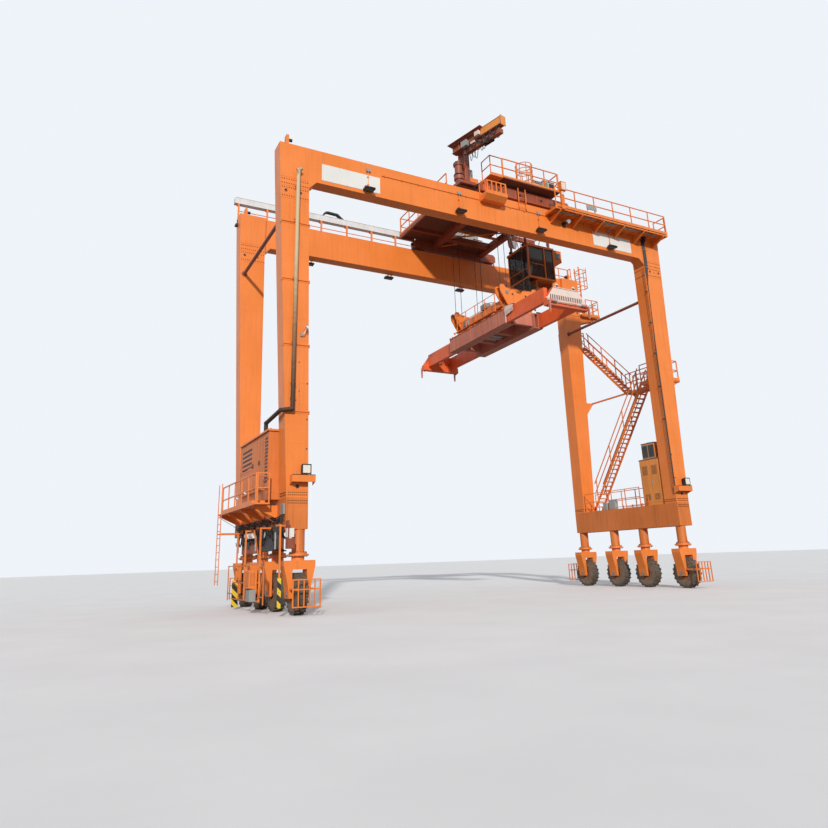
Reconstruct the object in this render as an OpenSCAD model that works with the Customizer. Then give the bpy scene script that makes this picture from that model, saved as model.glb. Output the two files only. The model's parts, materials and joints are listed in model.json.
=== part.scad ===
// Rubber tyred gantry crane for stacking freight containers.
// Two portal frames stand on sill beams and eight steerable wheels. A trolley with
// its cab and service jib runs along the girders and hangs a telescopic spreader.
// Frame: X along the girders, Y the way the crane drives, Z up, origin on the
// ground at the middle of the four corners. Millimetres and degrees.

/* [Portal frames] */
// Height of the girders' top face above the ground
girder_top_z = 19450; // [17000:10:21000]
// Depth of a girder
girder_d = 1640; // [1300:10:1900]
// Width of a girder
girder_w = 618; // [500:2:760]
// Girder's end beyond the wheel track
girder_over = 1260; // [1200:10:1400]
// Size of the sloped corner between girder and leg
haunch = 350; // [200:10:500]
// Height of the bolted splice between leg and girder
splice_z = 17350; // [15000:10:17500]
// Inner face of a leg at the splice, inside the wheel track
leg_head_step = 115; // [60:5:160]
// Width of a leg at the splice
leg_head_w = 1288; // [1200:4:1320]
// Inner face of a leg at its foot, inside the wheel track
leg_foot_step = 280; // [260:5:320]
// Width of a leg at its foot
leg_foot_w = 860; // [760:5:960]
// Depth of a leg along the driving direction
leg_d = 808; // [700:4:900]
// Distance of the portals' outer faces from the middle
portal_y = 3916; // [3800:4:4300]
// Radius of the two tie pipes between the portals
tie_r = 84; // [60:2:110]
// Distance of the left tie pipe beyond the wheel track
tie_left_step = 900; // [780:10:950]
// Distance of the right tie pipe beyond the wheel track
tie_right_step = 30; // [0:10:150]
// Height of the left tie pipe
tie_left_z = 16040; // [14500:20:16600]
// Height of the right tie pipe
tie_right_z = 15500; // [14500:20:16600]
// Gap left where a bolted piece seats on another
seat = 0.3; // [0.1:0.1:0.5]

/* [Trolley rails] */
// Height of the trolley rail
rail_h = 140; // [100:5:180]
// Width of the rail's foot
rail_foot_w = 150; // [110:5:200]
// Length left between a rail's end and the girder's end
rail_step = 460; // [300:10:700]

/* [Cable trough] */
// Length of the cable trough beyond the girder's left end
trough_over = 110; // [0:10:200]
// Inner end of the cable trough from the middle
trough_mid_x = 120; // [60:20:400]
// Height of the trough's floor above the girder
trough_up = 1050; // [900:10:1100]
// Height of the trough's sides
trough_h = 340; // [260:10:380]
// Place of the energy chain's turning loop
chain_loop_x = 6500; // [5000:20:7000]
// Radius of the energy chain's turning loop
chain_r = 350; // [300:10:400]

/* [Sills] */
// Height of a sill beam's underside
sill_z = 3000; // [2900:10:3200]
// Depth of a sill beam
sill_h = 1150; // [900:10:1300]

/* [Wheels and forks] */
// Distance of the wheel tracks from the middle
track_x = 10150; // [10050:10:10300]
// Distance of the outer wheels from the middle
outer_wheel_y = 3660; // [3500:10:3670]
// Distance of the inner wheels from the middle
inner_wheel_y = 1100; // [950:10:1300]
// Radius of a tyre
tyre_r = 730; // [680:5:760]
// Width of a tyre
tyre_w = 430; // [380:5:460]
// Radius of the rim's bead seat
rim_r = 318; // [290:2:340]
// Radius of a wheel axle
axle_r = 70; // [55:1:85]
// Radial running clearance of the wheel on its axle
axle_gap = 0.08; // [0.05:0.01:0.10]
// Number of tread lugs on each shoulder of a tyre
lug_count = 20; // [12:1:26]
// Depth of the tread grooves
lug_h = 30; // [15:1:45]
// Radius of a steering column
column_r = 240; // [200:5:260]
// Height of the steering joint
steer_z = 2110; // [2050:5:2200]
// Gap inside the steering joint
steer_gap = 0.5; // [0.3:0.1:0.9]
// Inner width between a fork's cheeks
fork_gap = 560; // [500:5:600]
// Thickness of a fork's cheek
cheek_t = 160; // [120:5:200]
// Length of a fork along the wheel
fork_l = 520; // [400:10:640]
// Width of a fork's head
fork_head_w = 1200; // [900:10:1240]
// Distance of the wheel guards ahead of the steering axis
guard_reach = 1040; // [1000:10:1100]
// Width of a wheel guard
guard_w = 1060; // [860:10:1100]
// Height of a wheel guard's lower bar
guard_z = 300; // [250:10:400]
// Height of a wheel guard
guard_h = 950; // [800:10:1000]

/* [Trolley] */
// Middle of the trolley's carriages in the stored pose
trolley_x = 2020; // [1900:10:2100]
// Half length of a carriage
carriage_half = 2930; // [2700:10:3000]
// Radius of a trolley wheel
trolley_wheel_r = 280; // [250:5:310]
// Depth of a carriage beam
carriage_h = 560; // [480:10:640]
// Width of a carriage beam
carriage_w = 420; // [380:10:480]
// Left end of the machinery platform
platform_x = -1850; // [-2000:10:-1700]
// Size of the trolley's cross beams
cross_beam = 360; // [300:10:420]
// Height of the handrails
rail_post_h = 1100; // [1000:10:1200]
// Thickness of handrail bars
bar_t = 45; // [40:1:60]

// Height of the raised outer walkway above the carriages
deck_up = 160; // [140:10:300]
// Left end of the raised outer walkway
deck_x = 250; // [100:10:500]
// Middle of the hoist drum along the girders
drum_x = -700; // [-900:10:-500]
// Length of the hoist drum
drum_l = 2600; // [2000:20:2800]

/* [Cab] */
// Left face of the cab
cab_x = 4100; // [4050:10:4200]
// Length of the cab along the girders
cab_l = 1900; // [1800:10:2000]
// Width of the cab
cab_w = 1900; // [1700:10:2000]
// Height of the cab's floor
cab_z = 16900; // [16700:10:17000]
// Height of the cab
cab_h = 2060; // [1950:10:2150]
// Size of the cab's corner posts
cab_post = 90; // [70:5:110]
// Depth of the glazed belly under the cab's sill
cab_belly = 480; // [300:10:560]
// How far the belly's glazing slopes in
cab_slope = 320; // [240:10:400]
// Thickness of the glass
glass_t = 10; // [6:1:14]

// Distance of the cab's hangers from its middle
cab_hang_y = 700; // [600:10:760]

/* [Service jib] */
// Place of the jib's post along the girders
jib_x = -1640; // [-1680:10:-1600]
// Place of the jib's post across the trolley
jib_y = -3050; // [-3100:10:-3000]
// Radius of the jib's post
jib_post_r = 200; // [170:5:220]
// Height of the jib's post above the carriages
jib_post_h = 1280; // [1160:10:1360]
// Height of the jib's lower bearing above the carriages
jib_bearing_h = 320; // [260:10:400]
// Radial running gap between the post and the mast's collars
jib_gap = 0.09; // [0.05:0.01:0.10]
// Height of the jib beam's underside above its post
jib_beam_up = 630; // [480:10:880]
// Length of the jib beam ahead of the post
jib_reach = 3100; // [2600:20:3600]
// Angle of the stored jib from the driving direction
jib_turn = 14; // [0:1:25]

/* [Spreader] */
// Middle of the spreader along the girders
load_x = 2020; // [1900:10:2100]
// Height of the twistlocks' seating face in the stored pose
lock_z = 12850; // [12700:10:13000]
// Twistlock distance across the container
lock_w = 2259; // [2259:1:2260]
// Twistlock distance along a 40 ft container
lock_l = 11985; // [11980:1:11990]
// Twistlock distance along a 20 ft container
lock_short_l = 5853; // [5850:1:5856]
// Half length of the spreader's main frame
frame_half_l = 2750; // [2700:5:2760]
// Depth of the main frame's side boxes
frame_h = 830; // [780:5:880]
// Width of a telescopic beam
tele_w = 200; // [180:5:220]
// Depth of a telescopic beam
tele_h = 740; // [600:5:760]
// Wall of the main frame's boxes
frame_t = 30; // [20:1:40]
// Half width of the main frame
frame_half_w = 1180; // [1150:5:1200]
// Running gap round a telescopic beam
tele_gap = 6; // [5:1:10]
// Length of a telescopic beam that stays inside the main frame
tele_hold = 950; // [800:10:1000]
// Width of an end beam
end_w = 300; // [240:5:320]
// Half width of an end beam
end_half_w = 1215; // [1200:5:1219]
// Half width of the headblock
head_half_w = 1190; // [1100:5:1200]
// Half length of the headblock
head_half_l = 2500; // [2300:10:2600]
// Height of the headblock's top above the main frame
head_h = 1450; // [1300:10:1500]
// Radius of a hoist rope
rope_r = 14; // [10:1:20]
// Distance of the rope falls from the headblock's middle, across
rope_x = 760; // [700:10:820]
// Radius of the rope sheaves at the groove's bottom
sheave_r = 262; // [220:2:280]
// Length of a flipper
flipper_l = 560; // [500:10:640]
// Radius of the flippers' shaft
flip_pin_r = 28; // [20:1:36]

/* [Genset and electrics] */
// Outer face of the generator house beyond the wheel track
genset_step = 1050; // [950:10:1150]
// Width of the generator house
genset_w = 1350; // [1200:10:1400]
// Length of the generator house
genset_l = 4450; // [4000:10:4500]
// Front face of the generator house from the middle
genset_y = 3000; // [2900:10:3050]
// Height of the generator house
genset_h = 2210; // [2000:10:2400]
// Height of the generator house's base frame
genset_base_h = 470; // [300:10:600]
// Number of louvre slots in a genset panel
louvre_count = 5; // [3:1:7]
// Radius of the exhaust pipe
exhaust_r = 85; // [60:1:100]
// Height of the exhaust pipe's top above the girder's underside
exhaust_up = 290; // [100:10:500]
// Width of the electrical house
house_w = 850; // [700:10:900]
// Length of the electrical house
house_l = 1350; // [1200:10:1500]
// Height of the electrical house
house_h = 2400; // [2000:10:2600]
// Height of the cooling unit on the electrical house
cooler_h = 900; // [700:10:1000]

/* [Left side at the ground] */
// Distance of the service frame beyond the wheel track
service_step = 1050; // [1000:10:1100]
// Near end of the service frame from the middle
service_y = 2200; // [2100:10:2300]
// Length of the service frame
service_l = 2300; // [2000:10:2340]
// Height of the service frame's lower bar
service_z = 430; // [350:10:500]
// Distance of the hazard posts beyond the wheel track
hazard_step = 880; // [860:10:900]
// Place of the near hazard post from the middle
hazard_near_y = 4300; // [4200:10:4400]
// Place of the far hazard post from the middle
hazard_far_y = 2000; // [1900:10:2100]
// Lower end of the hazard posts
hazard_z = 100; // [80:10:300]
// Lower end of the left service ladder
low_ladder_z = 1000; // [800:10:1200]

/* [Access] */
// Left end of the girder walkway
walkway_x = 3100; // [3000:10:3600]
// Width of the girder walkway
walkway_w = 930; // [800:10:1000]
// Depth of the girder walkway's floor below the girder's top
walkway_drop = 250; // [230:10:350]
// Height of the girder walkway's handrail
walkway_rail_h = 1100; // [1000:10:1120]
// Width of the genset's side platform
platform_w = 560; // [480:10:600]
// Width of the stairs and landings
stair_w = 640; // [560:10:700]
// Inner edge of the upper stair beyond the wheel track
stair_step = 1450; // [1400:10:1550]
// Height of the middle landing
mid_landing_z = 11000; // [10600:10:11200]
// Height of the upper landing
top_landing_z = 15000; // [14800:10:15100]
// Height of the ladder's rest landing
rest_landing_z = 17000; // [16900:10:17200]
// Lower end of the middle landing
mid_landing_y = -3300; // [-3340:10:-3200]
// Place where the upper flight leaves the middle landing
stair_turn_y = 160; // [0:10:300]
// Place where the lower flight reaches the middle landing
stair_meet_y = -1750; // [-1900:10:-1600]
// Foot of the lower flight
lower_stair_y = 3450; // [3300:10:3500]
// Far edge of the upper landing
top_landing_y = 4900; // [4600:10:5000]
// Place of the caged ladder beyond the wheel track
ladder_step = 1490; // [1430:10:1540]
// Place of the caged ladder's first stile
ladder_y = 3120; // [3060:10:3200]
// Width of the ladders
ladder_w = 400; // [360:10:450]
// Radius of the ladder's cage
cage_r = 340; // [320:5:380]
// Distance of the cage's round side from the ladder
cage_shift = 330; // [280:5:360]
// Rise of a stair tread
tread_rise = 230; // [200:5:260]
// Spacing of ladder rungs
rung_step = 300; // [250:10:320]

/* [Hidden] */

orange = "#F08030";
red_orange = "#D85028";
pink = "#C87868";
pale = "#E8D8D0";
galvanised = "#B8BEC2";
dark = "#303236";
rubber = "#38342F";
hazard_yellow = "#E8B820";
glass = "#30404A80";

girder_end_x = track_x + girder_over;
leg_head_in_x = track_x - leg_head_step;
leg_foot_in_x = track_x - leg_foot_step;
tie_left_x = track_x + tie_left_step;
tie_right_x = track_x + tie_right_step;
rail_end_x = girder_end_x - rail_step;
trough_end_x = girder_end_x + trough_over;
genset_x = track_x + genset_step;
service_x = track_x + service_step;
hazard_x = track_x + hazard_step;
stair_x = track_x + stair_step;
low_stair_x = stair_x - stair_w - 160;
ladder_x = track_x + ladder_step;
sill_top_z = sill_z + sill_h;
stair_foot_z = sill_top_z - 100;
girder_z = girder_top_z - girder_d;
rail_top_z = girder_top_z + rail_h;
rail_y = portal_y - girder_w / 2;
leg_in_y = portal_y - leg_d;
head_out_x = leg_head_in_x + leg_head_w;
foot_out_x = leg_foot_in_x + leg_foot_w;
trough_y = portal_y + 200;
trough_z = girder_top_z + trough_up;
walkway_z = girder_top_z - walkway_drop;
carriage_z = rail_top_z + 90;
axle_z = rail_top_z + trolley_wheel_r + 0.3;
wheel_dx = carriage_half - 420;
wheel_slot = 150;
cross_xs = [340, 3600];
well_y = head_half_l - 400;
frame_z = lock_z + 180;
head_z = frame_z + frame_h;
lane_w = tele_w + 2 * tele_gap;
lane_h = tele_h + 2 * tele_gap;
side_box_w = 2 * lane_w + 3 * frame_t;
lane_out_x = frame_half_w - frame_t - lane_w;
lane_in_x = lane_out_x - frame_t - lane_w;
rope_y = head_half_l - 240;
rope_low_z = head_z + head_h - 420;
carriage_top_z = carriage_z + carriage_h;
deck_z = carriage_top_z + deck_up;
jib_post_top_z = carriage_top_z + jib_post_h;
jib_bearing_z = carriage_top_z + jib_bearing_h;
jib_beam_z = jib_post_top_z + jib_beam_up;
rope_beam_z = carriage_z + carriage_h - cross_beam + 60;
flip_y = lock_l / 2 + end_w / 2 + 90;
flip_z = lock_z + 180;
lamp_xs = [-7240, -2320, 2590, 7500];
wheel_ys = [-outer_wheel_y, -inner_wheel_y, inner_wheel_y, outer_wheel_y];
guard_sides = [-1, 0, 0, 1];

// Outer face of the +X legs and of the girders' ends at height z
function leg_out(z) = foot_out_x
    + (head_out_x - foot_out_x) * (z - sill_top_z) / (splice_z - sill_top_z);
function girder_out(z) = head_out_x
    + (girder_end_x - head_out_x) * (z - splice_z) / (girder_top_z - splice_z);

// Plain shapes
module block(x, y, z) {
    translate([x[0], y[0], z[0]])
        cube([x[1] - x[0], y[1] - y[0], z[1] - z[0]]);
}

// Square bar of side t from point p to point q
module bar(p, q, t) {
    d = q - p;
    len = norm(d);
    translate(p)
        rotate([0, acos(d[2] / len), atan2(d[1], d[0])])
            translate([-t / 2, -t / 2, 0])
                cube([t, t, len]);
}

// Round rod of radius r from point p to point q
module rod(p, q, r, sides = 24) {
    d = q - p;
    len = norm(d);
    translate(p)
        rotate([0, acos(d[2] / len), atan2(d[1], d[0])])
            cylinder(h = len, r = r, $fn = sides);
}

// Handrail: posts, top rail, knee rail and toe board between p and q
module handrail(p, q, bays) {
    up = [0, 0, rail_post_h];
    for (i = [0:bays]) {
        foot = p + (q - p) * i / bays;
        bar(foot, foot + up, bar_t);
    }
    for (share = [0.5, 1])
        bar(p + up * share, q + up * share, bar_t);
}

// Outline in the XZ plane made a plate between y0 and y1
module xz_plate(points, y0, y1) {
    translate([0, y1, 0])
        rotate([90, 0, 0])
            linear_extrude(height = y1 - y0)
                polygon(points);
}

// Outline in the YZ plane made a plate between x0 and x1
module yz_plate(points, x0, x1) {
    translate([x0, 0, 0])
        rotate([90, 0, 90])
            linear_extrude(height = x1 - x0)
                polygon(points);
}

module mirrored_x() {
    children();
    mirror([1, 0, 0])
        children();
}

module mirrored_y() {
    children();
    mirror([0, 1, 0])
        children();
}

// Portal frames, drawn for the portal on the +Y side
module corner_outline_plate(y0, y1) {
    xz_plate([[leg_head_in_x, splice_z], [head_out_x, splice_z],
        [girder_end_x, girder_top_z], [leg_head_in_x, girder_top_z]], y0, y1);
}

module girder() {
    color(orange) {
        xz_plate([[-leg_head_in_x, girder_z - haunch], [-leg_head_in_x + haunch, girder_z],
            [leg_head_in_x - haunch, girder_z], [leg_head_in_x, girder_z - haunch],
            [leg_head_in_x, girder_top_z], [-leg_head_in_x, girder_top_z]],
            portal_y - girder_w, portal_y);
        mirrored_x()
            corner_outline_plate(leg_in_y, portal_y);
        rail();
    }
}

module rail() {
    head_w = rail_foot_w * 0.45;
    foot_t = rail_h * 0.2;
    translate([-rail_end_x, rail_y, girder_top_z])
        rotate([90, 0, 90])
            linear_extrude(height = 2 * rail_end_x)
                polygon([[-rail_foot_w / 2, 0], [rail_foot_w / 2, 0],
                    [rail_foot_w / 2, foot_t], [head_w / 4, foot_t * 1.8],
                    [head_w / 4, rail_h * 0.62], [head_w / 2, rail_h * 0.7],
                    [head_w / 2, rail_h], [-head_w / 2, rail_h],
                    [-head_w / 2, rail_h * 0.7], [-head_w / 4, rail_h * 0.62],
                    [-head_w / 4, foot_t * 1.8], [-rail_foot_w / 2, foot_t]]);
    mirrored_x()
        translate([rail_end_x, rail_y, 0])
            block([0, 120], [-150, 150], [girder_top_z, rail_top_z + 420]);
}

module leg() {
    color(orange)
        xz_plate([[leg_foot_in_x, sill_top_z], [foot_out_x, sill_top_z],
            [head_out_x, splice_z], [leg_head_in_x, splice_z]], leg_in_y, portal_y);
}

// Sill beam of the +X side with its four steering columns
module sill() {
    color(orange) {
        block([leg_foot_in_x, foot_out_x], [-portal_y, portal_y],
            [sill_z, sill_top_z]);
        for (y = wheel_ys)
            translate([track_x, y, 0]) {
                translate([0, 0, steer_z + 60])
                    cylinder(h = sill_z - steer_z - 60, r = column_r, $fn = 48);
                translate([0, 0, steer_z])
                    cylinder(h = 60, r = column_r * 1.4, $fn = 48);
            }
    }
}

// Tie pipe between the two portals with its end flanges, at the legs' inner faces
module tie_pipe(x, z) {
    color(orange) {
        rod([x, -leg_in_y, z], [x, leg_in_y, z], tie_r, 32);
        mirrored_y()
            translate([x, leg_in_y, z])
                rotate([90, 0, 0])
                    cylinder(h = 30, r = tie_r * 1.7, $fn = 32);
    }
}

// Steerable fork with its wheel axle, drawn at the middle of the joint
module fork(guard_side = 0) {
    half_w = fork_gap / 2 + cheek_t;
    head = fork_head_w / 2;
    top_z = steer_z - steer_gap;
    beam_z = top_z - 220;
    color(orange) {
        difference() {
            xz_plate([[-head, beam_z], [head, beam_z],
                [head, beam_z - 180], [half_w, tyre_r + 260], [half_w - 40, tyre_r - 150],
                [-half_w + 40, tyre_r - 150], [-half_w, tyre_r + 260],
                [-head, beam_z - 180]], -fork_l / 2, fork_l / 2);
            block([-fork_gap / 2, fork_gap / 2], [-fork_l, fork_l],
                [0, beam_z - 320]);
        }
        translate([0, 0, beam_z])
            cylinder(h = top_z - beam_z, r = column_r, $fn = 48);
        translate([0, 0, top_z - 60])
            cylinder(h = 60, r = column_r * 1.7, $fn = 48);
        translate([-fork_gap / 2 - 1, 0, tyre_r])
            rotate([0, 90, 0])
                cylinder(h = fork_gap + 2, r = axle_r, $fn = 48);
        if (guard_side != 0)
            mirror([0, guard_side > 0 ? 1 : 0, 0])
                wheel_guard();
    }
}

// Bars ahead of an outer wheel, on an arm from each cheek of its fork
module wheel_guard() {
    t = 40;
    half = guard_w / 2;
    arm_x = fork_gap / 2 + cheek_t / 2;
    arm_z = tyre_r + 170;
    for (s = [-1, 1])
        block([s * arm_x - 30, s * arm_x + 30], [-guard_reach - t, -fork_l / 2 + 30],
            [arm_z - 30, arm_z + 30]);
    for (z = [guard_z, arm_z - t / 2, guard_z + guard_h - t])
        block([-half, half], [-guard_reach - t, -guard_reach], [z, z + t]);
    for (i = [0:5])
        translate([-half + i * (guard_w - t) / 5, 0, 0])
            block([0, t], [-guard_reach - t, -guard_reach], [guard_z, guard_z + guard_h]);
}

// Tyre, rim and hub in one, with chevron lugs on the tread
module wheel() {
    half = tyre_w / 2;
    tread_r = tyre_r - lug_h;
    color(rubber)
        translate([0, 0, tyre_r])
            rotate([0, 90, 0]) {
                rotate_extrude($fn = 72)
                    polygon([[axle_r + axle_gap, -half * 0.85], [150, -half * 0.85],
                        [150, -half * 0.25], [rim_r - 60, -half * 0.25],
                        [rim_r - 60, -half * 0.92], [rim_r + 20, -half * 0.96],
                        [rim_r + 150, -half], [tread_r - 90, -half],
                        [tread_r, -half * 0.86], [tread_r, half * 0.86],
                        [tread_r - 90, half], [rim_r + 150, half],
                        [rim_r + 20, half * 0.96], [rim_r - 60, half * 0.92],
                        [rim_r - 60, half * 0.1], [150, half * 0.1],
                        [150, half * 0.85], [axle_r + axle_gap, half * 0.85]]);
                for (i = [0:lug_count - 1], side = [0, 1])
                    rotate([0, 0, (i + side / 2) * 360 / lug_count])
                        mirror([0, 0, side])
                            translate([tread_r - 40, 0, 0])
                                lug();
            }
}

// One tread lug, from the tread's middle out to the shoulder
module lug() {
    half = tyre_w / 2;
    intersection() {
        rotate([0, 90, 0])
            linear_extrude(height = lug_h + 40)
                polygon([[10, -50], [-half * 0.97, 20], [-half * 0.97, 100], [10, 30]]);
        translate([-tyre_r + lug_h + 40, 0, 0])
            cylinder(h = tyre_w, r = tyre_r, center = true, $fn = 72);
    }
}

// Walkway along the outside of the near girder, right half: floor, brackets below
// it and a lamp mast outside it, each bolted on
module girder_walkway() {
    x0 = walkway_x;
    x1 = girder_end_x - 160;
    y_in = -portal_y;
    y_out = y_in - walkway_w;
    z = walkway_z;
    color(orange) {
        block([x0, x1], [y_out, y_out + 60], [z - 150, z + 40]);
        block([x0, x1], [y_in - 60 - seat, y_in - seat], [z - 150, z]);
        for (x = [x0, x1 - 60])
            block([x, x + 60], [y_out + 50, y_in - 50], [z - 150, z]);
        for (i = [0:5])
            yz_plate([[y_out + 30, z - 150 - seat], [y_in - seat, z - 150 - seat],
                [y_in - seat, z - 560], [y_in - 60, z - 560], [y_out + 30, z - 230]],
                x0 + 300 + i * (x1 - x0 - 660) / 5, x0 + 360 + i * (x1 - x0 - 660) / 5);
        block([x0 + 350, x0 + 560], [y_out - 100, y_out - seat], [z - 150, z + 900]);
        block([x0 + 320, x0 + 640], [y_out - 220, y_out - seat], [z + 900, z + 1400]);
    }
    color(galvanised)
        block([x0 + 50, x1 - 50], [y_out + 50, y_in - 50], [z - 40, z - 1]);
}

// Handrails of the near girder's walkway and of the far girder's right end
module girder_rails() {
    x0 = walkway_x;
    x1 = girder_end_x - 160;
    y_out = -portal_y - walkway_w + bar_t / 2 + 5;
    z = walkway_z + 40 + seat;
    far_y = portal_y - 60;
    far_z = girder_top_z + seat;
    color(orange) {
        handrail([x0 + bar_t, y_out, z], [x1 - bar_t, y_out, z], 6);
        handrail([x1 - bar_t / 2, y_out + 80, z - 40], [x1 - bar_t / 2, -portal_y - 65, z - 40], 1);
        handrail([leg_head_in_x - 300, far_y, far_z], [girder_end_x - 120, far_y, far_z], 2);
        handrail([girder_end_x - 60, ladder_y + ladder_w + 100, far_z],
            [girder_end_x - 60, far_y, far_z], 1);
    }
}

// Small standing place at the middle of the near girder
module girder_pulpit() {
    x0 = -1050;
    x1 = 250;
    y_in = -portal_y - seat;
    y_out = y_in - 640;
    z = girder_top_z - 560;
    top = girder_top_z + 420;
    color(orange) {
        difference() {
            yz_plate([[y_in, z], [y_in, z + 320], [y_out, z + 320], [y_out, z + 220],
                [y_out + 260, z]], x0, x1);
            yz_plate([[y_in - 40, z + 40], [y_in - 40, z + 330], [y_out + 40, z + 330],
                [y_out + 40, z + 230], [y_out + 280, z + 40]], x0 + 40, x1 - 40);
        }
        for (i = [0:4])
            block([x0 + 60 + i * (x1 - x0 - 180) / 4, x0 + 120 + i * (x1 - x0 - 180) / 4],
                [y_out, y_out + 38], [z + 320 + seat, top - 50]);
        block([x0 + 60, x1 - 60], [y_out, y_out + 38], [top - 60, top]);
        for (x = [x0, x1 - 38]) {
            for (y = [y_out + 60, y_in - 60])
                block([x, x + 38], [y, y + 60], [z + 320 + seat, top - 50]);
            block([x, x + 38], [y_out + 60, y_in], [top - 60, top]);
        }
    }
}

// Open trough on posts outside the far girder that carries the energy chain
module cable_trough() {
    x0 = -trough_end_x;
    x1 = -trough_mid_x;
    y = trough_y;
    z = trough_z;
    color(galvanised) {
        block([x0, x1], [y - 150, y + 150], [z - 12, z]);
        for (s = [-1, 1])
            block([x0, x1], [y + s * 144 - 6, y + s * 144 + 6], [z + seat, z + trough_h]);
    }
    color(orange)
        for (i = [0:7]) {
            x = x0 + 200 + i * (x1 - x0 - 400) / 7;
            yz_plate([[portal_y + seat, girder_top_z - 420], [portal_y + 80, girder_top_z - 420],
                [portal_y + 110, z - 200], [y + 150, z - 60], [y + 150, z - 12 - seat],
                [portal_y + 30, z - 12 - seat], [portal_y + seat, z - 200]], x - 40, x + 40);
        }
}

// Energy chain: a flat link band that lies in the trough and turns back over itself
module energy_chain() {
    x0 = -chain_loop_x;
    x1 = -trough_mid_x - 100;
    y = trough_y;
    z = trough_z + seat;
    r = chain_r;
    t = 80;
    color(dark)
        difference() {
            xz_plate(concat([[x0 + r, z], [x1, z], [x1, z + 2 * t], [x0 + 5 * r, z + 2 * t],
                [x0 + 4.4 * r, z + 2 * t + 30], [x0 + 2.6 * r, z + 2 * r - 30],
                [x0 + r, z + 2 * r]],
                [for (a = [105:15:255]) [x0 + r + r * cos(a), z + r + r * sin(a)]]),
                y - 110, y + 110);
            xz_plate(concat([[x0 + r, z + t], [x0 + 4.4 * r, z + t], [x0 + 4.2 * r, z + t + 40],
                [x0 + 2.5 * r, z + 2 * r - t - 30], [x0 + r, z + 2 * r - t]],
                [for (a = [105:15:255])
                    [x0 + r + (r - t) * cos(a), z + r + (r - t) * sin(a)]]),
                y - 111, y + 111);
        }
}

// Louvred housing of the diesel generator on the left sill
module genset_house() {
    x0 = -genset_x;
    x1 = -genset_x + genset_w;
    y0 = -genset_y;
    y1 = -genset_y + genset_l;
    z0 = sill_top_z;
    z1 = z0 + genset_base_h;
    z2 = z1 + genset_h;
    slot_h = 70;
    color(orange) {
        block([x0 + 60, x1], [y0, y1], [z0, z1 - 20]);
        difference() {
            block([x0, x1], [y0, y1], [z1 - 20, z2]);
            for (i = [0:louvre_count - 1])
                translate([x0, y1 - 1300, z2 - 420 - i * 190])
                    louvre_cut(900, slot_h);
            for (i = [0:12])
                translate([x0, y0 + 120, z2 - 330 - i * 140])
                    louvre_cut(340, slot_h);
        }
        block([x0 - 60, x1 + 40], [y0 - 60, y1 + 60], [z2, z2 + 50]);
    }
}

// Exhaust pipe from the generator house's roof round to the near left leg and up it
module exhaust_pipe() {
    roof_z = sill_top_z + genset_base_h + genset_h + 50;
    y_leg = -portal_y - exhaust_r - 110;
    x_leg = -track_x - 480;
    top_z = girder_z + exhaust_up;
    low_z = roof_z + 620;
    x_roof = x_leg - 430;
    path = [[x_roof, 1000 - genset_y, roof_z + seat], [x_roof, 1000 - genset_y, low_z - 200],
        [x_roof, y_leg + 130, low_z - 60], [x_leg, y_leg, low_z], [x_leg + 40, y_leg, top_z]];
    color("#5A4038") {
        for (i = [0:3])
            rod(path[i], path[i + 1], exhaust_r, 16);
        for (i = [1:3])
            translate(path[i])
                sphere(r = exhaust_r + 8, $fn = 16);
        translate(path[0])
            cylinder(h = 40, r = exhaust_r + 50, $fn = 24);
        translate(path[4])
            rotate([0, 50, 0])
                translate([0, 0, -60])
                    cylinder(h = 240, r = exhaust_r + 5, $fn = 16);
    }
    color(orange)
        for (share = [0.06, 0.32, 0.58, 0.84])
            block([x_leg - 30 + 40 * share, x_leg + 30 + 40 * share],
                [y_leg + exhaust_r - 20, -portal_y - seat],
                [low_z + (top_z - low_z) * share, low_z + (top_z - low_z) * share + 90]);
}

module louvre_cut(l, h) {
    yz_plate([[0, 0], [l, 0], [l, h], [0, h]], -1, 60);
}

// Side walkway of the generator house, ladder to the ground and service frame
module left_access_platform() {
    x0 = -genset_x - platform_w;
    x1 = -genset_x - 5;
    z = sill_top_z - 150;
    y0 = -genset_y - 400;
    y1 = genset_y;
    color(orange) {
        block([x0, x1], [y0, y1], [z - 60, z]);
        handrail([x0 + 25, y0 + 30, z + seat], [x0 + 25, y1 - 850, z + seat], 5);
        handrail([x0 + 80, y0 + 25, z + seat], [x1 - 30, y0 + 25, z + seat], 1);
        for (y = [y0 + 600, -900, 1100, y1 - 200])
            xz_plate([[x0 + 60, z - 60 - seat], [x0 + 60, z - 120], [-foot_out_x - seat, z - 560],
                [-foot_out_x - seat, z - 60 - seat]], y - 30, y + 30);
    }
}

// Electrical house on the right sill
module left_service_frame() {
    x = -service_x;
    t = 60;
    arm_z = sill_z + 100;
    y1 = service_l - service_y;
    color(orange) {
        for (y = [-service_y, y1 - t]) {
            block([x, x + t], [y, y + t], [service_z, arm_z + t]);
            block([x, -foot_out_x - seat], [y, y + t], [arm_z, arm_z + t]);
        }
        for (z = [service_z, service_z + 670, service_z + 1340])
            block([x, x + t], [-service_y, y1], [z, z + t]);
    }
    color(orange)
        block([x - 300 - seat, x - seat], [-service_y + 300, -service_y + 950],
            [service_z + 500, service_z + 1160]);
    color(galvanised)
        block([x - 240 - seat, x - seat], [-service_y + 350, -service_y + 900],
            [service_z + 20, service_z + 450]);
    color(orange)
        service_ladder();
}

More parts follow.
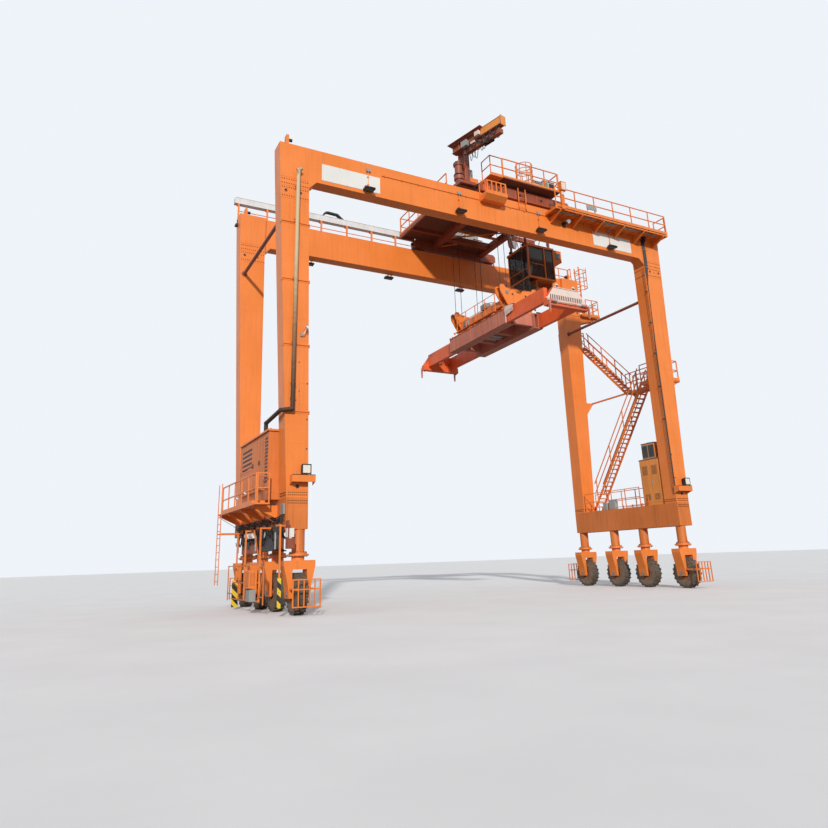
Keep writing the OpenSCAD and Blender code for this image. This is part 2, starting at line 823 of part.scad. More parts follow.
// Ladder down from the genset platform's far end, stayed to the sill
module service_ladder() {
    x = -genset_x - platform_w - seat;
    y0 = genset_y - 800;
    y1 = y0 + ladder_w + 200;
    z1 = sill_top_z + 1150;
    for (y = [y0, y1]) {
        block([x - 30, x], [y - 25, y + 25], [low_ladder_z, z1]);
        block([x - 30, -foot_out_x - seat], [y - 25, y + 25], [sill_z + 100, sill_z + 160]);
    }
    for (z = [low_ladder_z + 150 : rung_step : sill_top_z - 250])
        rod([x - 15, y0, z], [x - 15, y1, z], 14, 8);
}

// Striped plates on posts hung from the left sill, beside the wheels
module guard_posts() {
    t = 60;
    x = -hazard_x - t / 2;
    z1 = sill_z + 100;
    color(orange) {
        block([x, x + t], [-hazard_near_y, -hazard_near_y + t], [hazard_z + 200, z1 + t]);
        block([x, x + t], [-hazard_near_y, -portal_y + 2 * t], [z1, z1 + t]);
        block([x, -foot_out_x - seat], [-portal_y + t, -portal_y + 2 * t], [z1, z1 + t]);
        block([x, x + t], [hazard_far_y, hazard_far_y + t], [hazard_z, z1 + t]);
        block([x, -foot_out_x - seat], [hazard_far_y, hazard_far_y + t], [z1, z1 + t]);
    }
    color(hazard_yellow) {
        block([x - 35, x + t + 35], [-hazard_near_y - 8, -hazard_near_y + 1],
            [hazard_z + 200, hazard_z + 1200]);
        block([x - 140, x + t + 70], [hazard_far_y - 8, hazard_far_y + 1],
            [hazard_z, hazard_z + 1070]);
    }
}

module electrical_house() {
    x0 = leg_foot_in_x + 80;
    y1 = -leg_in_y + house_l + 108;
    z = sill_top_z + house_h;
    color("#E8A050")
        block([x0, x0 + house_w], [y1 - house_l, y1], [sill_top_z, z]);
    color(galvanised)
        block([x0 + 50, x0 + house_w - 100], [y1 - house_l + 200, y1 - 250], [z, z + cooler_h]);
}

// Flight of stairs between two heights
module flight(x0, y0, z0, y1, z1) {
    n = round((z1 - z0) / tread_rise);
    run = (y1 - y0) / n;
    rise = (z1 - z0) / n;
    for (x = [x0, x0 + stair_w - 40])
        yz_plate([[y0, z0 - 220], [y0, z0 - 5], [y1, z1 - 5], [y1, z1 - 220]], x, x + 40);
    for (i = [1:n - 1])
        block([x0 + 30, x0 + stair_w - 30], [y0 + i * run - 110, y0 + i * run + 110],
            [z0 + i * rise - 45, z0 + i * rise - 10]);
}

// Handrails bolted to the outsides of a flight's two stringers
module flight_rails(x0, y0, z0, y1, z1, first) {
    for (x = [x0 - seat - bar_t / 2, x0 + stair_w + seat + bar_t / 2]) {
        a = [x, y0 + (y1 - y0) * first, z0 + (z1 - z0) * first];
        b = [x, y0 + (y1 - y0) * 0.98, z0 + (z1 - z0) * 0.98];
        for (share = [0.04, 0.35, 0.65, 0.96]) {
            foot = a + (b - a) * share - [0, 0, 110];
            bar(foot, foot + [0, 0, rail_post_h + 105], bar_t);
        }
        for (h = [rail_post_h / 2, rail_post_h])
            bar(a + [0, 0, h], b + [0, 0, h], bar_t);
    }
}

// Plate under a landing whose inner edge follows the leg's sloping outer face
module landing_gusset(z, x_out, y) {
    xz_plate([[leg_out(z - 700) + seat, z - 700], [leg_out(z - 700) + 100, z - 700],
        [x_out, z - 130], [x_out, z - 20], [leg_out(z - 20) + seat, z - 20]], y, y + 60);
}

// Flight from a foot landing beside the sill up to the middle landing
module lower_stair() {
    x1 = low_stair_x + stair_w;
    z = stair_foot_z;
    color(orange) {
        flight(low_stair_x, lower_stair_y, z, stair_meet_y + seat, mid_landing_z);
        block([foot_out_x + seat, x1], [lower_stair_y - 20, lower_stair_y + 850], [z - 80, z]);
        for (y = [lower_stair_y + 40, lower_stair_y + 340])
            xz_plate([[foot_out_x + seat, z - 600], [foot_out_x + 90, z - 600],
                [x1 - 40, z - 130], [x1 - 40, z - 40], [foot_out_x + seat, z - 40]], y, y + 60);
    }
}

module middle_landing() {
    w = stair_x + stair_w;
    z = mid_landing_z;
    color(orange) {
        block([stair_x - 100, w], [mid_landing_y, stair_turn_y], [z - 80, z]);
        block([low_stair_x, stair_x - 90], [60 - leg_in_y, stair_meet_y], [z - 80, z]);
        block([stair_x - 100, stair_x - 20], [stair_turn_y - 10, leg_in_y + 200],
            [z - 100, z - 10]);
        landing_gusset(z, w - 20, -leg_in_y - 90);
        landing_gusset(z - 10, stair_x - 30, leg_in_y + 60);
    }
}

module upper_stair() {
    color(orange)
        flight(stair_x, stair_turn_y + seat, mid_landing_z, portal_y - 80 - seat, top_landing_z);
}

module upper_landing() {
    w = stair_x + stair_w;
    z = top_landing_z;
    color(orange) {
        block([leg_out(z) - 400, w], [portal_y + seat, top_landing_y], [z - 80, z]);
        block([leg_out(z) + 30, w], [portal_y - 80, portal_y + 10], [z - 80, z]);
        landing_gusset(z, w - 20, portal_y - 80);
    }
}

// Handrails of both flights and of the middle and upper landings
module stair_rails() {
    w = stair_x + stair_w;
    z = mid_landing_z + seat;
    z_top = top_landing_z + seat;
    color(orange) {
        flight_rails(low_stair_x, lower_stair_y, stair_foot_z, stair_meet_y, mid_landing_z, 0.1);
        flight_rails(stair_x, stair_turn_y, mid_landing_z, portal_y - 80, top_landing_z, 0.03);
        handrail([w - 25, mid_landing_y + 60, z], [w - 25, stair_turn_y - 40, z], 3);
        handrail([stair_x - 70, mid_landing_y + 25, z], [w - 75, mid_landing_y + 25, z], 1);
        handrail([stair_x - 50, stair_meet_y + 60, z], [stair_x - 50, stair_turn_y - 80, z], 2);
        handrail([low_stair_x + 25, 135 - leg_in_y, z], [low_stair_x + 25, stair_meet_y - 30, z], 1);
        handrail([low_stair_x + 75, 85 - leg_in_y, z], [stair_x - 140, 85 - leg_in_y, z], 1);
        handrail([w - 25, portal_y + 60, z_top], [w - 25, top_landing_y - 80, z_top], 1);
        handrail([w - 75, top_landing_y - 26, z_top],
            [leg_out(z_top) - 370, top_landing_y - 26, z_top], 2);
    }
}

// Landing between the two ladders with its handrails
module rest_landing() {
    x = ladder_x;
    x1 = x + 1250;
    z = rest_landing_z;
    y0 = leg_in_y - 200;
    color(orange) {
        xz_plate([[leg_out(z - 80) + seat, z - 80], [x1, z - 80], [x1, z],
            [leg_out(z) + seat, z]], y0, portal_y + 30);
        for (y = [leg_in_y + 80, portal_y - 120])
            xz_plate([[leg_out(z - 600) + seat, z - 600], [leg_out(z - 600) + 80, z - 600],
                [x1 - 20, z - 130], [x1 - 20, z - 60], [leg_out(z - 60) + seat, z - 60]],
                y, y + 50);
        handrail([x1 - 25, y0 + 80, z + seat], [x1 - 25, portal_y, z + seat], 2);
        handrail([x + 120, y0 + 25, z + seat], [x1 - 80, y0 + 25, z + seat], 2);
    }
}

// Ladder from the upper landing to the rest landing, then the caged one to the
// girder's top; each ladder, bracket, hoop and strap is a piece of its own
module ladders() {
    color(orange) {
        landing_ladder();
        caged_ladder();
    }
}

module landing_ladder() {
    x = ladder_x - 180;
    y0 = portal_y + 60 + seat;
    for (y = [y0, y0 + ladder_w])
        bar([x, y, top_landing_z + seat], [x, y, rest_landing_z + 1000], 60);
    for (z = [top_landing_z + rung_step:rung_step:rest_landing_z + 900])
        bar([x, y0, z], [x, y0 + ladder_w, z], 30);
    for (z = [top_landing_z + 700, rest_landing_z - 500])
        block([leg_out(z) - 120, x - 30 - seat], [portal_y + seat, portal_y + 60], [z, z + 60]);
}

module caged_ladder() {
    x = ladder_x;
    y_mid = ladder_y + ladder_w / 2;
    z0 = rest_landing_z;
    top = girder_top_z + rail_post_h;
    low_hoop = z0 + 2100;
    for (y = [ladder_y, ladder_y + ladder_w])
        bar([x, y, z0 + seat], [x, y, top], 60);
    for (z = [z0 + rung_step:rung_step:top - 100])
        bar([x, ladder_y, z], [x, ladder_y + ladder_w, z], 30);
    for (y = [ladder_y, ladder_y + ladder_w], z = [z0 + 900, girder_top_z - 250])
        xz_plate([[girder_out(z) + seat, z], [x - 30 - seat, z], [x - 30 - seat, z + 70],
            [girder_out(z + 70) + seat, z + 70]], y - 25, y + 25);
    for (z = [low_hoop:600:top - 100])
        translate([x + 30 + seat, y_mid, z])
            cage_hoop();
    for (a = [-60, -20, 20, 60])
        translate([x + 30 + cage_shift, y_mid, low_hoop - 20])
            rotate([0, 0, a])
                translate([cage_r + 18 + seat, -25, 0])
                    cube([12, 50, top - low_hoop + 20]);
}

// Half round hoop whose two arms end at the ladder's stiles
module cage_hoop() {
    out = cage_r + 18;
    linear_extrude(height = 40)
        difference() {
            union() {
                translate([cage_shift, 0])
                    circle(r = out, $fn = 32);
                translate([0, -out])
                    square([cage_shift, 2 * out]);
            }
            translate([cage_shift, 0])
                circle(r = cage_r - 18, $fn = 32);
            translate([40, 18 - cage_r])
                square([cage_shift, 2 * cage_r - 36]);
            translate([-1, 30 - ladder_w / 2])
                square([50, ladder_w - 60]);
        }
}

// Floodlights on short arms along the near girder's lower edge
module floodlights() {
    for (x = lamp_xs)
        translate([x, -portal_y - seat, girder_z]) {
            color(dark)
                yz_plate([[-50, 140], [-50, 210], [-320, 250], [-380, 170], [-340, 120]],
                    -240, 240);
            color(orange)
                block([-40, 40], [-60, 0], [150, 200]);
        }
}

// Trolley: carriages on the rails, cross beams, cab beams and the jib's post
module trolley_frame() {
    x0 = trolley_x - carriage_half;
    x1 = trolley_x + carriage_half;
    y0 = rail_y - carriage_w / 2;
    y1 = rail_y + carriage_w / 2;
    z0 = carriage_z;
    z1 = carriage_z + carriage_h;
    bz = z1 - cross_beam;
    color(red_orange) {
        mirrored_y() {
            difference() {
                xz_plate([[x0, z0 + 90], [x0 + 90, z0], [x1 - 90, z0], [x1, z0 + 90],
                    [x1, z1 - 140], [x1 - 140, z1], [x0 + 140, z1], [x0, z1 - 140]], y0, y1);
                for (s = [-1, 1])
                    translate([trolley_x + s * wheel_dx, 0, 0])
                        block([-trolley_wheel_r - 50, trolley_wheel_r + 50],
                            [rail_y - wheel_slot / 2, rail_y + wheel_slot / 2],
                            [z0 - 1, z0 + 520]);
            }
            for (s = [-1, 1])
                translate([trolley_x + s * wheel_dx, rail_y, axle_z])
                    rotate([90, 0, 0])
                        trolley_wheel();
        }
        for (x = cross_xs)
            block([x, x + cross_beam], [-y0, y0], [bz, z1]);
        block([platform_x, platform_x + 120], [-y0, y0], [z1 - 160, z1]);
        mirrored_y() {
            block([platform_x, x0 + 10], [y0, y0 + 120], [z1 - 160, z1]);
            block([platform_x + 120, cross_xs[0]], [-well_y - 160, -well_y], [z1 - 160, z1]);
            block([cross_xs[0] + cross_beam, cross_xs[1]], [well_y, well_y + 340], [bz + 60, z1]);
            block([cross_xs[1] + cross_beam, cab_x + cab_l], [cab_hang_y - 90, cab_hang_y + 90],
                [bz + 100, z1]);
            for (x = [cab_x + 60, cab_x + cab_l - 160])
                block([x, x + 100], [cab_hang_y - 50, cab_hang_y + 50],
                    [cab_z + cab_h, bz + 100]);
        }
    }
    color(orange)
        translate([jib_x, jib_y, z1 - 160])
            rotate_extrude($fn = 48)
                polygon([[0, 0], [jib_post_r, 0], [jib_post_r, jib_bearing_z - z1 + 60],
                    [jib_post_r + 60, jib_bearing_z - z1 + 60],
                    [jib_post_r + 60, jib_bearing_z - z1 + 160],
                    [jib_post_r, jib_bearing_z - z1 + 160],
                    [jib_post_r, jib_post_top_z - z1 + 160], [0, jib_post_top_z - z1 + 160]]);
    color(red_orange)
        block([jib_x - 210, cross_xs[0]], [jib_y - 200, jib_y + 330], [z1 - 160, z1]);
}

module trolley_wheel() {
    rotate_extrude($fn = 60)
        polygon([[0, -carriage_w / 2 - 30], [60, -carriage_w / 2 - 30],
            [60, -85], [trolley_wheel_r + 26, -62], [trolley_wheel_r + 26, -48],
            [trolley_wheel_r, -42], [trolley_wheel_r, 42], [trolley_wheel_r + 26, 48],
            [trolley_wheel_r + 26, 62], [60, 85], [60, carriage_w / 2 + 30],
            [0, carriage_w / 2 + 30]]);
}

// Checker plate floors and the raised outer walkway
module trolley_deck() {
    z = carriage_z + carriage_h;
    y_edge = rail_y - carriage_w / 2;
    x_end = cross_xs[1] + cross_beam;
    out = -portal_y - 400;
    color(galvanised) {
        difference() {
            block([platform_x, cross_xs[0]], [-y_edge, y_edge], [z, z + 40]);
            translate([jib_x, jib_y, z - 1])
                cylinder(h = 60, r = jib_post_r + 20, $fn = 48);
        }
        block([cross_xs[0], x_end], [-y_edge, -well_y - 60], [z, z + 40]);
        block([cross_xs[0], x_end], [well_y + 60, y_edge], [z, z + 40]);
    }
    color(orange) {
        block([deck_x, x_end], [out, -y_edge - 100], [deck_z, deck_z + 60]);
        for (x = [deck_x + 300, (deck_x + x_end) / 2, x_end - 400])
            block([x, x + 100], [-y_edge - 300, -y_edge - 100], [z, deck_z]);
    }
}

// Handrails of the trolley's floors; the jib's mast turns clear of their ends
module deck_rails() {
    z = carriage_top_z + 40 + seat;
    z_up = deck_z + 60 + seat;
    y_edge = rail_y - carriage_w / 2;
    x_end = cross_xs[1] + cross_beam;
    out = -portal_y - 400;
    x = platform_x + 25;
    color(orange) {
        handrail([deck_x + 30, out + 25, z_up], [x_end - 80, out + 25, z_up], 4);
        handrail([x_end - 25, out + 30, z_up], [x_end - 25, -y_edge - 130, z_up], 1);
        handrail([x, -y_edge + 1300, z], [x, y_edge - 80, z], 5);
        handrail([x, y_edge - 25, z], [cross_xs[0], y_edge - 25, z], 2);
    }
}

// Drum, gearbox and motor of the hoist on the platform, and the rope sheaves
module hoist_machinery() {
    z = carriage_z + carriage_h + 40;
    color(red_orange) {
        for (y = [-drum_l / 2 - 120, drum_l / 2 + 20])
            xz_plate([[drum_x - 380, z], [drum_x + 380, z], [drum_x + 140, z + 620],
                [drum_x - 140, z + 620]], y, y + 100);
        block([drum_x - 420, drum_x + 420], [drum_l / 2 + 120, drum_l / 2 + 620], [z, z + 900]);
        block([drum_x - 260, drum_x + 260], [drum_l / 2 + 600, drum_l / 2 + 1300], [z, z + 560]);
    }
    color(galvanised)
        translate([drum_x, 0, z + 470])
            rotate([90, 0, 0])
                rotate_extrude($fn = 60)
                    polygon([[0, -drum_l / 2 - 60], [90, -drum_l / 2 - 60], [90, -drum_l / 2],
                        [460, -drum_l / 2], [460, -drum_l / 2 + 40], [400, -drum_l / 2 + 40],
                        [400, drum_l / 2 - 40], [460, drum_l / 2 - 40], [460, drum_l / 2],
                        [90, drum_l / 2], [90, drum_l / 2 + 60], [0, drum_l / 2 + 60]]);
}

// Cab: roof, floor, posts, rear wall and seat
module cab_frame() {
    x1 = cab_x + cab_l;
    y1 = cab_w / 2;
    z1 = cab_z + cab_h;
    belly_z = cab_z - cab_belly;
    p = cab_post;
    color(orange) {
        block([cab_x - 40, x1], [-y1 - 40, y1 + 40], [z1 - 110, z1]);
        block([x1 - 60, x1], [-y1, y1], [cab_z, z1 - 110]);
        mirrored_y() {
            for (x = [cab_x, cab_x + cab_l * 0.6])
                block([x, x + p], [y1 - p, y1], [cab_z + p, z1 - 110]);
            block([cab_x, x1 - 60], [y1 - p, y1], [cab_z, cab_z + p]);
        }
        block([cab_x, cab_x + p], [-y1 + p, y1 - p], [cab_z, cab_z + p]);
        block([cab_x + cab_slope * 2.2, x1], [-y1 + cab_slope, y1 - cab_slope],
            [belly_z, belly_z + 60]);
        block([cab_x + cab_slope * 2.2, cab_x + cab_slope * 2.2 + 60],
            [-y1 + cab_slope, y1 - cab_slope], [belly_z + 60, cab_z]);
        block([x1 - 60, x1], [-y1 + cab_slope, y1 - cab_slope], [belly_z + 60, cab_z]);
        block([cab_x + cab_slope * 2.2, x1 - 60], [-y1 + p, y1 - p], [cab_z, cab_z + 50]);
        block([x1, x1 + 560], [-y1, -y1 + 900], [z1 - 760, z1 - 60]);
    }
    color(dark) {
        block([cab_x + 1060, cab_x + 1240], [-90, 90], [cab_z + 50, cab_z + 420]);
        block([cab_x + 900, cab_x + 1420], [-270, 270], [cab_z + 420, cab_z + 560]);
        xz_plate([[cab_x + 1340, cab_z + 560], [cab_x + 1430, cab_z + 560],
            [cab_x + 1560, cab_z + 1300], [cab_x + 1470, cab_z + 1300]], -250, 250);
    }
}

// Panes of the cab, one solid each
module cab_glazing() {
    x1 = cab_x + cab_l;
    y1 = cab_w / 2;
    z0 = cab_z + cab_post;
    z1 = cab_z + cab_h - 110;
    p = cab_post;
    mid = cab_x + cab_l * 0.6;
    belly_z = cab_z - cab_belly;
    color(glass) {
        block([cab_x + 30, cab_x + 30 + glass_t], [-y1 + p, y1 - p], [z0, z1]);
        mirrored_y() {
            block([cab_x + p, mid], [y1 - 40 - glass_t, y1 - 40], [z0, z1]);
            block([mid + p, x1 - 60], [y1 - 40 - glass_t, y1 - 40], [z0, z1]);
        }
        xz_plate([[cab_x + 20, cab_z], [cab_x + 20 + glass_t, cab_z],
            [cab_x + cab_slope * 2.2, belly_z + glass_t], [cab_x + cab_slope * 2.2, belly_z]],
            -y1 + cab_slope, y1 - cab_slope);
    }
}

// Slewing jib: mast beside the post, beam, roof sheet and lower hoist track
module jib_arm() {
    r = jib_post_r;
    color(red_orange)
        translate([jib_x, jib_y, 0])
            rotate([0, 0, jib_turn]) {
                for (z = [jib_bearing_z + seat, jib_post_top_z - 220])
                    difference() {
                        union() {
                            translate([0, 0, z])
                                cylinder(h = 120, r = r + 60, $fn = 48);
                            block([0, r + 80], [-120, 120], [z, z + 120]);
                        }
                        translate([0, 0, z - 1])
                            cylinder(h = 122, r = r + jib_gap, $fn = 48);
                    }
                block([r + 70, r + 420], [-230, 230], [jib_post_top_z - 1080, jib_beam_z]);
                block([-40, 160], [-jib_reach, 300], [jib_beam_z + 30, jib_beam_z + 420]);
                for (z = [jib_beam_z, jib_beam_z + 420])
                    block([-110, 230], [-jib_reach, 300], [z, z + 30]);
                block([160, r + 420], [-230, 230], [jib_beam_z, jib_beam_z + 420]);
                block([-120, 240], [-jib_reach - 40, -jib_reach], [jib_beam_z - 40, jib_beam_z + 490]);
                block([-60, 180], [-jib_reach + 100, -500], [jib_beam_z - 420, jib_beam_z - 180]);
                for (y = [-jib_reach + 250, -jib_reach / 2, -650])
                    block([0, 120], [y - 60, y + 60], [jib_beam_z - 180, jib_beam_z]);
                block([-320, 560], [-jib_reach * 0.62, 420], [jib_beam_z + 450, jib_beam_z + 470]);
            }
    color(galvanised)
        translate([jib_x, jib_y, 0])
            rotate([0, 0, jib_turn])
                block([r + 420, r + 640], [-200, 180], [jib_post_top_z - 900, jib_post_top_z - 250]);
}

// Hoisted parts
// Eight rope falls between the trolley's sheave beams and the headblock
module hoist_ropes() {
    color(dark)
        for (x = [-1, 1], y = [-1, 1], s = [-1, 1])
            translate([load_x + x * rope_x + s * (sheave_r + rope_r + seat),
                y * rope_y + s * 110, rope_low_z])
                cylinder(h = rope_beam_z - seat - rope_low_z, r = rope_r, $fn = 12);
}

// Headblock: crown plates, sheave housings, side beams and inspection rails
module headblock() {
    z = head_z;
    w = head_half_w;
    color(orange) {
        mirrored_y() {
            crown_plate(head_half_l - 60, head_half_l);
            crown_plate(head_half_l - 480, head_half_l - 420);
        }
        for (s = [-1, 1]) {
            block([load_x + s * 700 - 130, load_x + s * 700 + 130],
                [-head_half_l + 480, head_half_l - 480], [z + 420, z + 760]);
            block([load_x + s * 700 - 130, load_x + s * 700 + 130],
                [-head_half_l + 60, -head_half_l + 420], [z, z + 260]);
            block([load_x + s * 700 - 130, load_x + s * 700 + 130],
                [head_half_l - 420, head_half_l - 60], [z, z + 260]);
        }
        for (y = [-900, 900])
            block([load_x - 570, load_x + 570], [y - 110, y + 110], [z + 460, z + 720]);
        for (s = [-1, 1], y = [-1100, 1100])
            block([load_x + s * 700 - 100, load_x + s * 700 + 100], [y - 100, y + 100], [z, z + 420]);
    }
    color(dark)
        mirrored_y()
            for (x = [-rope_x, rope_x])
                translate([load_x + x, head_half_l - 50, z + head_h - 420])
                    rotate([90, 0, 0])
                        cylinder(h = 380, r = 60, $fn = 32);
    color(galvanised)
        mirrored_y()
            for (x = [-rope_x, rope_x], s = [-110, 110])
                translate([load_x + x, rope_y + s, z + head_h - 420])
                    rotate([90, 0, 0])
                        rotate_extrude($fn = 48)
                            polygon([[55, -45], [sheave_r + 38, -45], [sheave_r, -16],
                                [sheave_r, 16], [sheave_r + 38, 45], [55, 45]]);
}

module crown_plate(y0, y1) {
    w = head_half_w;
    h = head_h;
    translate([load_x, 0, head_z])
        xz_plate([[-w * 0.55, 0], [-w * 0.62, h * 0.22], [-w * 0.98, h * 0.72], [-w, h * 0.92],
            [-w * 0.93, h], [-w * 0.78, h], [-w * 0.62, h * 0.8], [-w * 0.5, h * 0.78],
            [-w * 0.38, h * 0.86], [-w * 0.22, h * 0.86], [-w * 0.1, h * 0.74], [w * 0.1, h * 0.74],
            [w * 0.22, h * 0.86], [w * 0.38, h * 0.86], [w * 0.5, h * 0.78], [w * 0.62, h * 0.8],
            [w * 0.78, h], [w * 0.93, h], [w, h * 0.92], [w * 0.98, h * 0.72],
            [w * 0.62, h * 0.22], [w * 0.55, 0]], y0, y1);
}

// Main frame: two side boxes, each with two lanes for the telescopic beams
module spreader_frame() {
    l = frame_half_l;
    color(pink) {
        for (s = [-1, 1])
            translate([load_x, 0, frame_z])
                mirror([s < 0 ? 1 : 0, 0, 0])
                    difference() {
                        block([frame_half_w - side_box_w, frame_half_w], [-l, l], [0, frame_h]);
                        for (x = [lane_in_x, lane_out_x])
                            block([x, x + lane_w], [-l - 1, l + 1],
                                [frame_t, frame_t + lane_h]);
                    }
            for (s = [-1, 1], x = [lane_in_x, lane_out_x], y = [-l, l - 160])
                translate([load_x, 0, frame_z + frame_t])
                    mirror([s < 0 ? 1 : 0, 0, 0])
                        block([x + 20, x + lane_w - 20], [y, y + 160],
                            [-1, tele_gap - seat]);
        for (y = [-l + 200, -900, 700, l - 400])
            block([load_x - frame_half_w + side_box_w, load_x + frame_half_w - side_box_w],
                [y, y + 200], [frame_z + 160, frame_z + frame_h]);
    }
}

// Telescopic end of the +Y side in the inner lanes, or of the -Y side (mirrored by
// the caller) in the outer lanes
module telescopic_end(lane_x) {
    y0 = frame_half_l - tele_hold;
    y1 = lock_l / 2 - end_w / 2;
    y2 = lock_l / 2 + end_w / 2;
    z = frame_z + frame_t + tele_gap;
    color(red_orange)
        for (s = [-1, 1])
            translate([load_x, 0, 0])
                mirror([s < 0 ? 1 : 0, 0, 0])
                    block([lane_x + tele_gap, lane_x + tele_gap + tele_w], [y0, y1 + 10],
                        [z, z + tele_h]);
    color(pale) {
        translate([load_x, 0, lock_z])
            xz_plate([[-end_half_w, 0], [end_half_w, 0], [end_half_w, 300],
                [end_half_w * 0.62, 940], [-end_half_w * 0.62, 940], [-end_half_w, 300]],
                y1, y2 - 60);
        translate([load_x, 0, lock_z])
            block([-end_half_w, end_half_w], [y2 - 60, y2], [0, 320]);
    }
    color(dark)
        for (s = [-1, 1])
            translate([load_x + s * lock_w / 2, lock_l / 2, lock_z]) {
                translate([0, 0, -40])
                    cylinder(h = 41, r = 24, $fn = 32);
                translate([0, 0, -100])
                    cylinder(h = 60, r1 = 14, r2 = 36, $fn = 32);
            }
    color(pale)
        for (s = [-1, 1])
            translate([load_x + s * (end_half_w - 180), 0, 0])
                difference() {
                    yz_plate([[y2, lock_z + 80], [flip_y, lock_z + 100], [flip_y + 60, lock_z + 180],
                        [flip_y, lock_z + 260], [y2, lock_z + 280]], -25, 25);
                    translate([-26, flip_y, flip_z])
                        rotate([0, 90, 0])
                            cylinder(h = 52, r = flip_pin_r + 0.08, $fn = 32);
                }
}

// Pair of corner flippers on their shaft, hanging down
module flippers() {
    color(pale) {
        rodx(load_x - end_half_w - 20, load_x + end_half_w + 20);
        for (s = [-1, 1])
            translate([load_x + s * (end_half_w - 40), flip_y, flip_z])
                yz_plate([[-55, 50], [55, 50], [65, -120], [40, -flipper_l], [0, -flipper_l - 60],
                    [-40, -flipper_l], [-65, -120]], -30, 30);
    }
}

module rodx(x0, x1) {
    translate([x0, flip_y, flip_z])
        rotate([0, 90, 0])
            cylinder(h = x1 - x0, r = flip_pin_r, $fn = 32);
}

mirror([0, 1, 0]) girder();  // near_girder
girder();  // far_girder
mirror([1, 0, 0]) mirror([0, 1, 0]) leg();  // near_left_leg
mirror([0, 1, 0]) leg();  // near_right_leg
mirror([1, 0, 0]) leg();  // far_left_leg
leg();  // far_right_leg
mirror([1, 0, 0]) sill();  // left_sill
sill();  // right_sill
tie_pipe(-tie_left_x, tie_left_z);  // left_tie_pipe
tie_pipe(tie_right_x, tie_right_z);  // right_tie_pipe
girder_walkway();
girder_rails();
girder_pulpit();
cable_trough();
energy_chain();
genset_house();
exhaust_pipe();
left_access_platform();
left_service_frame();
guard_posts();
electrical_house();
lower_stair();
middle_landing();
upper_stair();
upper_landing();
stair_rails();
rest_landing();
ladders();
floodlights();
for (i = [0:3]) {
    translate([-track_x, wheel_ys[i], 0]) fork(guard_sides[i]);
    translate([track_x, wheel_ys[i], 0]) fork(guard_sides[i]);
    translate([-track_x, wheel_ys[i], 0]) wheel();
    translate([track_x, wheel_ys[i], 0]) wheel();
}
trolley_frame();
trolley_deck();
deck_rails();
hoist_machinery();
cab_frame();
cab_glazing();
jib_arm();
hoist_ropes();
headblock();
spreader_frame();
mirror([0, 1, 0]) telescopic_end(lane_out_x);  // near_telescopic_end
telescopic_end(lane_in_x);  // far_telescopic_end
mirror([0, 1, 0]) flippers();  // near_flippers
flippers();  // far_flippers
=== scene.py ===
import json
import math
import random
import sys

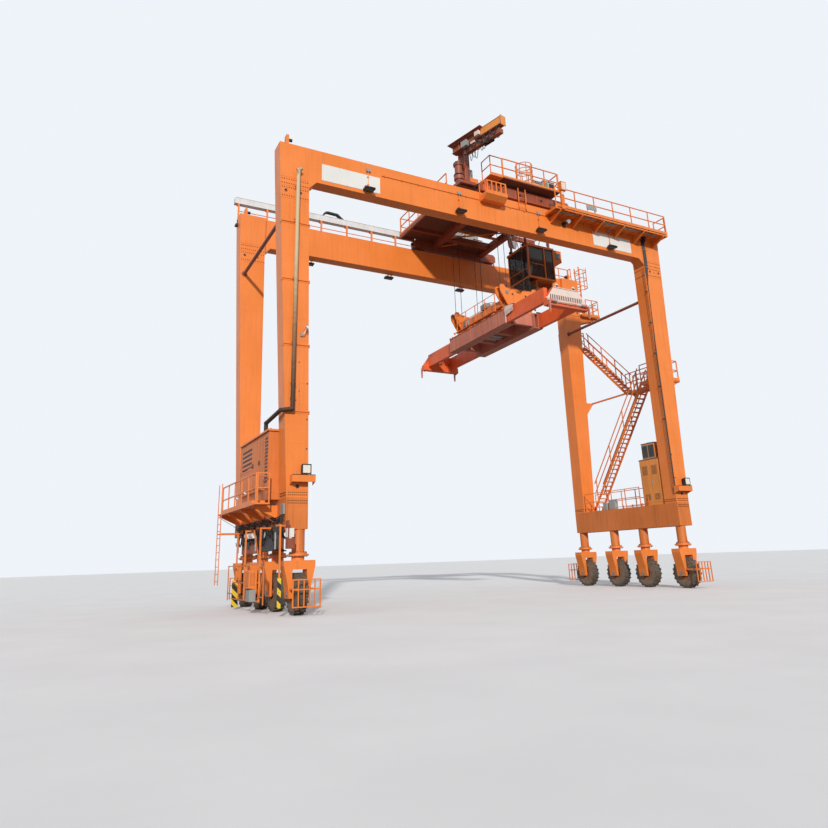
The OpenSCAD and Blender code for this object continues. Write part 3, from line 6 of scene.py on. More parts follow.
import bpy
from bpy.props import FloatProperty, FloatVectorProperty, IntProperty, PointerProperty
from bpy.types import Operator, Panel, PropertyGroup
from mathutils import Matrix, Vector
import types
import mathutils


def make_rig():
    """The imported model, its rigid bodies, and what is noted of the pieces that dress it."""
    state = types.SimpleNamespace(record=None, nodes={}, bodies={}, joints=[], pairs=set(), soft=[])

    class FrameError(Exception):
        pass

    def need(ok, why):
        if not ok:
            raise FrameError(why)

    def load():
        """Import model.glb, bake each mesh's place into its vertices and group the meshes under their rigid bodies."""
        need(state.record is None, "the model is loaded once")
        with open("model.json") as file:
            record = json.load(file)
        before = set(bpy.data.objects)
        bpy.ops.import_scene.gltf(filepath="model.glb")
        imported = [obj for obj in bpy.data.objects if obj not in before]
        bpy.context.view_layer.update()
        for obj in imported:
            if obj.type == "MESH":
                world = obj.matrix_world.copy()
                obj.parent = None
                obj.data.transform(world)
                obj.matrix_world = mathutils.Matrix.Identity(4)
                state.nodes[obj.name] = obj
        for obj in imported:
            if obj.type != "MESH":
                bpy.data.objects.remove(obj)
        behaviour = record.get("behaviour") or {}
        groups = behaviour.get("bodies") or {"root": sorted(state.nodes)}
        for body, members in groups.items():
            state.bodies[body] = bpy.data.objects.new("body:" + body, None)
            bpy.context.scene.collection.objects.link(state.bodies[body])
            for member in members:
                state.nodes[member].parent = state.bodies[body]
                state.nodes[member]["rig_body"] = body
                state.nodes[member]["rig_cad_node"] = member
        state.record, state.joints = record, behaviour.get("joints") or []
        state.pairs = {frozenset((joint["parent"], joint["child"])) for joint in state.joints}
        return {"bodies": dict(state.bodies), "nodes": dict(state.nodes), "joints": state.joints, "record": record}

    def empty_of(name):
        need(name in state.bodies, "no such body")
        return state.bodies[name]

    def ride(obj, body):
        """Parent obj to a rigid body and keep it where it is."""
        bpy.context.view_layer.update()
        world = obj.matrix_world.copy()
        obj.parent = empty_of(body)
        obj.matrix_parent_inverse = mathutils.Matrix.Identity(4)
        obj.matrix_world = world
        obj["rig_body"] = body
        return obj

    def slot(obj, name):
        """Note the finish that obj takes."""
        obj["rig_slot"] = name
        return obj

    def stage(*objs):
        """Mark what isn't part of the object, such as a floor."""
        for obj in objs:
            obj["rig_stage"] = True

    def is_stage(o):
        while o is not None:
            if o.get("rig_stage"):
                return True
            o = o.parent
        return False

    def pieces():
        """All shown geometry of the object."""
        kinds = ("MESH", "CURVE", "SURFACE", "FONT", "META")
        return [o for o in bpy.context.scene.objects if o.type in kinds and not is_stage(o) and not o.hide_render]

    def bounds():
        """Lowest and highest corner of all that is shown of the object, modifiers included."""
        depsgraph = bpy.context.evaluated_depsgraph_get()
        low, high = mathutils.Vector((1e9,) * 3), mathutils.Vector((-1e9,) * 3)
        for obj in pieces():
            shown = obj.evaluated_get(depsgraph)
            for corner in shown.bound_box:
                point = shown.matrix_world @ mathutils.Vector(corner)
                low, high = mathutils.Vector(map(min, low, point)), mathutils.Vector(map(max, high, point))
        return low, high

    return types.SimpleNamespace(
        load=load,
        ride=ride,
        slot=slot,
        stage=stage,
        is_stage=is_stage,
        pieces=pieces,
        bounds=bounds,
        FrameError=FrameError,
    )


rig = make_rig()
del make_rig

bl_info = {
    "name": "Rubber Tyred Gantry Crane Dressing",
    "version": (1, 0, 0),
    "blender": (4, 5, 0),
    "location": "View3D > Sidebar > Crane",
    "description": "Dresses the gantry crane's frame with paint, fittings, cables and lamps",
    "category": "Object",
}

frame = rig.load()
CAD_BOX = [list(p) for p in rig.bounds()]

# ---------------------------------------------------------------- places that several pieces share
# Faces of the near and far legs and girders: the outer one, and a leg's inner one
FACE_Y = 3.916
INNER_FACE_Y = 3.108
NEAR_Y = -FACE_Y
# Rails, wheels and axles
RAIL_Y = 3.607
WHEEL_X = 10.15
AXLE_Z = 0.73
RIM_RADIUS = 0.325
AXLES = {1: -3.66, 2: -1.1, 3: 1.1, 4: 3.66}
# Legs: foot, height and the x of both side faces at the foot and over the height
LEG_FOOT_Z = 4.15
LEG_HEIGHT = 13.2
LEG_OUT_X = 10.73
LEG_OUT_SPREAD = 0.593
LEG_IN_X = 9.87
LEG_IN_SPREAD = 0.165
# Trolley: its middle, the decks' tops and the rope sheaves
MID_X = 2.02
DECK_Z = 20.28
RAISED_DECK_Z = 20.46
SHEAVE_X = 0.76
SHEAVE_Z = 14.89
# Trough with the energy chain
TROUGH_FOOT_Z = 20.4875
CHAIN_FLOOR_Z = 20.5003
# Height that the exhaust's burnt colours are spread over
CRANE_TOP = 22.0
BLACK = (0, 0, 0)
WHITE = (1, 1, 1)


# ---------------------------------------------------------------- settings
class CranePaintSettings(PropertyGroup):
    """Colours of the crane's finishes"""
    orange: FloatVectorProperty(name="Orange Paint", description="Main paint of the portal frames",
                                subtype="COLOR", size=3, min=0, max=1, default=(0.90, 0.235, 0.032))
    trolley_red: FloatVectorProperty(name="Trolley Paint",
                                     description="Redder paint of the trolley and telescopic beams",
                                     subtype="COLOR", size=3, min=0, max=1, default=(0.86, 0.13, 0.022))
    faded_pink: FloatVectorProperty(name="Faded Spreader Paint",
                                    description="Bleached paint of the spreader's main frame",
                                    subtype="COLOR", size=3, min=0, max=1, default=(0.60, 0.20, 0.13))
    pale_cover: FloatVectorProperty(name="Pale Cover Paint",
                                    description="Whitish paint of the end beams and flippers",
                                    subtype="COLOR", size=3, min=0, max=1, default=(0.84, 0.68, 0.61))
    rust: FloatVectorProperty(name="Rust", description="Rust on edges, bolts and the exhaust",
                              subtype="COLOR", size=3, min=0, max=1, default=(0.16, 0.055, 0.022))


class CraneFittingSettings(PropertyGroup):
    """Sizes of the small fittings"""
    bolt_radius: FloatProperty(name="Bolt Radius", description="Radius of the splice bolts' heads",
                               subtype="DISTANCE", unit="LENGTH", min=0.01, max=0.04, default=0.021)
    exhaust_radius: FloatProperty(name="Exhaust Radius", description="Radius of the exhaust pipe on the leg",
                                  subtype="DISTANCE", unit="LENGTH", min=0.05, max=0.12, default=0.075)
    cable_count: IntProperty(name="Cables in a Bundle",
                             description="Cables laid side by side down the right leg",
                             min=3, max=12, default=7)


def colours():
    """The chosen colours."""
    return bpy.context.scene.crane_paint


def sizes():
    """The chosen sizes."""
    return bpy.context.scene.crane_fittings


# ---------------------------------------------------------------- shader tools
def new_group(name, inputs, outputs):
    """Empty shader node group with named sockets."""
    g = bpy.data.node_groups.new(name, "ShaderNodeTree")
    for label, kind, value in inputs:
        s = g.interface.new_socket(name=label, in_out="INPUT", socket_type=kind)
        s.default_value = value
    for label, kind in outputs:
        g.interface.new_socket(name=label, in_out="OUTPUT", socket_type=kind)
    return g, g.nodes.new("NodeGroupInput"), g.nodes.new("NodeGroupOutput")


def add(tree, kind, at=(0, 0), **values):
    """New node with settings and plain input values; inputs are given as in_Name."""
    n = tree.nodes.new(kind)
    n.location = at
    for k, v in values.items():
        if k.startswith("in_"):
            n.inputs[k[3:].replace("_", " ")].default_value = v
        else:
            setattr(n, k, v)
    return n


def ramp(tree, source, stops, at=(0, 0)):
    """Colour ramp fed by source; stops are (place, (r, g, b))."""
    n = add(tree, "ShaderNodeValToRGB", at)
    els = n.color_ramp.elements
    while len(els) < len(stops):
        els.new(0.5)
    for e, (p, c) in zip(els, stops):
        e.position = p
        e.color = (*c, 1) if len(c) == 3 else c
    tree.links.new(source, n.inputs["Fac"])
    return n.outputs["Color"]


def mix(tree, fac, a, b, at=(0, 0), blend="MIX"):
    """Mix of two colours; each argument is a socket, a number or a colour."""
    n = add(tree, "ShaderNodeMix", at, data_type="RGBA", blend_type=blend)
    for value, socket in ((fac, n.inputs[0]), (a, n.inputs[6]), (b, n.inputs[7])):
        if hasattr(value, "links"):
            tree.links.new(value, socket)
        elif isinstance(value, (int, float)):
            socket.default_value = value
        else:
            socket.default_value = (*value, 1)
    return n.outputs[2]


def maths(tree, op, a, b=0.0, at=(0, 0)):
    """Result of one sum; each argument is a socket or a number."""
    n = add(tree, "ShaderNodeMath", at, operation=op)
    for value, socket in ((a, n.inputs[0]), (b, n.inputs[1])):
        if hasattr(value, "links"):
            tree.links.new(value, socket)
        else:
            socket.default_value = value
    return n.outputs[0]


def noise(tree, where, scale, detail, roughness=0.5):
    """Noise over the coordinates where."""
    n = add(tree, "ShaderNodeTexNoise", (-700, -250), in_Scale=scale, in_Detail=detail,
            in_Roughness=roughness)
    tree.links.new(where, n.inputs["Vector"])
    return n.outputs["Fac"]


def stripes(tree, where, scale, axis, **values):
    """Bands across one axis, straight unless values bend them."""
    values.setdefault("in_Detail", 0.0)
    n = add(tree, "ShaderNodeTexWave", (-600, 0), in_Scale=scale, bands_direction=axis, **values)
    tree.links.new(where, n.inputs["Vector"])
    return n.outputs["Color"]


def height(tree, where):
    """Z of the coordinates where."""
    n = add(tree, "ShaderNodeSeparateXYZ", (-700, 0))
    tree.links.new(where, n.inputs[0])
    return n.outputs["Z"]


def surface(tree, bsdf, tone, **values):
    """Base colour from a socket, and plain values for other inputs."""
    tree.links.new(tone, bsdf.inputs["Base Color"])
    for k, v in values.items():
        bsdf.inputs[k.replace("_", " ")].default_value = v


def roughen(tree, bsdf, source, reach, base):
    """Roughness from base to base + reach, following source."""
    rough = maths(tree, "MULTIPLY_ADD", source, reach, (300, -100))
    rough.node.inputs[2].default_value = base
    tree.links.new(rough, bsdf.inputs["Roughness"])


def emboss(tree, bsdf, source, strength, distance=0.01):
    """Bump of the surface that follows source."""
    n = add(tree, "ShaderNodeBump", (400, -300), in_Strength=strength, in_Distance=distance)
    tree.links.new(source, n.inputs["Height"])
    tree.links.new(n.outputs["Normal"], bsdf.inputs["Normal"])


def weathering_group():
    """Sun-faded paint: blotches, fine speckle and vertical rain streaks."""
    if "Paint Weathering" in bpy.data.node_groups:
        return bpy.data.node_groups["Paint Weathering"]
    g, i, o = new_group("Paint Weathering",
                        [("Vector", "NodeSocketVector", (0, 0, 0)), ("Blotch Size", "NodeSocketFloat", 0.5),
                         ("Streak Width", "NodeSocketFloat", 9.0)],
                        [("Blotches", "NodeSocketFloat"), ("Streaks", "NodeSocketFloat"),
                         ("Speckle", "NodeSocketFloat"), ("Chips", "NodeSocketFloat")])
    t = g.links
    vector = i.outputs["Vector"]
    blotch = add(g, "ShaderNodeTexNoise", (-300, 200), in_Detail=4.0, in_Roughness=0.55)
    t.new(vector, blotch.inputs["Vector"])
    t.new(i.outputs["Blotch Size"], blotch.inputs["Scale"])
    t.new(blotch.outputs["Fac"], o.inputs["Blotches"])
    tall = add(g, "ShaderNodeVectorMath", (-500, 0), operation="MULTIPLY")
    tall.inputs[1].default_value = (1.0, 1.0, 0.045)
    t.new(vector, tall.inputs[0])
    streak = add(g, "ShaderNodeTexNoise", (-300, 0), in_Detail=5.0, in_Roughness=0.6)
    t.new(tall.outputs[0], streak.inputs["Vector"])
    t.new(i.outputs["Streak Width"], streak.inputs["Scale"])
    t.new(streak.outputs["Fac"], o.inputs["Streaks"])
    t.new(noise(g, vector, 55.0, 3.0), o.inputs["Speckle"])
    t.new(noise(g, vector, 6.5, 8.0, 0.72), o.inputs["Chips"])
    return g


def blank_material(name):
    """New material: itself, its node tree, its shader and the piece's own coordinates."""
    m = bpy.data.materials.new(name)
    m.use_nodes = True
    t = m.node_tree
    t.nodes.clear()
    out = add(t, "ShaderNodeOutputMaterial", (900, 0))
    bsdf = add(t, "ShaderNodeBsdfPrincipled", (600, 0))
    t.links.new(bsdf.outputs[0], out.inputs[0])
    where = add(t, "ShaderNodeTexCoord", (-900, 0))
    return m, t, bsdf, where.outputs["Object"]


def weathered_paint(name, colour, roughness, fade, dirt, rust):
    """Paint with faded patches, rain streaks, small rust chips and a slightly wavy plate."""
    m, t, bsdf, where = blank_material(name)
    w = add(t, "ShaderNodeGroup", (-650, 0), node_tree=weathering_group())
    t.links.new(where, w.inputs["Vector"])
    faded = [min(1.0, c * 1.06 + 0.045) for c in colour]
    deep = [c * 0.80 for c in colour]
    grimy = [c * 0.42 + 0.012 for c in colour]
    blotch = ramp(t, w.outputs["Blotches"], [(0.32, BLACK), (0.68, WHITE)], (-400, 250))
    base = mix(t, fade, colour, mix(t, blotch, deep, faded, (-200, 250)), (-50, 250))
    streak = ramp(t, w.outputs["Streaks"], [(0.50, BLACK), (0.78, WHITE)], (-400, 50))
    grime = mix(t, maths(t, "MULTIPLY", streak, dirt, (-200, 60)), base, grimy, (100, 200))
    speck = ramp(t, w.outputs["Speckle"], [(0.40, (0.90, 0.90, 0.90)), (0.62, WHITE)], (-400, -120))
    grime = mix(t, 1.0, grime, speck, (250, 200), "MULTIPLY")
    chips = ramp(t, w.outputs["Chips"], [(0.655, BLACK), (0.69, WHITE)], (-400, -300))
    chipped = maths(t, "MULTIPLY", chips, rust, (-200, -280))
    surface(t, bsdf, mix(t, chipped, grime, colours().rust, (400, 150)))
    roughen(t, bsdf, streak, 0.22, roughness)
    wave = maths(t, "ADD", w.outputs["Blotches"], maths(t, "MULTIPLY", w.outputs["Speckle"], 0.12, (0, -350)),
                 (200, -350))
    emboss(t, bsdf, wave, 0.05, 0.02)
    return m


def plain_noise_material(name, colour, roughness, metallic=0.0, scale=12.0, spread=0.25, bump=0.08):
    """Small-part finish: colour broken up by noise, slight bump and worn gloss."""
    m, t, bsdf, where = blank_material(name)
    grain = noise(t, where, scale, 5.0)
    tone = ramp(t, grain, [(0.3, [c * (1 - spread) for c in colour]),
                           (0.7, [min(1, c * (1 + spread)) for c in colour])], (-250, 100))
    surface(t, bsdf, tone, Metallic=metallic)
    roughen(t, bsdf, grain, 0.25, max(0.02, roughness - 0.12))
    emboss(t, bsdf, grain, bump)
    return m


def grating_material():
    """Galvanised walkway grating: bright bearing bars, with near-black painted shade in the slots between them
    standing for the openings.
    """
    m, t, bsdf, where = blank_material("galvanised_grating")
    lines = [ramp(t, stripes(t, where, scale, axis), [(0.45, BLACK), (0.6, WHITE)], (-400, 0))
             for axis, scale in (("X", 5.2), ("Y", 2.6))]
    bars = mix(t, 1.0, lines[0], lines[1], (-150, 0), "LIGHTEN")
    steel = ramp(t, noise(t, where, 3.0, 4.0), [(0.3, (0.22, 0.225, 0.23)), (0.7, (0.42, 0.43, 0.44))],
                 (-400, -300))
    # The near-black between the bars is painted shade of the openings
    surface(t, bsdf, mix(t, bars, (0.055, 0.055, 0.06), steel, (100, 0)), Metallic=0.35, Roughness=0.55)
    emboss(t, bsdf, bars, 0.5)
    return m


def wheel_group():
    """Splits a wheel into hub, rim and tyre by the distance from its axle."""
    if "Wheel Zones" in bpy.data.node_groups:
        return bpy.data.node_groups["Wheel Zones"]
    g, i, o = new_group("Wheel Zones",
                        [("Vector", "NodeSocketVector", (0, 0, 0)), ("Axle Y", "NodeSocketFloat", 0.0),
                         ("Axle Z", "NodeSocketFloat", AXLE_Z)],
                        [("Radius", "NodeSocketFloat"), ("Rim", "NodeSocketFloat"),
                         ("Dust", "NodeSocketFloat")])
    sep = add(g, "ShaderNodeSeparateXYZ", (-700, 0))
    g.links.new(i.outputs["Vector"], sep.inputs[0])
    dy = maths(g, "SUBTRACT", sep.outputs["Y"], i.outputs["Axle Y"], (-500, 0))
    dz = maths(g, "SUBTRACT", sep.outputs["Z"], i.outputs["Axle Z"], (-500, -150))
    squares = [maths(g, "MULTIPLY", d, d, (-350, 0)) for d in (dy, dz)]
    r = maths(g, "SQRT", maths(g, "ADD", squares[0], squares[1], (-200, 0)), 0, (-50, 0))
    g.links.new(r, o.inputs["Radius"])
    g.links.new(maths(g, "LESS_THAN", r, RIM_RADIUS, (100, 0)), o.inputs["Rim"])
    dust = noise(g, i.outputs["Vector"], 7.0, 6.0, 0.65)
    low = add(g, "ShaderNodeMapRange", (0, -300), in_From_Min=0.70, in_From_Max=0.55, in_To_Min=0.55,
              in_To_Max=1.1)
    g.links.new(r, low.inputs["Value"])
    g.links.new(maths(g, "MULTIPLY", dust, low.outputs[0], (150, -300)), o.inputs["Dust"])
    return g


def wheel_material(axle_y):
    """Dusty black tyre on an orange rim, centred on one axle."""
    name = "tyre_and_rim_%d" % round(axle_y * 100)
    if name in bpy.data.materials:
        return bpy.data.materials[name]
    m, t, bsdf, where = blank_material(name)
    z = add(t, "ShaderNodeGroup", (-600, 0), node_tree=wheel_group())
    z.inputs["Axle Y"].default_value = axle_y
    t.links.new(where, z.inputs["Vector"])
    dust = z.outputs["Dust"]
    rubber = mix(t, dust, (0.022, 0.020, 0.018), (0.34, 0.25, 0.175), (-250, 100))
    rim = mix(t, dust, (0.50, 0.12, 0.02), (0.24, 0.14, 0.08), (-250, -50))
    grooves = maths(t, "SINE", maths(t, "MULTIPLY", z.outputs["Radius"], 210.0, (-500, -200)), 0,
                    (-400, -200))
    surface(t, bsdf, mix(t, z.outputs["Rim"], rubber, rim, (0, 100)))
    roughen(t, bsdf, dust, 0.3, 0.58)
    emboss(t, bsdf, grooves, 0.18, 0.004)
    return m


def exhaust_material():
    """Exhaust pipe: cream paint above, burnt rust brown below."""
    m, t, bsdf, where = blank_material("exhaust_burnt_paint")
    soot = noise(t, where, 5.0, 7.0, 0.7)
    h = maths(t, "ADD", maths(t, "MULTIPLY", height(t, where), 1 / CRANE_TOP, (-500, 0)),
              maths(t, "MULTIPLY", soot, 0.16, (-500, -200)), (-350, 0))
    tone = ramp(t, h, [(0.36, (0.016, 0.009, 0.007)), (0.46, (0.075, 0.028, 0.014)),
                       (0.57, (0.25, 0.13, 0.055)),
                       (0.72, (0.60, 0.46, 0.27)), (0.895, (0.62, 0.50, 0.32)),
                       (0.925, (0.035, 0.018, 0.012))],
                (-150, 0))
    surface(t, bsdf, tone, Roughness=0.68)
    emboss(t, bsdf, soot, 0.2, 0.008)
    return m


def trough_material():
    """Pale trough sheet; the posts below it are orange."""
    m, t, bsdf, where = blank_material("pale_trough_sheet")
    grain = noise(t, where, 3.0, 6.0, 0.6)
    sheet = ramp(t, grain, [(0.3, (0.60, 0.62, 0.63)), (0.7, (0.76, 0.78, 0.79))], (-350, 0))
    post = maths(t, "LESS_THAN", height(t, where), TROUGH_FOOT_Z, (-350, 200))
    surface(t, bsdf, mix(t, post, sheet, list(colours().orange), (-100, 0)), Roughness=0.5)
    emboss(t, bsdf, grain, 0.1)
    return m


def hazard_material():
    """Slanted black and yellow stripes with scuffs."""
    m, t, bsdf, where = blank_material("hazard_stripes")
    scratches = noise(t, where, 14.0, 6.0, 0.7)
    bands = ramp(t, stripes(t, where, 1.45, "DIAGONAL"),
                 [(0.49, (0.02, 0.02, 0.02)), (0.51, (0.78, 0.55, 0.03))],
                 (-350, 0))
    scuff = ramp(t, scratches, [(0.60, BLACK), (0.68, WHITE)], (-350, -250))
    surface(t, bsdf, mix(t, scuff, bands, (0.36, 0.20, 0.09), (0, 0)))
    roughen(t, bsdf, scratches, 0.3, 0.3)
    return m


def glass_material():
    """Dark tinted glass with uneven gloss."""
    m, t, bsdf, where = blank_material("tinted_cab_glass")
    haze = noise(t, where, 2.2, 5.0)
    tone = ramp(t, haze, [(0.35, (0.035, 0.045, 0.05)), (0.75, (0.09, 0.10, 0.10))], (-250, 0))
    surface(t, bsdf, tone, Alpha=0.58, IOR=1.5)
    t.links.new(maths(t, "MULTIPLY", haze, 0.16, (-250, -200)), bsdf.inputs["Roughness"])
    return m


def lens_material(name, colour, glow):
    """Ribbed lamp lens, faintly bright."""
    m, t, bsdf, where = blank_material(name)
    tone = ramp(t, stripes(t, where, 14.0, "X"), [(0.2, [c * 0.75 for c in colour]), (0.8, colour)],
                (-250, 0))
    surface(t, bsdf, tone, Roughness=0.15, Emission_Color=(*colour, 1), Emission_Strength=glow)
    return m


def rope_material():
    """Greased wire rope with twisted strands."""
    m, t, bsdf, where = blank_material("greased_wire_rope")
    strands = stripes(t, where, 9.0, "Z", in_Distortion=3.0, in_Detail=1.0)
    tone = ramp(t, strands, [(0.3, (0.012, 0.012, 0.013)), (0.8, (0.07, 0.068, 0.065))], (-250, 0))
    surface(t, bsdf, tone, Metallic=0.6, Roughness=0.5)
    emboss(t, bsdf, strands, 0.6, 0.004)
    return m


def cover_material():
    """Whitish sheet of the end beams, rusty towards its lower edge."""
    m, t, bsdf, where = blank_material("pale_grooved_cover")
    s = colours()
    grain = noise(t, where, 4.0, 7.0, 0.65)
    edge = add(t, "ShaderNodeMapRange", (-500, 0), in_From_Min=13.25, in_From_Max=12.85, in_To_Min=0.0,
               in_To_Max=0.62)
    t.links.new(height(t, where), edge.inputs["Value"])
    rusty = ramp(t, maths(t, "ADD", edge.outputs[0], grain, (-350, 0)), [(0.80, BLACK), (1.0, WHITE)],
                 (-200, 0))
    shade = ramp(t, grain, [(0.3, [c * 0.86 for c in s.pale_cover]), (0.7, list(s.pale_cover))], (-200, -300))
    surface(t, bsdf, mix(t, rusty, shade, s.faded_pink, (100, 0)), Roughness=0.6)
    emboss(t, bsdf, grain, 0.12)
    return m


MATERIALS = {}


def weathered_paints():
    """Painted finishes; the numbers are roughness, fading, dirt and rust."""
    s = colours()
    return {
        "orange": weathered_paint("crane_orange_paint", list(s.orange), 0.42, 0.35, 0.30, 0.06),
        "orange_dirty": weathered_paint("sooty_orange_paint", [c * 0.82 for c in s.orange], 0.5, 0.5, 0.65,
                                        0.35),
        "trolley": weathered_paint("trolley_red_orange_paint", list(s.trolley_red), 0.46, 0.5, 0.45, 0.25),
        # Carriage finish: the trolley's red darkened to brown-red as painted shade, for the trolley frame, hoist
        # machinery and sill boxes that lie in shade
        "carriage": weathered_paint("carriage_brown_red_paint", (0.30, 0.062, 0.022), 0.5, 0.5, 0.5, 0.3),
        # Deck finish: dark brown, partly the deck's dirt and partly painted shade of its underside
        "deck": weathered_paint("deck_underside_paint", (0.15, 0.042, 0.018), 0.6, 0.5, 0.6, 0.3),
        # Jib finish: brown-red that is partly the jib's own paint and partly painted shade; its lit plates take the
        # brighter house orange
        "jib": weathered_paint("jib_brown_red_paint", (0.30, 0.078, 0.036), 0.5, 0.5, 0.4, 0.25),
        "pink": weathered_paint("bleached_spreader_paint", list(s.faded_pink), 0.62, 0.7, 0.5, 0.5),
        "house": weathered_paint("house_orange_paint", (0.86, 0.30, 0.05), 0.45, 0.4, 0.3, 0.15),
        "white": weathered_paint("white_board_paint", (0.82, 0.82, 0.80), 0.4, 0.3, 0.12, 0.04),
        "slate": weathered_paint("slate_grey_paint", (0.105, 0.115, 0.125), 0.5, 0.3, 0.3, 0.1),
        "grey": weathered_paint("grey_cabinet_paint", (0.33, 0.34, 0.33), 0.5, 0.4, 0.4, 0.2),
        "beige": weathered_paint("beige_cabinet_paint", (0.62, 0.55, 0.46), 0.5, 0.4, 0.35, 0.2),
    }


def grained_finishes():
    """Unpainted finishes; the numbers are roughness, metallic, grain, spread of the colour and bump."""
    return {
        "rust": plain_noise_material("rusty_steel", list(colours().rust), 0.8, 0.0, 9.0, 0.5, 0.4),
        "steel": plain_noise_material("worn_bare_steel", (0.34, 0.33, 0.32), 0.42, 0.8, 20.0, 0.25, 0.05),
        "dark": plain_noise_material("black_oily_steel", (0.028, 0.027, 0.027), 0.5, 0.3, 14.0, 0.5, 0.15),
        "cable": plain_noise_material("black_cable_rubber", (0.020, 0.019, 0.019), 0.62, 0.0, 30.0, 0.4, 0.1),
        "cable_blue": plain_noise_material("blue_festoon_cable", (0.05, 0.16, 0.32), 0.5, 0.0, 30.0, 0.4,
                                           0.1),
        "chain": plain_noise_material("black_chain_links", (0.030, 0.030, 0.032), 0.55, 0.0, 18.0, 0.4, 0.2),
        "seat": plain_noise_material("black_seat_cloth", (0.035, 0.035, 0.04), 0.85, 0.0, 160.0, 0.5, 0.5),
    }


def build_materials():
    """Fills the table of finishes by their short names."""
    MATERIALS.update(weathered_paints())
    MATERIALS.update(grained_finishes())
    MATERIALS.update(
        cover=cover_material(),
        trough=trough_material(),
        grating=grating_material(),
        glass=glass_material(),
        dim_lens=lens_material("unlit_lamp_lens", (0.10, 0.10, 0.095), 0.0),
        lens=lens_material("floodlight_lens", (0.75, 0.72, 0.62), 0.15),
        white_lamp=lens_material("white_lamp_lens", (0.85, 0.86, 0.88), 0.25),
        rope=rope_material(),
        hazard=hazard_material(),
        exhaust=exhaust_material(),
    )




# ---------------------------------------------------------------- modelling tools
TURN_TO = {"X": (0, math.pi / 2, 0), "Y": (math.pi / 2, 0, 0), "Z": (0, 0, 0)}


def clear_selection():
    """Object mode with nothing selected."""
    o = bpy.context.object
    if o and o.mode != "OBJECT":
        bpy.ops.object.mode_set(mode="OBJECT")
    bpy.ops.object.select_all(action="DESELECT")


def take(*objects):
    """Selects just these objects, the first one active."""
    clear_selection()
    for o in objects:
        o.select_set(True)
    bpy.context.view_layer.objects.active = objects[0]
    return objects[0]


def box(low, high):
    """Block between two opposite corners, in either order."""
    clear_selection()
    mid = [(a + b) / 2 for a, b in zip(low, high)]
    bpy.ops.mesh.primitive_cube_add(size=1, location=mid)
    o = bpy.context.object
    o.scale = [abs(b - a) for a, b in zip(low, high)]
    return o


def boxes(*rows):
    """Blocks from rows of six numbers: one corner, then the opposite one."""
    return [box(r[:3], r[3:]) for r in rows]


def disc(centre, radius, depth, axis="Z", sides=24):
    """Round bar or disc about one axis."""
    clear_selection()
    bpy.ops.mesh.primitive_cylinder_add(vertices=sides, radius=radius, depth=depth, location=centre,
                                        rotation=TURN_TO[axis])
    return bpy.context.object


def cone(centre, r1, r2, depth, axis="Z", sides=24):
    """Blunt cone about one axis."""
    clear_selection()
    bpy.ops.mesh.primitive_cone_add(vertices=sides, radius1=r1, radius2=r2, depth=depth, location=centre,
                                    rotation=TURN_TO[axis])
    return bpy.context.object


def ball(centre, radius, sides=16):
    """Round ball."""
    clear_selection()
    bpy.ops.mesh.primitive_uv_sphere_add(segments=sides, ring_count=max(6, sides // 2), radius=radius,
                                         location=centre)
    return bpy.context.object


def plate(outline, axis, low, high):
    """Flat plate: an outline of the two other axes, pulled from low to high."""
    clear_selection()
    bpy.ops.mesh.primitive_circle_add(vertices=len(outline), radius=1, fill_type="NGON")
    o = bpy.context.object
    k = "XYZ".index(axis)
    for v, (a, b) in zip(o.data.vertices, outline):
        rest = [a, b]
        v.co = [low if j == k else rest.pop(0) for j in range(3)]
    bpy.ops.object.mode_set(mode="EDIT")
    bpy.ops.mesh.select_all(action="SELECT")
    push = [0, 0, 0]
    push[k] = high - low
    bpy.ops.mesh.extrude_region_move(TRANSFORM_OT_translate={"value": push})
    bpy.ops.mesh.select_all(action="SELECT")
    bpy.ops.mesh.normals_make_consistent(inside=False)
    bpy.ops.object.mode_set(mode="OBJECT")
    return o


def rounded(points, radius, steps=5):
    """Path with its corners turned into arcs of about this radius."""
    pts = [Vector(p) for p in points]
    out = [pts[0]]
    for a, b, c in zip(pts, pts[1:], pts[2:]):
        u, v = (a - b), (c - b)
        r = min(radius, u.length * 0.45, v.length * 0.45)
        p, q = b + u.normalized() * r, b + v.normalized() * r
        for i in range(steps + 1):
            s = i / steps
            out.append(p * (1 - s) ** 2 + b * 2 * s * (1 - s) + q * s * s)
    out.append(pts[-1])
    return out


def sagging(a, b, drop, steps=12):
    """Points of a hanging cable between two ends."""
    a, b = Vector(a), Vector(b)
    return [a.lerp(b, i / steps) - Vector((0, 0, drop * 4 * (i / steps) * (1 - i / steps)))
            for i in range(steps + 1)]


def circle(x, y, z, radius):
    """Points of a level circle."""
    return [(x + radius * math.cos(a * math.pi / 12), y + radius * math.sin(a * math.pi / 12), z)
            for a in range(24)]


def tube(points, radius, sides=8, closed=False):
    """Round tube along a path, as a mesh with its ends capped."""
    clear_selection()
    curve = bpy.data.curves.new("tube", "CURVE")
    curve.dimensions = "3D"
    s = curve.splines.new("POLY")
    s.points.add(len(points) - 1)
    for p, q in zip(s.points, points):
        p.co = (*q, 1)
    s.use_cyclic_u = closed
    curve.bevel_depth = radius
    curve.bevel_resolution = max(0, sides // 2 - 2)
    curve.use_fill_caps = not closed
    o = bpy.data.objects.new("tube", curve)
    bpy.context.collection.objects.link(o)
    take(o)
    bpy.ops.object.convert(target="MESH")
    return bpy.context.object


def bar_between(a, b, width, depth=None):
    """Square bar between two points."""
    a, b = Vector(a), Vector(b)
    o = box((-width / 2, -(depth or width) / 2, 0), (width / 2, (depth or width) / 2, (b - a).length))
    apply_place(o)
    o.matrix_world = Matrix.Translation(a) @ (b - a).to_track_quat("Z", "Y").to_matrix().to_4x4()
    return o


def apply_place(o):
    """Puts the object's place, turn and scale into its mesh."""
    take(o)
    bpy.ops.object.transform_apply(location=True, rotation=True, scale=True)
    return o


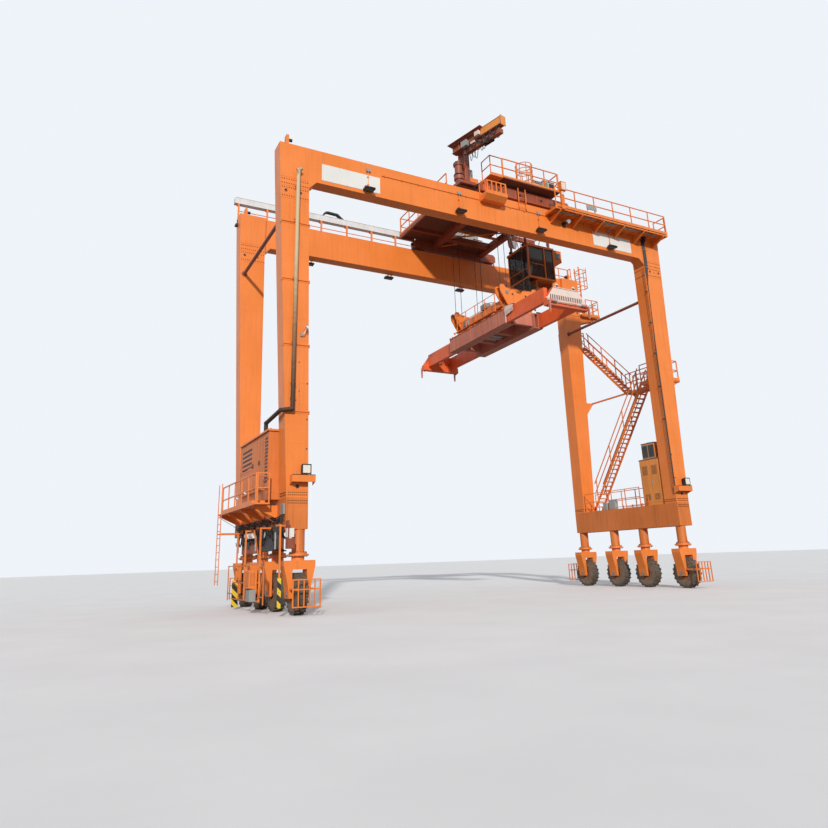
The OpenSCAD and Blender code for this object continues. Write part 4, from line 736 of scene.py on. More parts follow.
def modify(o, kind, **values):
    """Adds a modifier and applies it."""
    take(o)
    m = o.modifiers.new("m", kind)
    for k, v in values.items():
        setattr(m, k, v)
    bpy.ops.object.modifier_apply(modifier=m.name)
    return o


def row(o, count, step):
    """The piece repeated in a straight line."""
    apply_place(o)
    return modify(o, "ARRAY", count=count, use_relative_offset=False, use_constant_offset=True,
                  constant_offset_displace=step)


def ring_of(o, count, centre, axis="Z"):
    """The piece repeated round an axis through centre, joined to one."""
    apply_place(o)
    copies = [o]
    for i in range(1, count):
        c = o.copy()
        c.data = o.data.copy()
        bpy.context.collection.objects.link(c)
        c.matrix_world = (Matrix.Translation(centre) @ Matrix.Rotation(2 * math.pi * i / count, 4, axis)
                          @ Matrix.Translation([-v for v in centre]))
        copies.append(c)
    return joined(copies)


def copy_to(o, shift=(0, 0, 0), mirror=None):
    """Own copy of a piece, moved, or mirrored in a plane through the origin."""
    c = o.copy()
    c.data = o.data.copy()
    bpy.context.collection.objects.link(c)
    if mirror:
        c.scale = [-1 if a in mirror else 1 for a in "XYZ"]
        apply_place(c)
        if len(mirror) % 2:
            take(c)
            bpy.ops.object.mode_set(mode="EDIT")
            bpy.ops.mesh.select_all(action="SELECT")
            bpy.ops.mesh.flip_normals()
            bpy.ops.object.mode_set(mode="OBJECT")
    c.location = shift
    return apply_place(c)


def joined(parts):
    """The parts joined to one object."""
    for p in parts:
        if p.matrix_world != Matrix():
            apply_place(p)
    take(*parts)
    if len(parts) > 1:
        bpy.ops.object.join()
    return bpy.context.object


def mirrored(parts, *planes):
    """The parts joined, and a mirrored copy for each plane or pair of planes."""
    o = joined(parts)
    return [o] + [copy_to(o, mirror=p) for p in planes]


def piece(name, parts, material, body="gantry", slot=None, bevel=0.0, smooth=35):
    """Joins the parts to one named piece with its finish, riding on a body."""
    o = joined(parts if isinstance(parts, (list, tuple)) else [parts])
    apply_place(o)
    o.name = name
    o.data.name = name
    if bevel:
        modify(o, "BEVEL", width=bevel, segments=1, limit_method="ANGLE", angle_limit=math.radians(40))
    take(o)
    if smooth:
        bpy.ops.object.shade_smooth_by_angle(angle=math.radians(smooth))
    o.data.materials.clear()
    o.data.materials.append(MATERIALS[material])
    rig.ride(o, body)
    if slot:
        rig.slot(o, slot)
    return o


def hex_bolts(start, count, step, axis, radius=None, out=0.016):
    """Row of hexagon bolt heads whose axis is the plate's normal."""
    r = radius or sizes().bolt_radius
    return row(disc(start, r, out * 2, axis, 6), count, step)


def leg_out(z):
    """Outer side face of a leg, from the middle, at height z."""
    return LEG_OUT_X + LEG_OUT_SPREAD * (z - LEG_FOOT_Z) / LEG_HEIGHT


def leg_in(z):
    """Inner side face of a leg, from the middle, at height z."""
    return LEG_IN_X + LEG_IN_SPREAD * (z - LEG_FOOT_Z) / LEG_HEIGHT


# ---------------------------------------------------------------- portal frames
NODE_FINISH = {
    "near_girder": "orange", "far_girder": "orange", "near_left_leg": "orange", "near_right_leg": "orange",
    "far_left_leg": "orange", "far_right_leg": "orange", "left_sill": "orange_dirty",
               "right_sill": "orange_dirty",
    "left_tie_pipe": "jib", "right_tie_pipe": "jib", "girder_walkway": "orange", "cable_trough": "trough",
    "energy_chain": "chain", "genset_house": "orange_dirty", "left_access_platform": "orange",
    "girder_rails": "orange", "girder_pulpit": "orange", "middle_landing": "orange",
               "upper_landing": "orange",
    "stair_rails": "orange", "rest_landing": "orange", "ladders": "orange", "deck_rails": "orange",
    "electrical_house": "house", "lower_stair": "orange", "upper_stair": "orange",
    "floodlights": "dark", "trolley_frame": "carriage", "trolley_deck": "deck", "hoist_machinery": "carriage",
    "cab_frame": "orange_dirty", "cab_glazing": "glass", "jib_arm": "jib", "hoist_ropes": "rope",
    "headblock": "orange", "spreader_frame": "pink", "near_telescopic_end": "trolley",
    "far_telescopic_end": "trolley", "near_flippers": "cover", "far_flippers": "cover",
    "left_service_frame": "orange", "guard_posts": "orange", "exhaust_pipe": "exhaust",
}
# Both faces of a leg across the travel, with the side that each looks to
LEG_FACES = ((FACE_Y, 1), (INNER_FACE_Y, -1))
ALL_LEGS = ("X", "Y", "XY")


class CRANE_OT_paint_frame(Operator):
    """Gives every solid of the frame its procedural finish"""
    bl_idname = "crane.paint_frame"
    bl_label = "Frame Finishes"

    def execute(self, context):
        for name, o in frame["nodes"].items():
            if name.startswith("wheel_"):
                m = wheel_material(AXLES[int(name[-1])])
            elif name.startswith("fork_"):
                m = MATERIALS["orange"]
            else:
                m = MATERIALS[NODE_FINISH[name]]
            if not o.material_slots:
                o.data.materials.append(m)
            for s in o.material_slots:
                s.material = m
        return {"FINISHED"}


class CRANE_OT_leg_joints(Operator):
    """Bolted head and foot joints of the four legs with their seams and hand holes"""
    bl_idname = "crane.leg_joints"
    bl_label = "Leg Joints"

    def execute(self, context):
        seams, bolts, holes, rims = [], [], [], []
        for y, out in LEG_FACES:
            for z in (17.77, 17.35, 16.74):
                seams.append(box((leg_in(z) + 0.01, y, z - 0.006),
                                 (leg_out(z) - 0.01, y + out * 0.008, z + 0.006)))
            for z in (17.66, 17.45, 17.25, 16.85):
                step = (leg_out(z) - leg_in(z) - 0.14) / 11
                bolts.append(hex_bolts((leg_in(z) + 0.07, y + out * 0.006, z), 12, (step, 0, 0), "Y"))
            # The dark discs are painted shade inside the hand holes, with rims round them
            for x in (10.42, 11.08):
                holes.append(disc((x, y + out * 0.003, 17.1), 0.062, 0.02, "Y", 28))
                rims.append(disc((x, y + out * 0.006, 17.1), 0.075, 0.012, "Y", 28))
            for z in (4.42, 4.15, 3.87):
                seams.append(box((9.88, y, z - 0.006),
                                 (10.72 if z < 4.2 else leg_out(z) - 0.01, y + out * 0.008, z + 0.006)))
            for z in (4.34, 4.25, 4.04, 3.95):
                bolts.append(hex_bolts((9.94, y + out * 0.006, z), 10, (0.08, 0, 0), "Y"))
        for z in (4.34, 4.25):
            bolts.append(hex_bolts((leg_out(z) + 0.004, 3.17, z), 9, (0, 0.085, 0), "X"))
            bolts.append(hex_bolts((leg_in(z) - 0.004, 3.17, z), 9, (0, 0.085, 0), "X"))
        for z in (17.66, 17.45, 17.25, 16.85):
            bolts.append(hex_bolts((leg_in(z) - 0.004, 3.17, z), 9, (0, 0.085, 0), "X"))
        for key, parts, paint in (("seams", seams, "orange"), ("bolts", bolts, "rust"),
                                  ("holes", holes, "dark"), ("rims", rims, "orange_dirty")):
            piece("leg_joint_" + key, mirrored(parts, *ALL_LEGS), paint)
        return {"FINISHED"}


class CRANE_OT_leg_straps(Operator):
    """Straps round the near left leg that carry the exhaust pipe, and weld seams of the legs and girders"""
    bl_idname = "crane.leg_straps"
    bl_label = "Leg Straps and Seams"

    def execute(self, context):
        parts = []
        for z in (15.62, 13.0, 10.18, 7.44):
            xo, xi = -leg_out(z), -leg_in(z)
            parts.append(box((xo - 0.03, NEAR_Y - 0.05, z - 0.006), (xi + 0.03, NEAR_Y, z + 0.006)))
            parts.append(box((xo - 0.03, NEAR_Y - 0.012, z - 0.07), (xi + 0.03, NEAR_Y, z)))
            for x in (xo - 0.02, xi + 0.02):
                parts.append(box((x - 0.012, NEAR_Y - 0.05, z - 0.09), (x + 0.012, NEAR_Y + 0.06, z + 0.05)))
        piece("near_left_leg_straps", parts, "orange", bevel=0.003)
        seams = []
        for z in (14.1, 11.3, 8.6, 6.2):
            for y, out in LEG_FACES:
                seams.append(box((leg_in(z) + 0.01, y, z - 0.004),
                                 (leg_out(z) - 0.01, y + out * 0.004, z + 0.004)))
        piece("leg_weld_seams", mirrored(seams, *ALL_LEGS), "orange")
        web = []
        for x in (-6.1, -0.4, 5.4):
            web.append(box((x - 0.004, FACE_Y, 17.83), (x + 0.004, 3.920, 19.43)))
            web.append(box((x - 0.004, 3.294, 17.83), (x + 0.004, 3.298, 19.43)))
        piece("girder_weld_seams", mirrored(web, "Y"), "orange")
        return {"FINISHED"}


class CRANE_OT_girder_fittings(Operator):
    """Blank boards, conduit, round lamp and rung ladder on the near girder"""
    bl_idname = "crane.girder_fittings"
    bl_label = "Girder Fittings"

    def execute(self, context):
        y = NEAR_Y
        boards, screws = [], []
        for x0, x1 in ((-9.46, -6.60), (6.36, 9.16)):
            boards.append(box((x0, y - 0.012, 17.99), (x1, y - 0.002, 18.82)))
            for z in (18.04, 18.77):
                screws.append(hex_bolts((x0 + 0.06, y - 0.014, z), 8, ((x1 - x0 - 0.12) / 7, 0, 0), "Y",
                                        0.011, 0.006))
        piece("girder_blank_boards", boards, "white", bevel=0.003)
        piece("girder_board_screws", screws, "steel")
        pipe = [tube(rounded([(-6.5, y - 0.03, 18.96), (3.7, y - 0.03, 19.02)], 0.05), 0.014)]
        for i in range(12):
            pipe.append(box((-6.4 + i * 0.9, y - 0.055, 18.93), (-6.36 + i * 0.9, y, 19.02)))
        pipe.append(tube(rounded([(3.7, y - 0.03, 19.02), (4.3, y - 0.03, 19.02), (4.3, y - 0.03, 18.85)],
                                 0.1), 0.014))
        pipe.append(box((3.66, y - 0.09, 18.95), (3.80, y, 19.10)))
        piece("girder_conduit", pipe, "orange_dirty", bevel=0.002)
        arm = [tube(rounded([(4.3, y, 18.80), (4.3, y - 0.16, 18.80), (4.3, y - 0.24, 18.86)], 0.06), 0.02),
               box((4.22, y - 0.10, 18.62), (4.40, y, 18.86)),
               disc((4.31, y - 0.22, 18.78), 0.07, 0.16, "X", 20)]
        piece("round_lamp_arm", arm, "dark", bevel=0.004)
        piece("round_lamp_globe",
              [ball((4.50, y - 0.24, 18.90), 0.11, 24), disc((4.42, y - 0.24, 18.88), 0.08, 0.06, "X")],
              "white_lamp", slot="lamp_black")
        rungs = [box((x - 0.02, y - 0.09, 19.02), (x + 0.02, y - 0.05, 20.26)) for x in (1.38, 1.84)]
        rungs += [box((x - 0.02, y - 0.09, z), (x + 0.02, y, z + 0.03)) for x in (1.38, 1.84)
                  for z in (19.06, 19.40)]
        rungs.append(row(disc((1.61, y - 0.07, 19.16), 0.012, 0.46, "X", 8), 4, (0, 0, 0.28)))
        piece("girder_rung_ladder", rungs, "orange")
        return {"FINISHED"}


def hanging_floodlight(x, y, out, low=0.0):
    """Wedge floodlight on a thin rod, with its junction box above; out is the side it hangs on."""
    shade = [plate([(y + out * 0.05, 18.02 - low), (y + out * 0.32, 18.06 - low),
                    (y + out * 0.38, 17.98 - low),
                    (y + out * 0.34, 17.93 - low), (y + out * 0.05, 17.95 - low)], "X", x - 0.25, x + 0.25)]
    for i in range(6):
        shade.append(box((x - 0.22 + i * 0.085, y + out * 0.10, 18.03 - low),
                         (x - 0.21 + i * 0.085, y + out * 0.26, 18.09 - low)))
    rod = [tube([(x + 0.02, y + out * 0.07, 18.0 - low), (x + 0.02, y + out * 0.07, 19.02)], 0.014),
           box((x - 0.12, y + out * 0.04, 17.98 - low), (x - 0.08, y + out * 0.12, 18.14 - low)),
           box((x + 0.08, y + out * 0.04, 17.98 - low), (x + 0.12, y + out * 0.12, 18.14 - low))]
    for z in (18.3, 18.7):
        rod.append(box((x - 0.02, y, z - 0.015), (x + 0.06, y + out * 0.08, z + 0.015)))
    lens = box((x - 0.22, y + out * 0.06, 17.925 - low), (x + 0.22, y + out * 0.33, 17.935 - low))
    case = boxes((x - 0.06, y, 18.98, x + 0.14, y + out * 0.1, 19.14),
                 (x + 0.01, y + out * 0.03, 18.94, x + 0.04, y + out * 0.07, 18.99))
    return shade, rod, lens, case


class CRANE_OT_girder_floodlights(Operator):
    """Floodlights that hang outside both girders"""
    bl_idname = "crane.girder_floodlights"
    bl_label = "Girder Floodlights"

    def execute(self, context):
        shades, rods, lenses, cases = [], [], [], []
        for y, out in ((NEAR_Y, -1), (FACE_Y, 1)):
            for x in (-7.24, -2.32, 2.59, 7.5):
                shade, rod, lens, case = hanging_floodlight(x, y, out, 0.27 if out > 0 else 0.0)
                shades += shade
                rods += rod
                lenses.append(lens)
                cases += case
        piece("girder_lamp_shades", shades, "dark", bevel=0.004)
        piece("girder_lamp_rods", rods, "orange")
        piece("girder_lamp_lenses", lenses, "dim_lens", slot="lamp_black", bevel=0.002)
        piece("girder_lamp_junction_boxes", cases, "grey", bevel=0.006)
        return {"FINISHED"}


def big_floodlight(x, y, z):
    """Square floodlight with cooling fins and a bracket, facing the near side."""
    body = boxes((x - 0.17, y, z - 0.17, x + 0.17, y + 0.16, z + 0.17),
                 (x - 0.19, y - 0.02, z - 0.19, x + 0.19, y + 0.01, z + 0.19))
    for i in range(7):
        body.append(box((x - 0.15 + i * 0.05, y + 0.15, z - 0.15),
                        (x - 0.142 + i * 0.05, y + 0.22, z + 0.15)))
    for s in (-1, 1):
        body.append(box((x + s * 0.19 - 0.008, y + 0.02, z - 0.20),
                        (x + s * 0.19 + 0.008, y + 0.08, z + 0.03)))
    body.append(box((x - 0.19, y + 0.02, z - 0.212), (x + 0.19, y + 0.08, z - 0.20)))
    lens = box((x - 0.145, y - 0.026, z - 0.145), (x + 0.145, y - 0.018, z + 0.145))
    return body, lens


class CRANE_OT_leg_fittings(Operator):
    """Floodlights, camera, conduits, hand holes and cables of the near legs, and the far girder's end lamp"""
    bl_idname = "crane.leg_fittings"
    bl_label = "Leg Fittings"

    def execute(self, context):
        y = NEAR_Y
        shelves, lamps, lenses = [], [], []
        for m in (-1, 1):
            x0, x1 = (-10.62, -9.70) if m < 0 else (9.78, 10.76)
            shelves.append(box((x0, y - 0.34, 4.95), (x1, y, 4.98)))
            shelves.append(box((x0, y - 0.34, 4.70), (x1, y - 0.32, 4.98)))
            shelves.append(plate([(y, 4.60), (y, 4.96), (y - 0.33, 4.96), (y - 0.33, 4.72)], "X", x0,
                                 x0 + 0.015))
            shelves.append(plate([(y, 4.60), (y, 4.96), (y - 0.33, 4.96), (y - 0.33, 4.72)], "X",
                                 x1 - 0.015, x1))
            lamp, lens = big_floodlight(-10.04 if m < 0 else 10.56, y - 0.26, 5.19)
            lamps += lamp
            lenses.append(lens)
        piece("leg_lamp_shelves", shelves, "orange", bevel=0.004)
        piece("leg_floodlights", lamps, "dark", bevel=0.004)
        piece("leg_floodlight_lenses", lenses, "lens", slot="lamp_black")
        small = [disc((-10.42, y - 0.14, 5.03), 0.035, 0.10, "Z", 20), ball((-10.42, y - 0.14, 5.09), 0.035)]
        piece("leg_beacon", small, "grey")
        cam = [disc((-10.10, y - 0.24, 10.86), 0.055, 0.24, "Y", 20),
               box((-10.17, y - 0.30, 10.90), (-10.03, y - 0.08, 10.93)),
               tube(rounded([(-10.22, y, 10.60), (-10.22, y - 0.16, 10.60), (-10.13, y - 0.2, 10.80)],
                            0.06), 0.018)]
        piece("leg_camera", cam, "white", bevel=0.003)
        run = [tube([(-10.36 + 0.026 * (10.4 - z), y - 0.015, z) for z in (10.4, 9.46, 8.27, 7.3)], 0.009),
               box((-10.31, y - 0.06, 10.55), (-10.21, y, 10.70))]
        piece("leg_camera_conduit", run, "grey", bevel=0.002)
        far = boxes((-11.52, 3.58, 18.96, -11.28, 3.84, 19.07), (-11.42, 3.68, 19.07, -11.38, 3.74, 19.30),
                    (-11.42, 3.68, 19.28, -11.10, 3.74, 19.32))
        piece("far_girder_end_lamp", far, "dark", bevel=0.004)
        hand = [disc((s * 10.31, y - 0.004, 4.56 if s < 0 else 4.60), 0.075, 0.014, "Y", 28) for s in (-1, 1)]
        piece("leg_hand_hole_covers", hand, "dark", bevel=0.004)
        dots = [disc((x, y - 0.006, z), 0.028, 0.016, "Y", 14) for x, z in
                ((-9.98, 7.15), (-9.96, 6.0), (-9.98, 8.6), (-10.335, 9.46), (-10.305, 8.27), (9.98, 6.6),
                 (9.99, 5.4), (10.75, 17.07))]
        piece("leg_tie_lugs", dots, "dark")
        lugs = []
        for z in (15.8, 13.95, 12.16, 10.29, 8.49):
            lugs.append(box((leg_in(z) - 0.12, y + 0.02, z - 0.02), (leg_in(z), y + 0.08, z + 0.02)))
        piece("right_leg_conduit_clamps", lugs, "dark", bevel=0.003)
        thin = [tube([(leg_in(z) - 0.07, y + 0.05, z)
                      for z in (17.2, 15.8, 13.95, 12.16, 10.29, 8.49, 6.4, 4.7)], 0.014)]
        piece("right_leg_conduit", thin, "rust")
        n = sizes().cable_count
        bundle = []
        for i in range(n):
            dx = (i - n / 2) * 0.032
            path = [(10.12 + dx, y - 0.03, 19.30), (10.20 + dx, y - 0.035, 18.3),
                    (10.16 + dx, y - 0.035, 17.2),
                    (leg_in(16.2) + 0.03 + abs(dx) * 0.4, y - 0.03, 16.2)]
            if i < 2:
                path += [(leg_in(12.0) - 0.02 + 0.03 * i, y - 0.02, 12.0),
                         (leg_in(4.6) - 0.02 + 0.03 * i, y - 0.02, 4.6)]
            bundle.append(tube(rounded(path, 0.6), 0.017, 6))
        piece("right_leg_cable_bundle", bundle, "cable")
        ties = [box((10.04, y - 0.06, z), (10.34, y - 0.005, z + 0.02)) for z in (17.3, 18.4)]
        piece("right_leg_cable_ties", ties, "grey")
        knot = [ball((10.16, y - 0.12, 19.22), 0.16, 12), disc((10.16, y - 0.10, 19.02), 0.10, 0.3, "Z", 14)]
        for a in range(5):
            knot.append(tube(sagging((9.95, y - 0.1, 19.34), (10.4, y - 0.1, 19.30), 0.15 + a * 0.05),
                             0.018, 6))
        piece("right_leg_cable_head", knot, "cable")
        return {"FINISHED"}


# ---------------------------------------------------------------- generator side
class CRANE_OT_genset_fittings(Operator):
    """Louvres, door frames and handles, roof trim, rivets and feet of the generator house"""
    bl_idname = "crane.genset_fittings"
    bl_label = "Generator House Fittings"

    def execute(self, context):
        x = -11.2
        blades, back = [], []
        for i in range(5):
            z = 6.41 - i * 0.19
            blades.append(box((x - 0.022, -0.50, z + 0.078), (x + 0.002, 1.07, z + 0.086)))
            back.append(box((x - 0.003, -0.49, z - 0.004 if i < 4 else z + 0.045),
                            (x + 0.004, 1.06, z + 0.074)))
        for i in range(13):
            z = 6.50 - i * 0.14
            blades.append(box((x - 0.018, -2.89, z + 0.074), (x + 0.002, -2.53, z + 0.080)))
            back.append(box((x - 0.003, -2.885, z - 0.004), (x + 0.004, -2.535, z + 0.072)))
        piece("genset_louvre_blades", blades, "orange_dirty")
        piece("genset_louvre_shadows", back, "dark")
        trim = []
        for y0, y1, z0, z1 in ((-2.46, -1.60, 4.70, 6.74), (-1.56, -0.62, 4.70, 6.74),
                               (-0.58, 1.38, 4.70, 5.58)):
            for a, b in (((y0, z0), (y1, z0 + 0.014)), ((y0, z1 - 0.014), (y1, z1)),
                         ((y0, z0), (y0 + 0.014, z1)),
                         ((y1 - 0.014, z0), (y1, z1))):
                trim.append(box((x - 0.012, a[0], a[1]), (x, b[0], b[1])))
            for z in (z0 + 0.25, z1 - 0.25):
                trim.append(disc((x - 0.014, y0 + 0.004, z), 0.014, 0.12, "Z", 10))
        for y0, y1 in ((-2.9, -1.6), (-1.55, 0.0), (0.05, 1.35)):
            trim.append(box((x - 0.008, y0, 4.17), (x, y1, 4.20)))
        piece("genset_door_frames", trim, "orange_dirty", bevel=0.002)
        grips = []
        for y in (-1.70, -0.72):
            grips.append(box((x - 0.02, y - 0.04, 5.62), (x, y + 0.04, 5.80)))
            grips.append(tube(rounded([(x - 0.02, y, 5.65), (x - 0.05, y, 5.65), (x - 0.05, y, 5.77),
                                       (x - 0.02, y, 5.77)],
                                      0.02), 0.009))
        piece("genset_door_handles", grips, "dark", bevel=0.002)
        rim = boxes((-11.265, -3.065, 6.845, -9.805, 1.515, 6.87),
                    (-11.27, -3.07, 6.80, -11.255, 1.52, 6.87), (-11.27, -3.07, 6.80, -9.80, -3.055, 6.87))
        for y in (-2.7, -0.75, 1.2):
            for xx in (-11.05, -10.0):
                eye = tube([(xx + 0.05 * math.cos(a), y, 6.92 + 0.05 * math.sin(a)) for a in
                            [i * math.pi / 8 for i in range(16)]], 0.012, 6, True)
                rim.append(eye)
                rim.append(box((xx - 0.06, y - 0.02, 6.865), (xx + 0.06, y + 0.02, 6.885)))
        rim += [box((-11.0, y, 6.875), (-10.05, y + 0.03, 6.892)) for y in (-2.2, -1.3, -0.2, 0.6)]
        piece("genset_roof_trim", rim, "orange", bevel=0.002)
        rivets = []
        for z in (4.66, 6.79):
            rivets.append(row(disc((x - 0.003, -2.95, z), 0.009, 0.01, "X", 8), 36, (0, 0.124, 0)))
        for y in (-2.965, 1.415):
            rivets.append(row(disc((x - 0.003, y, 4.78), 0.009, 0.01, "X", 8), 16, (0, 0, 0.13)))
        for xx in (-11.16, -9.9):
            rivets.append(row(disc((xx, -3.003, 4.70), 0.009, 0.01, "Y", 8), 17, (0, 0, 0.125)))
        piece("genset_rivets", rivets, "orange_dirty")
        feet = [box((xx - 0.12, y - 0.16, 4.152), (xx + 0.12, y + 0.16, 4.172)) for xx in (-10.6, -10.0)
                for y in (-2.85, 1.3)]
        feet += [hex_bolts((xx - 0.07, y - 0.1, 4.18), 3, (0.07, 0, 0), "Z", 0.018) for xx in (-10.6, -10.0)
                 for y in (-2.85, 1.3)]
        feet.append(box((-11.10, -3.01, 4.40), (-9.9, -3.0, 4.44)))
        piece("genset_feet", feet, "orange_dirty")
        return {"FINISHED"}


class CRANE_OT_exhaust_fittings(Operator):
    """Clamps and flanges of the exhaust pipe"""
    bl_idname = "crane.exhaust_fittings"
    bl_label = "Exhaust Fittings"

    def execute(self, context):
        r = sizes().exhaust_radius
        pipe_x, pipe_y = -10.605, -4.05
        clamps, bolts = [], []
        for z in (17.3, 15.72, 13.02, 10.22, 7.95):
            clamps.append(disc((pipe_x, pipe_y, z), r + 0.012, 0.06, "Z", 20))
            clamps.append(box((-10.63, -4.0, z - 0.03), (-10.58, NEAR_Y, z + 0.03)))
            for s in (-1, 1):
                ear = pipe_x + s * (r + 0.03)
                clamps.append(box((ear - 0.025, -4.06, z - 0.025), (ear + 0.025, -4.035, z + 0.025)))
                bolts.append(disc((pipe_x + s * (r + 0.035), -4.06, z), 0.012, 0.035, "Y", 6))
        piece("exhaust_clamps", clamps, "orange_dirty", bevel=0.003)
        piece("exhaust_clamp_bolts", bolts, "rust")
        flange = [disc((-10.45, -2.45, 6.93), r + 0.06, 0.03, "Z", 24),
                  disc((pipe_x, pipe_y, 8.5), r + 0.03, 0.03, "Z", 24),
                  disc((pipe_x, pipe_y, 8.54), r + 0.03, 0.03, "Z", 24),
                  ring_of(disc((-10.45 + r + 0.035, -2.45, 6.955), 0.012, 0.03, "Z", 6), 6,
                          (-10.45, -2.45, 0))]
        piece("exhaust_flanges", flange, "rust", bevel=0.002)
        return {"FINISHED"}


class CRANE_OT_left_platform_fittings(Operator):
    """Grating, kick boards, lamps and braces of the side platform, and the cables of the left sill"""
    bl_idname = "crane.left_platform_fittings"
    bl_label = "Side Platform Fittings"

    def execute(self, context):
        floor = box((-11.72, -2.86, 4.002), (-11.24, 2.96, 4.016))
        piece("left_platform_grating", floor, "grating", slot="galvanised_steel")
        rail = boxes((-11.765, -2.9, 4.0, -11.757, 2.15, 4.12), (-11.765, -2.905, 4.0, -11.25, -2.897, 4.12))
        for y in (-2.88, -1.87, -0.86, 0.15, 1.15, 2.13):
            rail.append(box((-11.77, y - 0.05, 3.93), (-11.755, y + 0.05, 4.03)))
        for s in (0.55, 1.1):
            rail.append(tube([(-11.735, -2.875, 3.97 + s), (-11.24, -2.875, 3.97 + s)], 0.02))
        piece("left_platform_kick_boards", rail, "orange", bevel=0.002)
        lamps, arms = [], []
        for y, z in ((-1.70, 4.50), (-0.40, 4.42)):
            arms.append(tube(rounded([(-11.735, y - 0.25, z + 0.02), (-11.755, y - 0.1, z + 0.04),
                                      (-11.735, y, z)], 0.05), 0.018))
            arms.append(disc((-11.735, y, z), 0.052, 0.12, "Y", 16))
            lamps.append(disc((-11.735, y - 0.075, z), 0.048, 0.04, "Y", 16))
        piece("left_platform_lamp_bodies", arms, "grey", bevel=0.002)
        piece("left_platform_lamps", lamps, "white_lamp", slot="lamp_black")
        braces = []
        for y in (-2.7, -0.9, 1.1, 2.8):
            braces.append(bar_between((-11.70, y + 0.05, 3.86), (-10.76, y + 0.05, 3.30), 0.05, 0.012))
        piece("left_platform_braces", braces, "orange_dirty")
        hoses = []
        rnd = random.Random(7)
        for i in range(9):
            y = -3.0 + i * 0.62
            a = (-10.78, y, 3.30 - rnd.random() * 0.2)
            b = (-10.80, y + 0.5 + rnd.random() * 0.5, 3.15 - rnd.random() * 0.2)
            hoses.append(tube(sagging(a, b, 0.10 + rnd.random() * 0.15, 14), 0.014 + 0.004 * (i % 3), 7))
        piece("left_sill_hoses", hoses, "cable")
        rails = boxes((-10.765, -3.7, 3.34, -10.735, 3.5, 3.40), (-10.765, -3.7, 3.16, -10.735, 3.5, 3.19))
        rails += [box((-10.79, -3.3 + i * 0.9, 3.10), (-10.73, -3.22 + i * 0.9, 3.44)) for i in range(8)]
        piece("left_sill_cable_ladder", rails, "rust", bevel=0.003)
        junction = box((-10.80, NEAR_Y + 0.10, 3.55), (-10.73, NEAR_Y + 0.45, 3.95))
        piece("left_sill_junction_box", junction, "grey", bevel=0.008)
        drop = []
        for i in range(6):
            drop.append(tube(rounded([(-10.80, NEAR_Y + 0.16 + i * 0.045, 3.56),
                                      (-10.82, NEAR_Y + 0.18 + i * 0.04, 3.1),
                                      (-10.70 - i * 0.01, NEAR_Y + 0.3 + i * 0.05, 2.75),
                                      (-10.42, NEAR_Y + 0.3, 2.60)], 0.2),
                             0.015, 7))
        piece("left_column_cables", drop, "cable")
        return {"FINISHED"}


